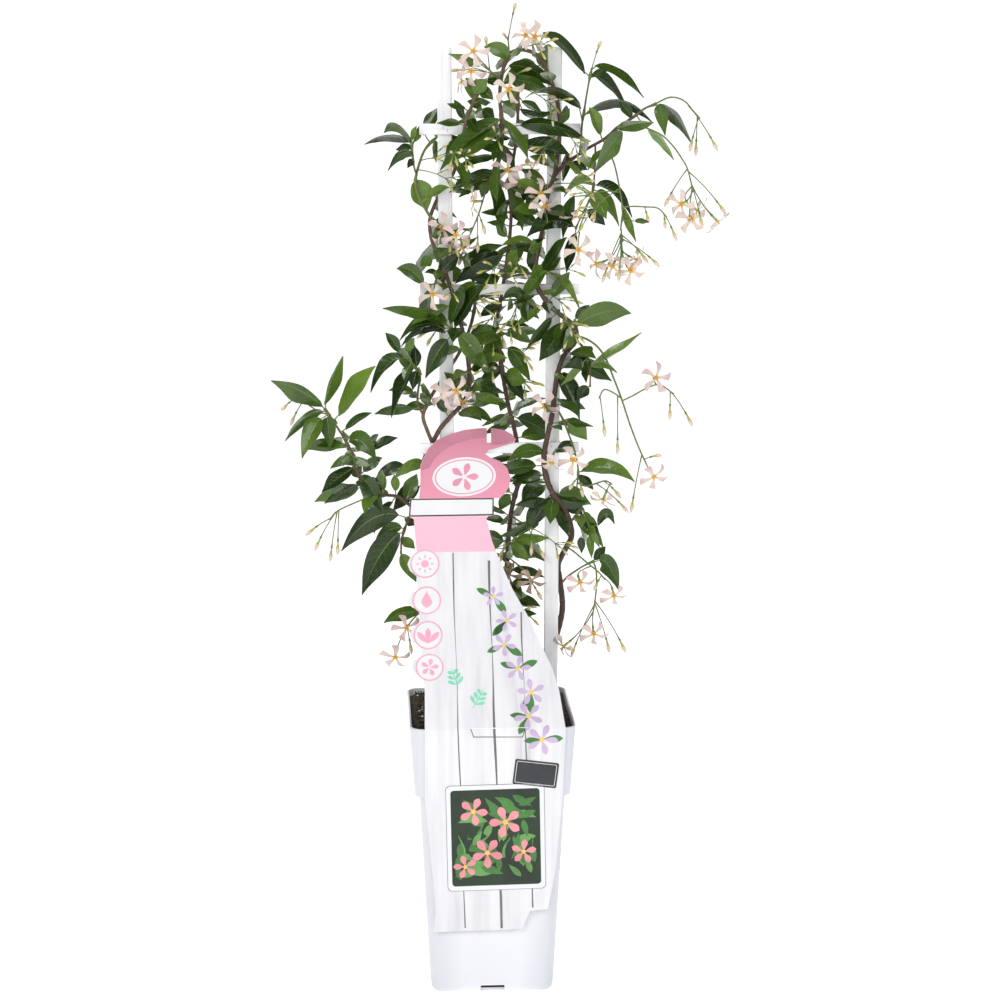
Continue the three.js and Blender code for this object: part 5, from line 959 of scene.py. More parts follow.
def stem_parts(row):
    """The stem's closed tube: thinner towards its end, with a low ridge-and-furrow skin and a
    swelling at each pair of leaves. The mark `age` runs from 0, green, to 1, old wood."""
    line = row["fine_line"]
    gone = lengths_along(line)
    start, end = row["radius"]
    share = gone / gone[-1]
    radius = (start + (end - start) * share) * (SHOOT_SLIMMING if row["parent"] else 1)
    for spot in row["leaf_lengths"]:
        radius = radius + LEAF_NODE_SWELL * start ** 0.5 * np.exp(-((gone - spot) / LEAF_NODE_LENGTH) ** 2)
    radius = radius * (1 + 0.05 * np.sin(gone * 0.9 + len(row["node"])))
    angle = np.arange(STEM_SIDES) * 2 * np.pi / STEM_SIDES
    ridge = (1 + 0.05 * np.cos(3 * angle[None, :] + gone[:, None] * 0.06)
             + 0.03 * np.sin(5 * angle[None, :] + gone[:, None] * 0.15))
    points, faces, uv = tube(line, radius[:, None] * ridge, STEM_SIDES)
    green, greener = (0.55, 0.5) if row["parent"] else (0.08, 0.45)
    if row["node"] in BROWN_SHOOTS:
        green = 0.2
    if row["node"].startswith("spray"):
        green = 1.0
    age = np.clip(1 - green - greener * share ** 1.5, 0, 1)
    return points, faces, uv, np.concatenate([np.repeat(age, STEM_SIDES), age[[0, -1]]])


stem_skin, tree, shader = new_material("stem_skin", 0.6)
age = mark_value(tree, "age")
surface = surface_coordinate(tree)
where = place_coordinate(tree)
fibre = noise(tree, surface, 3.2, 5, stretch=(3, 0.08, 1))
patch = noise(tree, where, 55, 4)
pore = add_node(tree, "ShaderNodeTexVoronoi", Scale=0.55, Randomness=1.0)
stretched = add_node(tree, "ShaderNodeMapping")
stretched.inputs["Scale"].default_value = (2.5, 0.7, 1)
tree.links.new(surface, stretched.inputs["Vector"])
tree.links.new(stretched.outputs["Vector"], pore.inputs["Vector"])
warped = calculate(tree, "MULTIPLY_ADD", patch, 0.3, calculate(tree, "ADD", age, -0.15))
colour = ramp(tree, warped, (0.0, (0.13, 0.19, 0.045)), (0.25, (0.13, 0.155, 0.045)),
              (0.45, (0.14, 0.09, 0.042)), (0.7, (0.088, 0.046, 0.026)), (1.0, (0.05, 0.027, 0.018)))
streaked = ramp(tree, fibre, (0.3, (0.6, 0.55, 0.5)), (0.55, (1, 1, 1)), (0.75, (1.0, 0.95, 0.9)))
colour = blend_colours(tree, 0.8, colour, streaked, "MULTIPLY")
pale = calculate(tree, "MULTIPLY", calculate(tree, "LESS_THAN", pore.outputs["Distance"], 0.2), age)
colour = blend_colours(tree, calculate(tree, "MULTIPLY", pale, 0.55), colour, (0.20, 0.15, 0.11, 1))
feed(tree, shader, "Base Color", colour)
feed(tree, shader, "Roughness", calculate(tree, "MULTIPLY_ADD", fibre, 0.3, 0.42))
relief = calculate(tree, "MULTIPLY_ADD", fibre, 0.6, calculate(tree, "MULTIPLY", pale, 0.5))
add_bump(tree, shader, relief, 0.35, 0.7)

for row in plantings:
    feet = [seen(x, z, row["line"][-1][1]) for x, z, *_ in row.get("leaves", ())]
    row["leaf_lengths"] = sorted({round(float(nearest_length(row["line"], foot)), 1) for foot in feet})
    dress_stem(row, "stem", [stem_parts(row)], stem_skin, ["age"], sharp=60)


def root_on(row, x, z, shift):
    """Where a leaf, bloom or bud seen at (x, z) stands on its stem, past the stem's own fork."""
    line = row["line"]
    length = nearest_length(line, seen(x, z, line[-1][1])) + shift
    last = lengths_along(line)[-1] - STEM_REACH
    return point_at_length(line, min(last, max(row["first_root"], length)))


def corners_met(row, places):
    """How many of the places are corners of the solid that the row's pieces dress."""
    gap = np.linalg.norm(row["corners"][None] - np.asarray(places)[:, None], axis=2).min(axis=1)
    return int((gap < MATCH_MM).sum())


def settle(row, make, needed):
    """Tries each small bend in depth and shift of the root in turn, and keeps the one whose
    outline best meets the solid's corners. None when the solid has no such piece."""
    best = None
    for step in DEPTH_STEPS:
        for shift in ROOT_SHIFTS:
            made = make(step, shift)
            if made is None:
                continue
            found = corners_met(row, made["outline"])
            if found >= needed and (best is None or found > best[0]):
                best = (found, made)
            if found == len(made["outline"]):
                return made
    return best and best[1]


def bezier(start, bend, end, share):
    share = np.asarray(share, float)[..., None]
    return (1 - share) ** 2 * start + 2 * share * (1 - share) * bend + share ** 2 * end


def bezier_tangent(start, bend, end, share):
    share = np.asarray(share, float)[..., None]
    return unit((1 - share) * (bend - start) + share * (end - bend))


def swing_to(before, after, vector):
    """Turns a vector by the smallest rotation that carries one direction onto another."""
    axis = np.cross(before, after)
    return vector + np.cross(axis, vector) + np.cross(axis, np.cross(axis, vector)) / (1 + before @ after)


# Blooms.
# Star jasmine flowers: a green stalk and calyx, a thin yellow-green tube, and five thin petals in
# a pinwheel, each narrow at its foot and cut off slantwise. They open blush pink and fade to
# cream round an orange-yellow throat, from which the tips of the anthers stand out in a cone.
ROOT_SPREAD = 1.6
BLOOM_RADIUS = 12.8
BLOOM_TUBE = 8.0
PETAL_COUNT = 5
PETAL_STEP = 2 * math.pi / PETAL_COUNT
PETAL_THICKNESS = 0.3
PETAL_ROWS = 8
PETAL_COLUMNS = np.array([-1, -0.6, 0, 0.6, 1])
THROAT_RADIUS = 1.9
LEAST_STALK = 3.5
TUBE_SIDES = 8
CONE_SIDES = 6


def bloom_plan(root, x, z, lean, turn, tilt, spin):
    """Where a bloom stands and faces, with the corners of the plain solid it dresses."""
    yaw, pitch = math.radians(turn), math.radians(tilt)
    facing = np.array([math.sin(yaw) * math.cos(pitch), -math.cos(yaw) * math.cos(pitch), math.sin(pitch)])
    centre = seen(x, z, root[1] + lean)
    reach = (centre - root) @ facing
    if reach < LEAST_STALK:
        return None
    right = unit(np.cross([0, 0, 1.0], facing))
    up = np.cross(facing, right)

    def place(radius, angle, lift):
        radius, angle, lift = np.broadcast_arrays(radius, angle, lift)
        return (centre + right * (radius * np.sin(angle))[..., None]
                + up * (radius * np.cos(angle))[..., None] + facing * lift[..., None])
    turns = spin + np.arange(PETAL_COUNT) * PETAL_STEP
    outline = np.concatenate([
        place(THROAT_RADIUS, turns - PETAL_STEP / 2, 0.0), place(BLOOM_RADIUS * 0.97, turns - 0.3, 0.8),
        place(BLOOM_RADIUS * 0.86, turns + 0.3, -0.3), place(BLOOM_RADIUS * 0.5, turns, 1.2)])
    back = centre - facing * min(BLOOM_TUBE, reach - 1)
    return dict(outline=outline, root=root, centre=centre, back=back, facing=facing, spin=spin, place=place)


def closed_sheet(top, under, s, t):
    """A thin closed sheet: the grid of points `top`, then `under` without its two margins, which
    both sides share. s runs along it and t = -1..1 across. Returns points, faces and uv."""
    rows, columns = top.shape[:2]
    number = np.arange(rows * columns).reshape(rows, columns)
    below = number.copy()
    below[:, 1:-1] = rows * columns + np.arange(rows * (columns - 2)).reshape(rows, columns - 2)

    def corners(n):
        return np.stack([n[:-1, :-1], n[:-1, 1:], n[1:, 1:], n[1:, :-1]], axis=-1).reshape(-1, 4)
    start = [*number[0][::-1], *below[0, 1:-1]]
    end = [*number[-1], *below[-1, 1:-1][::-1]]
    uv = np.stack(np.broadcast_arrays(s, t * 0.5 + 0.5), axis=-1)
    return (np.concatenate([top.reshape(-1, 3), under[:, 1:-1].reshape(-1, 3)]),
            [*corners(number).tolist(), *corners(below)[:, ::-1].tolist(), start, end],
            np.concatenate([uv.reshape(-1, 2), uv[:, 1:-1].reshape(-1, 2)]))


def petal(plan, angle, chance, freshness):
    """A closed petal. With s from throat to end and t = -1..1 across, it lies at radius
    1.2 + 10.6 s - slant t s^3, with its end corners rounded off and its sides
    0.8 + 1.9 s^1.25 from its middle, and rises in an arch 0.15 + sin(0.85 pi s) that droops at
    the end and that the pinwheel's twist -0.55 t s tips sideways. chance varies the sizes."""
    s = np.linspace(0, 1, PETAL_ROWS)[:, None]
    t = PETAL_COLUMNS[None, :]
    slant = 0.75 + 0.5 * chance[0]
    rounding = 0.55 * np.abs(t) ** 4 * s ** 8
    radius = 1.2 + (10.6 + 0.5 * chance[1]) * s - slant * t * s ** 3 - rounding
    half = 0.8 + (1.9 + 0.8 * chance[2]) * s ** 1.25 - 1.98 * np.maximum(s - 0.86, 0)
    bend = angle + 0.10 * np.sin(np.pi * s) + 0.05 * (chance[3] - 0.5)
    across = np.arctan2(t * half, radius)
    distance = np.hypot(radius, t * half)
    arch = 0.15 + np.sin(np.pi * s * 0.85) - (0.5 + 1.3 * chance[4]) * s ** 3
    twist = -0.55 * t * s
    cup = 0.28 * t ** 2 * s * (1 - 0.6 * s)
    wave = 0.3 * np.sin(s * 7 + chance[5] * 6 + t * 2) * s * np.abs(t)
    lift = arch + twist + cup + wave
    thickness = PETAL_THICKNESS * (1 - np.abs(t) ** 3) * (1.2 - 0.4 * s)
    top = plan["place"](distance, bend + across, lift)
    under = plan["place"](distance, bend + across, lift - thickness)
    stage = 0.46 + 0.16 * np.minimum(s / 0.3, 1) + 0.38 * freshness * np.clip((s - 0.1) / 0.7, 0, 1)
    stage = np.broadcast_to(stage, distance.shape)
    under_stage = np.clip(stage[:, 1:-1] + 0.06, 0, 1)
    return (*closed_sheet(top, under, s, t), np.concatenate([stage.ravel(), under_stage.ravel()]))


def bloom_tube(plan):
    """Stalk, calyx and tube as one turned shape along the bent line from the stem to the
    flower, with the throat's dark well and the cone of anthers in it."""
    root, back, centre, facing = (plan[k] for k in ("root", "back", "centre", "facing"))
    pull = back - facing * np.linalg.norm(back - root) * 0.45
    stalk = bezier(root, pull, back, np.linspace(0, 1, 5))
    tube_share = np.array([0.06, 0.14, 0.22, 0.45, 0.62, 0.8, 0.93, 1.0])
    length = np.linalg.norm(centre - back)
    tube_line = back + (centre - back) * tube_share[:, None]
    line = np.concatenate([stalk[:-1], [back - facing * 0.25], tube_line, [centre + facing * 0.2],
                           [centre - facing * min(1.2, length * 0.3)]])
    radius = np.array([0.62, 0.46, 0.42, 0.5, 0.8, 1.08, 1.12, 0.82, 0.95, 1.18, 1.1, 1.3, 1.95, 1.15, 0.35])
    stage = np.array([0, 0, 0, 0, 0, 0, 0.02, 0.2, 0.26, 0.3, 0.32, 0.4, 0.47, 0.5, 0.5])
    stage = np.concatenate([np.repeat(stage, TUBE_SIDES), stage[[0, -1]]])
    cone_line = centre + facing * np.array([-0.6, 0.1, 0.8, 1.5, 1.9])[:, None]
    cone = tube(cone_line, np.array([0.55, 0.75, 0.5, 0.24, 0.06]), CONE_SIDES)
    return [(*tube(line, radius, TUBE_SIDES), stage), (*cone, np.full(len(cone[0]), 0.47))]


blossom, tree, shader = new_material("blossom", 0.55, Subsurface_Weight=0.12)
shader.inputs["Subsurface Radius"].default_value = (0.0015, 0.001, 0.0008)
stage = mark_value(tree, "stage")
surface = surface_coordinate(tree)
where = place_coordinate(tree)
fleck = noise(tree, where, 420, 3)
drift = noise(tree, where, 60, 2)
streaks = noise(tree, surface, 5, 3, stretch=(0.5, 6, 1))
shifted = calculate(tree, "ADD", stage, calculate(tree, "MULTIPLY_ADD", drift, 0.12, -0.06))
shifted = calculate(tree, "MULTIPLY_ADD", streaks, 0.06, calculate(tree, "ADD", shifted, -0.03))
colour = ramp(tree, shifted,
              (0.0, (0.12, 0.18, 0.045)), (0.16, (0.17, 0.24, 0.055)), (0.28, (0.38, 0.45, 0.13)),
              (0.42, (0.56, 0.43, 0.08)), (0.5, (0.65, 0.33, 0.045)), (0.555, (0.67, 0.52, 0.30)),
              (0.64, (0.68, 0.585, 0.49)), (0.82, (0.66, 0.53, 0.50)), (1.0, (0.62, 0.43, 0.44)))
veins = ramp(tree, streaks, (0.35, (0.9, 0.86, 0.84)), (0.6, (1, 1, 1)))
spots = ramp(tree, fleck, (0.68, (1, 1, 1)), (0.8, (0.86, 0.74, 0.6)))
colour = blend_colours(tree, 0.55, colour, veins, "MULTIPLY")
feed(tree, shader, "Base Color", blend_colours(tree, 0.5, colour, spots, "MULTIPLY"))
feed(tree, shader, "Roughness", calculate(tree, "MULTIPLY_ADD", fleck, 0.2, 0.45))
add_bump(tree, shader, streaks, 0.12, 0.5)

withered, tree, shader = new_material("withered_blossom", 0.75)
creases = noise(tree, surface_coordinate(tree), 6, 4, stretch=(0.5, 6, 1))
patches = noise(tree, place_coordinate(tree), 130, 3)
colour = ramp(tree, calculate(tree, "MULTIPLY_ADD", creases, 0.5, calculate(tree, "MULTIPLY", patches, 0.5)),
              (0.36, (0.16, 0.09, 0.045)), (0.5, (0.36, 0.25, 0.17)), (0.64, (0.52, 0.41, 0.34)))
feed(tree, shader, "Base Color", colour)
add_bump(tree, shader, creases, 0.4, 0.8)

bloom_rolls = np.random.default_rng(11)
for row in plantings:
    row["bloom_plans"] = []
    spread = 0.0
    for x, z, lean, turn, tilt in row.get("blooms", ()):
        spread -= ROOT_SPREAD
        spin = row["draw"]() * math.pi
        plan = settle(row, lambda step, shift: bloom_plan(
            root_on(row, x, z, shift + spread), x, z, lean + step, turn, tilt, spin), needed=7)
        if plan:
            row["bloom_plans"].append(plan)
    row["spread"] = spread
    parts = []
    for plan in row["bloom_plans"]:
        freshness = bloom_rolls.uniform(0.15, 1.0)
        parts += [petal(plan, plan["spin"] + k * PETAL_STEP, bloom_rolls.random(6), freshness)
                  for k in range(PETAL_COUNT)]
        parts += bloom_tube(plan)
    if parts:
        look = withered if row["node"] == "spray_faded" else blossom
        dress_stem(row, "blooms", parts, look, ["stage"], sharp=50)


# Buds.
# Slender furled flowers on thin green stalks: the five petals are wound round each other, which
# shows as furrows that twist up the spindle, green at its foot and blush at its point.
BUD_LENGTH = 12.0
BUD_SIDES = 10


def bud_plan(root, x, z, lean):
    """The bent line of a bud from its stem to its tip, with the corners of its plain solid."""
    tip = seen(x, z, root[1] + lean)
    length = np.linalg.norm(tip - root)
    bend = root + (tip - root) * 0.55 + np.array([0, 0, 0.12 * length])
    swell = max(0.3, 1 - BUD_LENGTH / length)
    outline = [tip]
    for share, radius in ((swell, 0.7), (swell + (1 - swell) * 0.6, 1.5)):
        along = bezier_tangent(root, bend, tip, share)
        lift = np.array([0, 1.0, 0]) if abs(along[1]) < 0.9 else np.array([1.0, 0, 0])
        side = unit(np.cross(along, lift))
        face = np.cross(side, along)
        angle = np.arange(3)[:, None] * 2 * np.pi / 3
        ring = side * np.cos(angle) + face * np.sin(angle)
        outline += list(bezier(root, bend, tip, share) + radius * ring)
    return dict(outline=outline, root=root, bend=bend, tip=tip, swell=swell)


def bud_spindle(plan, chance, freshness, slender=1.0):
    """Stalk, calyx and furled petals along the bent line: the radius swells to 1.45 mm and draws
    in to the point, and is furrowed five-fold by 1 + 0.13 cos(5 (a - twist))."""
    swell = plan["swell"]
    shares = np.concatenate([np.linspace(0, swell * 0.9, 4), swell + (1 - swell) * np.array(
        [0.0, 0.05, 0.1, 0.16, 0.3, 0.45, 0.58, 0.7, 0.81, 0.9, 0.96, 1.0])])
    radius = np.array([0.6, 0.42, 0.38, 0.42, 0.62, 0.86, 0.9, 0.66,
                       0.72, 1.0, 1.38, 1.45, 1.2, 0.82, 0.45, 0.12])
    stage = np.array([0, 0, 0, 0, 0, 0, 0.03, 0.2, 0.26, 0.29, 0.45, 0.6, 0.7, 0.78, 0.84, 0.86])
    stage = np.where(stage > 0.3, 0.32 + (stage - 0.32) * (0.55 + 0.6 * freshness), stage)
    stage = np.where((stage > 0.36) & (stage < 0.6), 0.6, stage)
    line = bezier(plan["root"], plan["bend"], plan["tip"], shares)
    angle = np.arange(BUD_SIDES) * 2 * np.pi / BUD_SIDES
    progress = np.clip((shares - swell) / (1 - swell), 0, 1)
    furrow = 0.13 * np.clip((progress - 0.25) / 0.2, 0, 1)
    twist = progress * 2.2 + chance * 6
    ridge = 1 + furrow[:, None] * np.cos(5 * (angle[None, :] - twist[:, None]))
    stage = np.concatenate([np.repeat(np.clip(stage, 0, 1), BUD_SIDES), stage[[0, -1]]])
    return (*tube(line, slender * radius[:, None] * ridge, BUD_SIDES), stage)


for row in plantings:
    row["bud_plans"] = []
    spread = row["spread"]
    for x, z, lean in row.get("buds", ()):
        spread -= ROOT_SPREAD
        plan = settle(row, lambda step, shift: bud_plan(
            root_on(row, x, z, shift + spread), x, z, lean + step), needed=3)
        if plan:
            row["bud_plans"].append(plan)
    parts = [bud_spindle(plan, bloom_rolls.random(), bloom_rolls.random()) for plan in row["bud_plans"]]
    if parts:
        dress_stem(row, "buds", parts, blossom, ["stage"], sharp=60)


# Leaves.
# Leathery evergreen blades, dark and glossy above and paler and matt beneath, in opposite pairs
# on short green stalks. Each is pointed at both ends, folded a little along its pale midrib, with
# side veins that bend forward and join inside a gently waved margin.
TRUE_LEAF_RATIO = 0.42
WIDEST_LEAF = 19.0
LONG_LEAF = 48.0
SHORT_LEAF = 30.0
BACK_LEAF_WIDTH = 13.0
BACK_LEAF_ARCH = 6.0
BACK_LEAF_STALK = 5.0
HIDDEN_PAIRS = dict(left_stem=3, left_twining_stem=1, right_stem=4, centre_stem=4, left_bough=1)
LEAF_THICKNESS = 0.5
LEAF_FOLD = 0.27
LEAF_STALK_RADIUS = 0.62
LEAF_ROWS = 12
LEAF_COLUMNS = np.array([-1, -0.72, -0.4, -0.12, 0, 0.12, 0.4, 0.72, 1])
LEAF_STALK_SIDES = 7


def leaf_plan(root, base, tip, width_seen, arch, turn_side):
    """The rib, true width and roll of a leaf, with the corners of the plain solid it dresses."""
    length = np.linalg.norm(tip - base)
    bend = (base + tip) / 2 + np.array([0, 0, arch])
    true_width = max(width_seen, min(TRUE_LEAF_RATIO * length, WIDEST_LEAF))
    roll = math.acos(min(1, width_seen / true_width)) * turn_side
    middle = bezier_tangent(base, bend, tip, 0.5)
    across = unit(np.cross(middle, EYE - bend))
    across = across * math.cos(roll) + np.cross(middle, across) * math.sin(roll)
    long_leaf = length > LONG_LEAF
    shares = np.array([0.24, 0.5, 0.78] if long_leaf else [0.3, 0.68])
    widths = np.array([0.84, 1, 0.6] if long_leaf else [0.95, 0.8])
    stalked = length > SHORT_LEAF
    first_share = 0.06 if stalked else shares[0]
    first = unit(bezier(base, bend, tip, first_share) - root)
    if first @ bezier_tangent(base, bend, tip, first_share) < 0.3:
        return None
    outline = []
    for share, width in zip(shares, widths):
        along = bezier_tangent(base, bend, tip, share)
        side = swing_to(middle, along, across)
        face = np.cross(side, along)
        place = bezier(base, bend, tip, share)
        half = true_width * width / 2
        outline += [place - side * half - face * 0.3, place + face * 0.7, place + side * half - face * 0.3]
    return dict(outline=[*outline, tip], root=root, base=base, bend=bend, tip=tip, width=true_width,
                middle=middle, across=across, stalked=stalked, length=length)


def leaf_blade(plan, chance):
    """A closed blade. With u along the rib and v = -1..1 across, its upper side lies at
    rib(u) + side * v * w(u) + face * lift, with w(u) = width / 2 * sin(pi u^0.87)^(0.72 + 0.42 u)
    and lift = fold * w(u) * (|v|^1.3 - 0.3) + waves towards the margin - a groove on the midrib.
    The underside shares the margin. Returns points, faces, uv and the marks `under` and `tone`."""
    width = plan["width"]
    start = 0.03 if plan["stalked"] else 0.0
    u = np.linspace(0, 1, LEAF_ROWS)[:, None]
    v = LEAF_COLUMNS[None, :]
    spine = (plan["base"], plan["bend"], plan["tip"], start + (1 - start) * u[:, 0])
    side = np.array([swing_to(plan["middle"], along, plan["across"]) for along in bezier_tangent(*spine)])
    face = np.cross(side, bezier_tangent(*spine))
    half = width / 2 * np.sin(np.pi * u ** 0.87) ** (0.72 + 0.42 * u) + 0.25
    half = half * (1 + 0.05 * np.sin(u * 9 + chance[0] * 6) * v)
    fold = LEAF_FOLD * (0.5 + chance[1])
    lift = -fold * (1 - np.abs(v) ** 1.3) * half + 0.7 * fold * half
    phase = u * (8 + 5 * chance[2]) + chance[3] * 6 + 1.4 * np.sign(v)
    waves = 0.035 * width * np.abs(v) ** 2 * np.sin(phase)
    groove = -0.16 * np.exp(-(v / 0.07) ** 2) * (1 - u)
    height = (lift + waves * np.sin(np.pi * u) + groove)[..., None]
    sway = (chance[4] - 0.5) * 0.06 * plan["length"] * np.sin(np.pi * u)[..., None]
    top = bezier(*spine)[:, None] + side[:, None] * ((v * half)[..., None] + sway) + face[:, None] * height
    thickness = LEAF_THICKNESS * (1 - np.abs(v) ** 3) + 0.45 * np.exp(-(v / 0.1) ** 2) * (1 - 0.8 * u)
    points, faces, uv = closed_sheet(top, top - face[:, None] * thickness[..., None], u, v)
    under = (np.arange(len(points)) >= height.size).astype(float)
    return points, faces, uv, under, np.full(len(points), chance[5])


def leaf_stalk(plan, chance):
    """The short green stalk from the stem to the foot of the blade, set a little into both."""
    start = plan["root"]
    end = bezier(plan["base"], plan["bend"], plan["tip"], 0.07)
    pull = bezier_tangent(plan["base"], plan["bend"], plan["tip"], 0.05)
    middle = (start + end) / 2 - pull * np.linalg.norm(end - start) * 0.12
    line = bezier(start, middle, end, np.linspace(0, 1, 6))
    radius = LEAF_STALK_RADIUS * np.array([1.25, 1.0, 0.92, 0.85, 0.72, 0.4])
    points, faces, _ = tube(line, radius, LEAF_STALK_SIDES)
    uv = np.tile((0.02, 0.5), (len(points), 1))
    return points, faces, uv, np.full(len(points), 0.35), np.full(len(points), chance[5])


leaf_green, tree, shader = new_material("leaf_green", 0.35, Specular_IOR_Level=0.2,
                                        Coat_Weight=0.5, Coat_Roughness=0.13)
under = mark_value(tree, "under")
tone = mark_value(tree, "tone")
where = place_coordinate(tree)
along, across, _ = split_axes(tree, surface_coordinate(tree))
outward = calculate(tree, "ABSOLUTE", calculate(tree, "ADD", across, -0.5))
wander = noise(tree, where, 90, 3)
mottle = noise(tree, where, 35, 4)
blush = noise(tree, where, 300, 3)
rib_line = calculate(tree, "LESS_THAN", outward, calculate(tree, "MULTIPLY_ADD", along, -0.022, 0.032))
slope = calculate(tree, "MULTIPLY_ADD", outward, -0.36, along)
slope = calculate(tree, "MULTIPLY_ADD", wander, 0.035, slope)
comb = calculate(tree, "FRACT", calculate(tree, "MULTIPLY", slope, 9.0))
comb = calculate(tree, "ABSOLUTE", calculate(tree, "ADD", comb, -0.5))
side_vein = calculate(tree, "SMOOTH_MIN", calculate(tree, "MULTIPLY", comb, 11.0), 1.0, 0.4)
side_vein = calculate(tree, "SUBTRACT", 1.0, side_vein)
fade = calculate(tree, "SUBTRACT", 1.0, calculate(tree, "MULTIPLY", outward, 1.7))
side_vein = calculate(tree, "MULTIPLY", side_vein, fade)
vein = calculate(tree, "MAXIMUM", calculate(tree, "MULTIPLY", side_vein, 0.42), rib_line)
fainter = calculate(tree, "SUBTRACT", 1.0, calculate(tree, "MULTIPLY", along, 0.35))
vein = calculate(tree, "MULTIPLY", vein, fainter)
green = calculate(tree, "MULTIPLY_ADD", mottle, 0.5, calculate(tree, "MULTIPLY_ADD", tone, 0.75, -0.2))
base = ramp(tree, green, (0.05, (0.008, 0.021, 0.002)), (0.38, (0.028, 0.066, 0.005)),
            (0.68, (0.088, 0.165, 0.016)), (0.95, (0.18, 0.275, 0.04)))
upper = blend_colours(tree, calculate(tree, "MULTIPLY", vein, 0.6), base, (0.20, 0.29, 0.085, 1))
lower_base = ramp(tree, mottle, (0.3, (0.14, 0.205, 0.06)), (0.7, (0.225, 0.29, 0.10)))
lower = blend_colours(tree, calculate(tree, "MULTIPLY", vein, 0.5), lower_base, (0.24, 0.34, 0.14, 1))
# A thin paler rim along the margin of the upper side: painted highlight.
edge = calculate(tree, "GREATER_THAN", outward, 0.485)
upper = blend_colours(tree, calculate(tree, "MULTIPLY", edge, 0.35), upper, (0.13, 0.2, 0.06, 1))
feed(tree, shader, "Base Color", blend_colours(tree, under, upper, lower))
gloss = calculate(tree, "MULTIPLY_ADD", blush, 0.2, 0.2)
feed(tree, shader, "Roughness", calculate(tree, "MULTIPLY_ADD", under, 0.28, gloss))
swell = calculate(tree, "MULTIPLY", comb, fade)
relief = calculate(tree, "MULTIPLY_ADD", swell, 0.7, calculate(tree, "MULTIPLY", wander, 3.0))
add_bump(tree, shader, calculate(tree, "MULTIPLY_ADD", vein, -0.7, relief), 0.45, 0.95)

leaf_rolls = np.random.default_rng(7)
for row in plantings:
    row["leaf_plans"] = []
    for x, z, tip_x, tip_z, width, *more in row.get("leaves", ()):
        lean, arch = [*more, *(-6, 0)[len(more):]]
        turn_side = -1 if row["draw"]() < 0.5 else 1

        def front_leaf(step, shift):
            root = root_on(row, x, z, shift)
            return leaf_plan(root, seen(x, z, root[1] + lean * 0.15),
                             seen(tip_x, tip_z, root[1] + lean + step), width, arch * 2 + 2, turn_side)
        plan = settle(row, front_leaf, needed=4)
        if plan:
            row["leaf_plans"].append(plan)
for row in plantings:
    pairs = HIDDEN_PAIRS.get(row["node"], 0)
    whole = lengths_along(row["line"])[-1]
    for i in range(pairs):
        height = 0.3 + 0.66 * (i + row["draw"]() * 0.5) / pairs
        turn = (row["draw"]() - 0.5) * 1.6
        for side in (-1, 1):
            angle = turn + side * 0.75
            droop = -0.2 - row["draw"]() * 0.7
            length = 34 + row["draw"]() * 14
            turn_side = -1 if row["draw"]() < 0.5 else 1
            heading = unit(np.array([math.sin(angle), math.cos(angle), droop]))

            def back_leaf(step, shift):
                root = point_at_length(row["line"], height * whole + shift)
                base = root + heading * BACK_LEAF_STALK
                tip = base + heading * (length - abs(step)) + np.array([step * 0.8, 0, 0])
                return leaf_plan(root, base, tip, BACK_LEAF_WIDTH, BACK_LEAF_ARCH, turn_side)
            plan = settle(row, back_leaf, needed=4)
            if plan:
                row["leaf_plans"].append(plan)
for row in plantings:
    if row["leaf_plans"]:
        parts = []
        for plan in row["leaf_plans"]:
            chance = leaf_rolls.random(6)
            parts += [leaf_blade(plan, chance), leaf_stalk(plan, chance)]
        dress_stem(row, "leaves", parts, leaf_green, ["under", "tone"], sharp=70)


# Plant label.
# A stiff printed card, hooked over the pot's front rim by a tab behind it, with its head leaning
# on the bottom rung. Its plain design has white painted boards, a pink head, round signs, a garland
# and a panel of blooms. Places on it are as the eye sees them on the trellis plane.
LABEL_THICKNESS = 0.8
LABEL_HANG_Y = -66.2
LABEL_BEND_Z = 438.0
LABEL_REST_Y = -6.6
LABEL_ROUNDING = 2.0
LABEL_OUTLINE = [
    (-54.2, 419), (-54.5, 400.4), (-55.5, 392.2), (-62.6, 392.2), (-63.7, 377.8), (-59.7, 375.7),
    (-57.8, 350.7), (-56.8, 347.6), (-62.9, 344.6), (-65, 339.4), (-63, 334.1), (-57.9, 329.9),
    (-56.9, 318.4), (-62, 315.3), (-64.1, 310.1), (-62.1, 304.9), (-56, 301.7), (-55.5, 292.2),
    (-61.2, 287), (-63.3, 281.8), (-61.2, 276.5), (-55.1, 273.3), (-54.1, 264.8), (-60.3, 260.7),
    (-61.9, 255.4), (-59.3, 250.1), (-53.2, 246.9), (-51.7, 236.3), (-52.1, 145.6),
    (-48.2, 103.5), (-45.7, 77.4), (-43.7, 51.2), (-45.2, 34.1), (26.2, 35.5), (32.7, 50.7),
    (47.3, 52.1), (53.5, 85.5), (59.1, 151.4), (61.3, 201.8), (55.6, 235.3), (50.7, 251.9),
    (37.8, 279.5), (29.8, 297.5), (17.8, 319.2), (8.4, 341.3), (2, 357.4), (-2.6, 377.1),
    (3.5, 378.1), (3.5, 392.1), (8.4, 392.1), (13.1, 396.7), (15.7, 401.8), (16.7, 408),
    (13.9, 416.3), (8.4, 421.5), (0.5, 424.6), (-3.5, 427.7), (-0.4, 430.8), (4.4, 431.8),
    (10.6, 433.8), (17.7, 436.1), (21, 438.4), (17.7, 443), (12.2, 446.1), (4.4, 447.7),
    (1.2, 447.8), (1.2, 436.4), (-2, 436.4), (-2, 447.9), (-7.4, 448), (-19.2, 446.8),
    (-31, 443.7), (-41.1, 439), (-48.2, 431.9), (-51.3, 426.1),
]
HOOK_HALF_WIDTH = 23.0
HOOK_X = 4.0
HOOK_DROP = 4.5
PRINT_LIFT = 0.05
PRINT_THICKNESS = 0.04
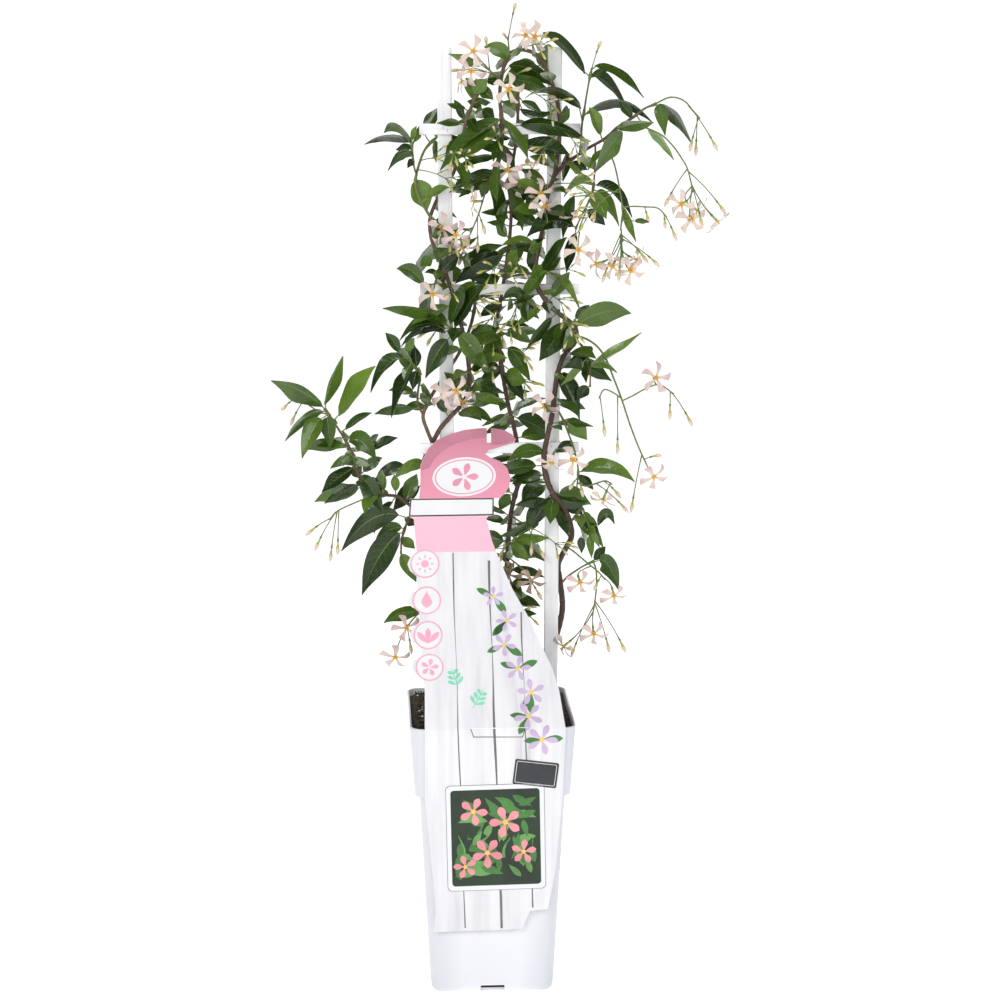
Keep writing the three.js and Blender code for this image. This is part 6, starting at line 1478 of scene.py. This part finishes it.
TAB_THICKNESS = 0.8


def label_y(z):
    """Depth of the card's front: down the collar below the rim, back to the rung above it, and
    upright at its head. Both bends are rounded by averaging over a short height."""
    z = np.asarray(z, float)[..., None] + LABEL_ROUNDING * np.linspace(-1, 1, 5)
    hang = LABEL_HANG_Y + (RIM_Z - z) * COLLAR_SLOPE
    rise = (np.minimum(z, LABEL_BEND_Z) - RIM_Z) / (LABEL_BEND_Z - RIM_Z)
    lean = LABEL_HANG_Y + (LABEL_REST_Y - LABEL_HANG_Y) * rise
    return np.where(z <= RIM_Z, hang, lean).mean(axis=-1)


def on_card(places, level=0.0):
    """Points on the card's front, or level millimetres before it, from places as seen."""
    places = np.asarray(places, float)
    found = places[:, 1]
    for _ in range(8):
        spot = seen(places[:, 0], places[:, 1], label_y(found))
        found = spot[:, 2]
    return spot - np.array([0, level, 0])


def inside(places, loop):
    """Whether each place lies inside a closed loop, by the number of its edges to the right."""
    start, end = np.asarray(loop, float), np.roll(loop, -1, axis=0)
    x, z = places[:, 0, None], places[:, 1, None]
    crosses = (start[None, :, 1] > z) != (end[None, :, 1] > z)
    rise = np.where(end[:, 1] == start[:, 1], 1e-9, end[:, 1] - start[:, 1])
    meet = start[None, :, 0] + (z - start[None, :, 1]) * ((end - start)[None, :, 0] / rise)
    return (crosses & (x < meet)).sum(axis=1) % 2 == 1


def card_shape(outline, level, thickness, *holes):
    """A closed thin plate of the outline, cut at the card's bends, laid on the card's front."""
    loops = [np.asarray(loop, float) for loop in (outline, *holes)]
    corners = np.concatenate(loops)
    edges, first = [], 0
    for loop in loops:
        edges += [(first + k, first + (k + 1) % len(loop)) for k in range(len(loop))]
        first += len(loop)
    low, high = corners.min(0) - 5, corners.max(0) + 5
    bends = [EYE[2] + (z + turn * LABEL_ROUNDING - EYE[2]) * -EYE[1] / (float(label_y(z)) - EYE[1])
             for z in (RIM_Z, LABEL_BEND_Z) for turn in (-1, 0, 1)]
    for z in bends:
        if low[1] + 5 < z < high[1] - 5:
            edges.append((len(corners), len(corners) + 1))
            corners = np.concatenate([corners, [(low[0], z), (high[0], z)]])
    found = delaunay_2d_cdt([Vector(c) for c in corners.tolist()], edges, [], 0, 1e-5)
    flat = np.array([tuple(v) for v in found[0]])
    triangles = np.array(found[2])
    middle = flat[triangles].mean(axis=1)
    keep = inside(middle, loops[0])
    for hole in loops[1:]:
        keep &= ~inside(middle, hole)
    triangles = triangles[keep]
    used, triangles = np.unique(triangles, return_inverse=True)
    triangles = triangles.reshape(-1, 3)
    front = on_card(flat[used], level)
    points = np.concatenate([front, front + np.array([0, thickness, 0])])
    a, b, c = (front[triangles[:, k]] for k in range(3))
    backwards = np.cross(b - a, c - a)[:, 1] > 0
    triangles[backwards] = triangles[backwards][:, ::-1]
    sides = np.concatenate([triangles[:, [0, 1]], triangles[:, [1, 2]], triangles[:, [2, 0]]])
    known = set(map(tuple, sides.tolist()))
    rim = [(i, j) for i, j in known if (j, i) not in known]
    count = len(used)
    faces = [*triangles.tolist(), *(triangles[:, ::-1] + count).tolist(),
             *[(j, i, i + count, j + count) for i, j in rim]]
    return points, faces


def turned(x, z, dx, dz, turn):
    """Places that lie (dx, dz) from (x, z) before they are turned about it."""
    return np.stack([x + dx * math.cos(turn) - dz * math.sin(turn),
                     z + dx * math.sin(turn) + dz * math.cos(turn)], axis=1)


def ring_loop(x, z, across, high=None, steps=40, turn=0.0):
    angle = np.arange(steps) * 2 * np.pi / steps
    return turned(x, z, across * np.cos(angle), (high or across) * np.sin(angle), turn)


def rounded_box(x, z, wide, high, corner, turn=0.0):
    """A rectangle with round corners about (x, z), tilted by turn degrees."""
    angle = np.linspace(0, 2 * np.pi, 24, endpoint=False) + 0.001
    dx = np.sign(np.cos(angle)) * (wide / 2 - corner) + corner * np.cos(angle)
    dz = np.sign(np.sin(angle)) * (high / 2 - corner) + corner * np.sin(angle)
    return turned(x, z, dx, dz, math.radians(turn))


def blade_loop(x, z, length, width, turn, end=0.6):
    """A printed petal or leaf: it starts at (x, z), turn radians from upright, and is widest at
    the share end of its length."""
    share = np.concatenate([np.linspace(0, 1, 8), np.linspace(1, 0, 8)[1:-1]])
    side = np.concatenate([np.ones(8), -np.ones(6)])
    swell = np.sin(np.pi * share ** (math.log(0.5) / math.log(end))) ** 0.8
    return turned(x, z, side * swell * width / 2, share * length, -turn)


def print_flower(x, z, size, turn, petal_tint, heart_tint, level, slender=0.4):
    """Five petals and a round heart."""
    for k in range(5):
        angle = turn + k * 2 * np.pi / 5
        printed(blade_loop(x, z, size, size * slender, angle, 0.68), petal_tint, level)
    printed(ring_loop(x, z, size * 0.16, steps=12), heart_tint, level + PRINT_LIFT)


def printed(outline, tint, level, *holes):
    prints.append(card_shape(outline, level + PRINT_LIFT, PRINT_THICKNESS, *holes))
    tints.extend([tint] * len(prints[-1][1]))


def ink(name, *colour, spread=0.12, roughness=0.38):
    """Printing ink on satin card: one colour in fine uneven grain and soft wide clouds."""
    material, tree, shader = new_material(name, roughness)
    where = place_coordinate(tree)
    low = tuple(c * (1 - spread) for c in colour)
    high = tuple(min(1, c * (1 + spread)) for c in colour)
    grain = calculate(tree, "MULTIPLY_ADD", noise(tree, where, 900, 2), 0.3,
                      calculate(tree, "MULTIPLY", noise(tree, where, 45, 3), 0.7))
    feed(tree, shader, "Base Color", ramp(tree, grain, (0.3, low), (0.7, high)))
    return material


card_stock, tree, shader = new_material("card_stock", 0.36)
where = place_coordinate(tree)
height = split_axes(tree, where)[2]
grain = noise(tree, where, 60, 6, stretch=(2.2, 1, 0.07))
knots = noise(tree, where, 26, 3, stretch=(1.6, 1, 0.3))
boards = ramp(tree, calculate(tree, "MULTIPLY_ADD", knots, 0.35, calculate(tree, "MULTIPLY", grain, 0.65)),
              (0.28, (0.50, 0.49, 0.52)), (0.42, (0.69, 0.68, 0.715)), (0.6, (0.78, 0.775, 0.80)))
bands = on_card([(0.4, 349.1), (0.4, 379.5), (0.4, 394.7), (0.5, 447.2)])[:, 2] * MM
# The pink head darkens from the bar up to its top edge: painted shade.
pink = add_node(tree, "ShaderNodeMapRange", From_Min=bands[2], From_Max=bands[3])
tree.links.new(height, pink.inputs["Value"])
pink_head_with_painted_shade = ramp(tree, pink.outputs[0], (0.0, (0.74, 0.27, 0.38)), (0.6, (0.64, 0.23, 0.32)),
            (1.0, (0.54, 0.19, 0.26)))
pale = calculate(tree, "GREATER_THAN", height, bands[0])
deep = calculate(tree, "GREATER_THAN", height, bands[1])
colour = blend_colours(tree, pale, boards, (0.84, 0.48, 0.60, 1))
feed(tree, shader, "Base Color", blend_colours(tree, deep, colour, pink_head_with_painted_shade))
feed(tree, shader, "Roughness", calculate(tree, "MULTIPLY_ADD", grain, 0.12, 0.3))
add_bump(tree, shader, noise(tree, where, 700, 2), 0.03, 0.3)

plain_card, tree, shader = new_material("plain_card", 0.5)
fibres = noise(tree, place_coordinate(tree), 380, 4)
colour = ramp(tree, fibres, (0.3, (0.80, 0.80, 0.81)), (0.7, (0.86, 0.86, 0.87)))
feed(tree, shader, "Base Color", colour)
add_bump(tree, shader, fibres, 0.05, 0.4)

points, faces = card_shape(LABEL_OUTLINE, 0.0, LABEL_THICKNESS)
front_faces = sum(1 for face in faces if max(face) < len(points) // 2)
card = put_in_scene("plant_label.card", points, faces, card_stock, plain_card, sharp=30,
                    tints=[0] * front_faces + [1] * (len(faces) - front_faces))

# The tab's profile: back from the card over the rim, round a bend and down inside the wall.
tab_z = RIM_Z + 0.3
tab_front = LABEL_HANG_Y + 0.2
tab_back = -RIM_WIDTH / 2 + WALL + 0.3 + COLLAR_SLOPE * (HOOK_DROP + 2)
bend_y, bend_z = tab_back - TAB_THICKNESS, tab_z - TAB_THICKNESS
tab_foot = tab_z - HOOK_DROP
sides = []
for radius in (TAB_THICKNESS, 2 * TAB_THICKNESS):
    bend = [(bend_y + radius * math.sin(a), bend_z + radius * math.cos(a))
            for a in np.linspace(0, np.pi / 2, 5)[:-1]]
    sides.append([(tab_front, bend_z + radius), *bend,
                  (bend_y + radius, bend_z), (bend_y + radius, tab_foot)])
tab_loop = np.array(sides[1] + sides[0][::-1])
rings = [np.stack([np.full(len(tab_loop), HOOK_X + side * HOOK_HALF_WIDTH), *tab_loop.T], axis=1)
         for side in (-1, -0.97, 0.97, 1)]
tab_points, tab_faces = skin_over(rings)
count = len(tab_loop)
ends = [list(range(count))[::-1], list(range(3 * count, 4 * count))]
tab = put_in_scene("plant_label.tab", tab_points[:-2], [*tab_faces[:3 * count], *ends], plain_card, sharp=40)

# The darkest pink, used along the top of the head, is painted shade, not a print colour of the card.
inks = [ink("ink_white", 0.77, 0.77, 0.79, spread=0.03), ink("ink_pink", 0.74, 0.27, 0.40),
        ink("ink_grey", 0.035, 0.035, 0.04), ink("ink_seam", 0.13, 0.125, 0.135, spread=0.5),
        ink("ink_mint", 0.21, 0.62, 0.42), ink("ink_lilac", 0.54, 0.41, 0.61),
        ink("ink_leaf", 0.05, 0.18, 0.035, spread=0.4), ink("ink_slate", 0.022, 0.024, 0.03, spread=0.3),
        ink("ink_yellow", 0.85, 0.56, 0.10), ink("ink_deep_green", 0.007, 0.024, 0.007, spread=0.6),
        ink("ink_rose", 0.78, 0.27, 0.31, spread=0.25), ink("tongue_painted_shade", 0.46, 0.17, 0.24),
        ink("ink_blush", 0.84, 0.38, 0.50), ink("ink_fern", 0.12, 0.30, 0.075, spread=0.4)]
WHITE, PINK, GREY, SEAM, MINT, LILAC, LEAF, SLATE, YELLOW, DEEP, ROSE, TONGUE_SHADE, BLUSH, FERN = range(14)
prints, tints = [], []

# The head: two darker pink patches along its top, which are painted shade; an oval with a flower; and a bar
# below.
printed([(-50.9, 425.7), (-47.8, 431.4), (-40.9, 438.4), (-31, 443.0), (-19.2, 445.9), (-7.4, 447.2),
         (-2.6, 447.1), (-2.6, 440.6), (-13.7, 439.6), (-25.9, 436.2), (-36.1, 430.6), (-43.2, 424.0),
         (-47.3, 416.8), (-53.4, 414.8), (-53.5, 419.0)], TONGUE_SHADE, 0)
printed([(1.9, 447.0), (4.5, 446.9), (12, 445.3), (17.1, 442.3), (19.7, 438.6), (10.6, 435.4),
         (3.5, 434.5), (1.9, 435.5)], TONGUE_SHADE, 0)
oval = dict(x=-19.9, z=409.4, turn=0.06)
printed(ring_loop(across=25, high=15.6, **oval), WHITE, 0)
printed(ring_loop(across=23.2, high=14, **oval), PINK, 0.05, ring_loop(across=22.2, high=13.1, **oval)[::-1])
print_flower(oval["x"], oval["z"], 11.5, 0.3, PINK, WHITE, 0.1, 0.46)
printed([(-62.5, 392.1), (3.5, 392.1), (3.4, 378.2), (-63.6, 377.8)], GREY, 0)
printed([(-61.4, 391.1), (2.4, 391.1), (2.2, 379.4), (-62.4, 379.0)], WHITE, 0.05)

# Four round signs down the left edge: a sun, a drop, a sheaf and a flower.
signs = ((-51.1, 339.7, 11.6), (-49.8, 310.0, 11.4), (-48.9, 281.6, 11.6), (-47.8, 255.3, 11.2))
for x, z, reach in signs:
    printed(ring_loop(x, z, reach), WHITE, 0)
    printed(ring_loop(x, z, reach), BLUSH, 0.05, ring_loop(x, z, reach - 1.2)[::-1])
sun_x, sun_z, _ = signs[0]
for k in range(8):
    turn = k * np.pi / 4
    ray = blade_loop(sun_x + 3.9 * math.sin(turn), sun_z + 3.9 * math.cos(turn), 3.4, 1.2, turn)
    printed(ray, BLUSH, 0.05)
printed(ring_loop(sun_x, sun_z, 3), BLUSH, 0.05)
printed(blade_loop(-49.8, 317.8, 14, 8.6, np.pi, 0.66), BLUSH, 0.05)
for turn in (-0.75, 0, 0.75):
    printed(blade_loop(-48.9, 274.8, 13, 4.6, turn), BLUSH, 0.05)
print_flower(*signs[3][:2], 7.4, 0.2, BLUSH, WHITE, 0.05, 0.5)

# Three seams between the painted boards.
seams = (((-29.2, 348.3), (-20.2, 37.2), 0.9), ((-0.6, 341.8), (9.6, 36.6), 1.7),
         ((25, 299.6), (34.8, 53.7), 1.0))
for top, foot, wide in seams:
    share = np.linspace(0, 1, 14)[:, None]
    line = np.array(top) + (np.array(foot) - np.array(top)) * share
    line[:, 0] += 0.35 * np.sin(share[:, 0] * 19 + wide * 9)
    half = np.array([wide / 2, 0]) * (0.75 + 0.45 * np.sin(share * 13 + wide))
    printed(np.concatenate([line - half, (line + half)[::-1]]), SEAM, 0)

# A garland down the right edge: leaves first, then the flowers over them.
garland = [(k, share, 3 + 39 * share + 5 * math.sin(k * 2.1), 312.5 - 118 * share)
           for k, share in enumerate(np.linspace(0, 1, 7))]
for k, _, x, z in garland:
    printed(blade_loop(x, z, 17, 6, 2.5 + 1.4 * math.sin(k * 1.7)), LEAF, 0.05)
    printed(blade_loop(x, z, 15, 5, -1.9 + 0.8 * math.cos(k * 2.3)), LEAF, 0.05)
for k, share, x, z in garland:
    print_flower(x, z, 8.5 + 4.5 * share, k * 0.9, LILAC, YELLOW, 0.1)

# Three small twigs, of which the panel covers the lowest.
for x, z, turn in ((-24.4, 235.9, -0.3), (-14.1, 219.8, 0.5), (16.9, 73.1, 0.2)):
    printed(blade_loop(x, z, 20, 1.1, turn, 0.5), MINT, 0)
    for k in range(3):
        away = 5 + 4.6 * k
        leaf_x, leaf_z = x + away * math.sin(turn), z + away * math.cos(turn)
        for side in (-1, 1):
            printed(blade_loop(leaf_x, leaf_z, 8.5 - 1.5 * k, 3, turn + side * 0.9), MINT, 0)

# A dark board with a thin frame, and a framed panel of blooms among leaves.
board = dict(x=37.1, z=166.3, turn=-7)
printed(rounded_box(wide=35.5, high=21, corner=1.6, **board), SLATE, 0.2)
printed(rounded_box(wide=32.5, high=18, corner=1.2, **board), WHITE, 0.25,
        rounded_box(wide=31.7, high=17.2, corner=1.0, **board)[::-1])
panel = dict(x=5, z=113.4, turn=1.2)
frame_edge = rounded_box(wide=79, high=88, corner=4, **panel)
printed(rounded_box(wide=79.6, high=88.6, corner=4, **panel), GREY, 0.2, frame_edge[::-1])
printed(frame_edge, WHITE, 0.2)
printed(rounded_box(wide=72, high=80.5, corner=3, **panel), DEEP, 0.25)
panel_rolls = np.random.default_rng(5)
for k in range(110):
    x, z, turn, reach = panel_rolls.uniform((-28, 76.4, 0, 14), (38, 150.4, 6.28, 24))
    tip_x, tip_z = x + reach * math.sin(turn), z + reach * math.cos(turn)
    if abs(tip_x - panel["x"]) < 34 and abs(tip_z - panel["z"]) < 38:
        tint = (DEEP, LEAF, LEAF, FERN)[k % 4]
        printed(blade_loop(x, z, reach, 0.34 * reach, turn), tint, 0.3 + 0.0007 * k)
for x, z, size, turn in ((-13.2, 135.3, 12, 0.4), (12.7, 126.3, 13.5, 0.9), (27.4, 101.2, 10.5, 0.1),
                         (-1.8, 100.5, 13, 0.6), (-19.6, 88.9, 10, 1.0)):
    print_flower(x, z, size, turn, ROSE, YELLOW, 0.4, 0.5)
printed([(-15.4, 203.9), (-13.1, 197.0), (26.7, 196.5), (28.9, 203.3), (28.1, 203.3), (26.1, 197.1),
         (-12.5, 197.7), (-14.7, 203.9)], SEAM, 0.1)

points, faces = joined(prints)
artwork = put_in_scene("plant_label.print", points, faces, *inks, sharp=30, tints=tints)
for piece in (card, tab, artwork):
    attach(piece, "root")
    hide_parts("plant_label")


# Young growth.
# Small leaves in crossed pairs along the stems, and thin yellow-green stalks with buds and spent
# flower tubes, fill the plant between its large leaves. They are too small and many for the
# solids, so they are grown here by rule, each kept only where it touches nothing.
YOUNG_SPACING = 6.0
YOUNG_LEFT = -52.0
YOUNG_RIGHT = 92.0
YOUNG_LENGTH = (15, 34)
YOUNG_WIDTH_RATIO = 0.4
YOUNG_FOOT = 2.5
YOUNG_JITTER = 3.0
YOUNG_TURN_JITTER = 0.5
YOUNG_ARCH = 0.14
YOUNG_ROOM = 1.25
THINNER_ABOVE_Z = 630.0
THINNER_BY = 0.04
POST_ROOM = 2.0
CARD_REACH = (-66.0, 60.0)
CARD_TOP_Z = 449.0
RIM_ROOM = 4.0
CYME_TRIES = 12
CYME_ROOM = 1.2
REBUILD_AFTER = 25
YOUNG_LEAFY = dict(left_stem=(0.5, 1.0), left_twining_stem=(0.5, 1.0), right_stem=(0.3, 1.0),
                   centre_stem=(0.12, 1.0), centre_right_twig=(0.2, 1.0), middle_cross_shoot=(0.1, 1.0),
                   upper_left_shoot=(0.15, 1.0), left_flower_twig=(0.2, 1.0), middle_left_twig=(0.1, 1.0),
                   left_bough=(0.3, 0.9), upper_right_branch=(0.1, 0.6), green_drop_stem=(0.1, 1.0),
                   right_side_shoot=(0.1, 0.8), low_right_shoot=(0.1, 1.0), lower_middle_shoot=(0.1, 1.0))
CYMES = dict(left_stem=(6, 0.62, 0.98), left_twining_stem=(3, 0.55, 0.95), right_stem=(8, 0.35, 0.98),
             centre_stem=(10, 0.2, 0.98), middle_cross_shoot=(2, 0.3, 0.9), centre_right_twig=(2, 0.4, 0.95),
             green_drop_stem=(2, 0.3, 0.9), lower_middle_shoot=(2, 0.3, 0.9))


class Neighbours:
    """Points of what has grown so far, in a tree that is rebuilt as pieces are added."""

    def __init__(self, points):
        self.points = [points]
        self.rebuild()

    def rebuild(self):
        merged = np.concatenate(self.points)
        self.tree = KDTree(len(merged))
        for i, point in enumerate(merged.tolist()):
            self.tree.insert(point, i)
        self.tree.balance()
        self.fresh = []

    def distance(self, point):
        nearest = self.tree.find(Vector(point))[2]
        if self.fresh:
            nearest = min(nearest, np.linalg.norm(np.concatenate(self.fresh) - point, axis=1).min())
        return nearest

    def add(self, points):
        self.points.append(points)
        self.fresh.append(points)
        if len(self.fresh) > REBUILD_AFTER:
            self.rebuild()


def clear_of_woodwork(points, margin=1.0):
    """Whether all points lie in the plant's own room, outside posts, rungs, label and pot."""
    x, y, z = points.T
    aside = np.abs(x - TRELLIS_X)
    rung_back = -POST_THICKNESS / 2 - RUNG_GAP
    taken = (np.abs(aside - POST_SPACING / 2) < POST_WIDTH / 2 + POST_ROOM + margin) & (
        np.abs(y) < POST_THICKNESS / 2 + margin)
    by_rung = (aside < RUNG_LENGTH / 2 + margin) & (y > rung_back - RUNG_THICKNESS - margin) & (
        y < rung_back + margin)
    for height in RUNG_Z.values():
        taken |= by_rung & (np.abs(z - height) < RUNG_HEIGHT / 2 + margin)
    taken |= (z < CARD_TOP_Z) & (x > CARD_REACH[0]) & (x < CARD_REACH[1]) & (
        y < label_y(z) + LABEL_THICKNESS + margin)
    taken |= (x > YOUNG_RIGHT) | ((x < YOUNG_LEFT) & (z > RUNG_Z["middle"])) | (z < RIM_Z + RIM_ROOM)
    return not taken.any()


def rib_and_half(plan, share):
    """Points of a leaf's rib, and the way from each to about its margin."""
    half = plan["width"] / 2 * np.sin(np.pi * share)[:, None] * plan["across"]
    return bezier(plan["base"], plan["bend"], plan["tip"], share), half


young_rolls = np.random.default_rng(23)
grown = [row["fine_line"] for row in plantings]
for row in plantings:
    for plan in row["leaf_plans"]:
        rib, half = rib_and_half(plan, np.linspace(0, 1, 9))
        grown += [rib, rib - 0.5 * half, rib + 0.5 * half, rib - half, rib + half]
    grown += [plan["centre"][None] + 5 * np.eye(3) for plan in row["bloom_plans"]]
    grown += [plan["tip"][None] for plan in row["bud_plans"]]
around = Neighbours(np.concatenate(grown))
for row in plantings:
    if row["node"] not in YOUNG_LEAFY:
        continue
    line = row["line"]
    gone = lengths_along(line)
    first, last = (share * gone[-1] for share in YOUNG_LEAFY[row["node"]])
    parts = []
    for k, length in enumerate(np.arange(first, last, YOUNG_SPACING)):
        length = length + young_rolls.uniform(-YOUNG_JITTER, YOUNG_JITTER)
        root = point_at_length(line, length)
        axis = unit(point_at_length(line, length + 3) - point_at_length(line, length - 3) + 1e-6)
        side = unit(np.cross(axis, [0, 1, 0]) + 1e-6)
        front = np.cross(axis, side)
        turn = k * math.pi / 2 + young_rolls.uniform(-YOUNG_TURN_JITTER, YOUNG_TURN_JITTER)
        for twin in (0, math.pi):
            heading = math.cos(turn + twin) * side + math.sin(turn + twin) * front + 0.35 * axis
            heading = unit(heading + np.array([0, 0, -0.45 * young_rolls.random()]))
            reach = young_rolls.uniform(*YOUNG_LENGTH)
            base = root + heading * (YOUNG_FOOT + row["radius"][0])
            tip = base + heading * reach + np.array([0, 0, -0.22 * reach * young_rolls.random()])
            width = YOUNG_WIDTH_RATIO * reach * young_rolls.uniform(0.55, 1.0)
            plan = leaf_plan(root, base, tip, width, YOUNG_ARCH * reach, young_rolls.choice((-1, 1)))
            chance = young_rolls.random(6)
            if plan is None:
                continue
            rib, half = rib_and_half(plan, np.linspace(0.12, 1, 8))
            probe = np.concatenate([rib, rib - half, rib + half])
            room = YOUNG_ROOM + THINNER_BY * max(0.0, root[2] - THINNER_ABOVE_Z)
            if clear_of_woodwork(probe) and min(around.distance(p) for p in probe) > room:
                around.add(probe)
                chance[5] = 0.35 + 0.65 * chance[5]
                parts += [leaf_blade(plan, chance), leaf_stalk(plan, chance)]
    if parts:
        dress_stem(row, "young_leaves", parts, leaf_green, ["under", "tone"], sharp=70)


def cyme(row, draw):
    """A thin stalk from the stem that forks into a few buds and spent tubes, with the points of
    its lines for the test against neighbours."""
    _, low, high = CYMES[row["node"]]
    length = draw.uniform(low, high) * lengths_along(row["line"])[-1]
    root = point_at_length(row["line"], length)
    angle = draw.uniform(-1.5, 1.5)
    heading = unit(np.array([math.sin(angle), -0.75 * math.cos(angle), draw.uniform(-0.75, 0.35)]))
    reach = draw.uniform(14, 30)
    end = root + heading * reach + np.array([0, 0, -0.2 * reach])
    bend = root + heading * reach * 0.6
    line = bezier(root, bend, end, np.linspace(0, 1, 8))
    stalk = tube(line, np.linspace(0.5, 0.34, 8), 6)
    parts = [(*stalk, np.full(len(stalk[0]), 0.1))]
    probes = [line[2:]]
    for k in range(int(draw.integers(3, 7))):
        foot = bezier(root, bend, end, draw.uniform(0.55, 1.0))
        swing = heading + 0.75 * np.array([math.sin(k * 2.4), 0.3 * draw.uniform(-1, 1), math.cos(k * 2.4)])
        size = draw.uniform(12, 21)
        tip = foot + unit(swing + np.array([0, 0, -0.35])) * size
        bud = dict(root=foot, bend=(foot + tip) / 2 + np.array([0, 0, 0.1 * size]), tip=tip,
                   swell=max(0.2, 1 - 10.5 / size))
        parts.append(bud_spindle(bud, draw.random(), draw.uniform(-0.92, -0.5), 0.74))
        probes.append(bezier(foot, bud["bend"], tip, np.linspace(0.3, 1, 5)))
    return parts, np.concatenate(probes)


for row in plantings:
    if row["node"] not in CYMES:
        continue
    parts = []
    for _ in range(CYMES[row["node"]][0]):
        for _ in range(CYME_TRIES):
            made, probe = cyme(row, young_rolls)
            if clear_of_woodwork(probe, 1.6) and min(around.distance(p) for p in probe) > CYME_ROOM:
                around.add(probe)
                parts += made
                break
    if parts:
        dress_stem(row, "young_buds", parts, blossom, ["stage"], sharp=60)


# Stage.
# A plain pale floor that runs far behind the plant, a low pale wall round it at a distance, wide
# soft panels of light and a white sky.
FLOOR_REACH = 150000.0
FLOOR_GLOW = dict(From_Min=1.2, From_Max=4.5, To_Min=0.52, To_Max=0.88)
BACKDROP_REACH = 30000.0
BACKDROP_HEIGHT = 1500.0
BACKDROP_SIDES = 48
BACKDROP_GLOW = 0.55
MIDDLE_Z = 420.0

# The floor glows a little, and more with its distance in metres from the plant.
floor_paint, tree, shader = new_material("floor_paint", 0.7, Emission_Color=(1, 1, 1, 1))
speckle = noise(tree, place_coordinate(tree), 2, 2)
colour = ramp(tree, speckle, (0.3, (0.90, 0.90, 0.90)), (0.7, (0.92, 0.92, 0.92)))
feed(tree, shader, "Base Color", colour)
away = add_node(tree, "ShaderNodeVectorMath", operation="LENGTH")
tree.links.new(place_coordinate(tree), away.inputs[0])
glow = add_node(tree, "ShaderNodeMapRange", **FLOOR_GLOW)
tree.links.new(away.outputs["Value"], glow.inputs["Value"])
feed(tree, shader, "Emission Strength", glow.outputs[0])
backdrop_paint, _, _ = new_material("backdrop_paint", 0.7, Emission_Color=(1, 1, 1, 1),
                                    Emission_Strength=BACKDROP_GLOW)

corners = [[x * FLOOR_REACH, y * FLOOR_REACH, 0] for x, y in ((-1, -1), (1, -1), (1, 1), (-1, 1))]
floor = put_in_scene("floor", corners, [(0, 1, 2, 3)], floor_paint)
angle = np.arange(BACKDROP_SIDES) * 2 * np.pi / BACKDROP_SIDES
ring = BACKDROP_REACH * np.stack([np.cos(angle), np.sin(angle), 0 * angle], axis=1)
points = np.concatenate([ring, ring + np.array([0, 0, BACKDROP_HEIGHT])])
backdrop = put_in_scene("backdrop", points, grid_quads(2, BACKDROP_SIDES, closed=True), backdrop_paint)


def soft_panel(name, place, size, power, colour=(1, 1, 1)):
    """A large area light at a place in millimetres that looks at the middle of the plant."""
    data = bpy.data.lights.new(name, "AREA")
    data.shape = "RECTANGLE"
    data.size = size[0] * MM
    data.size_y = size[1] * MM
    data.energy = power
    data.color = colour
    lamp = bpy.data.objects.new(name, data)
    lamp.location = np.array(place) * MM
    aim = Vector((0, 0, MIDDLE_Z * MM)) - lamp.location
    lamp.rotation_euler = aim.to_track_quat("-Z", "Y").to_euler()
    bpy.context.scene.collection.objects.link(lamp)


soft_panel("key", (-1500, -1900, 2000), (900, 1100), 32, (1, 0.99, 0.97))
soft_panel("fill", (1900, -1500, 1500), (700, 1200), 13, (0.96, 0.98, 1))
soft_panel("front", (-100, -2900, 1700), (1000, 700), 12)
soft_panel("top", (0, 500, 2500), (1300, 900), 34)
world = bpy.data.worlds.new("sky")
world.use_nodes = True
sky = world.node_tree.nodes["Background"]
sky.inputs["Color"].default_value = (0.97, 0.985, 1, 1)
sky.inputs["Strength"].default_value = 0.24
bpy.context.scene.world = world
bpy.context.scene.view_settings.view_transform = "Standard"
bpy.context.scene.view_settings.exposure = 0.0
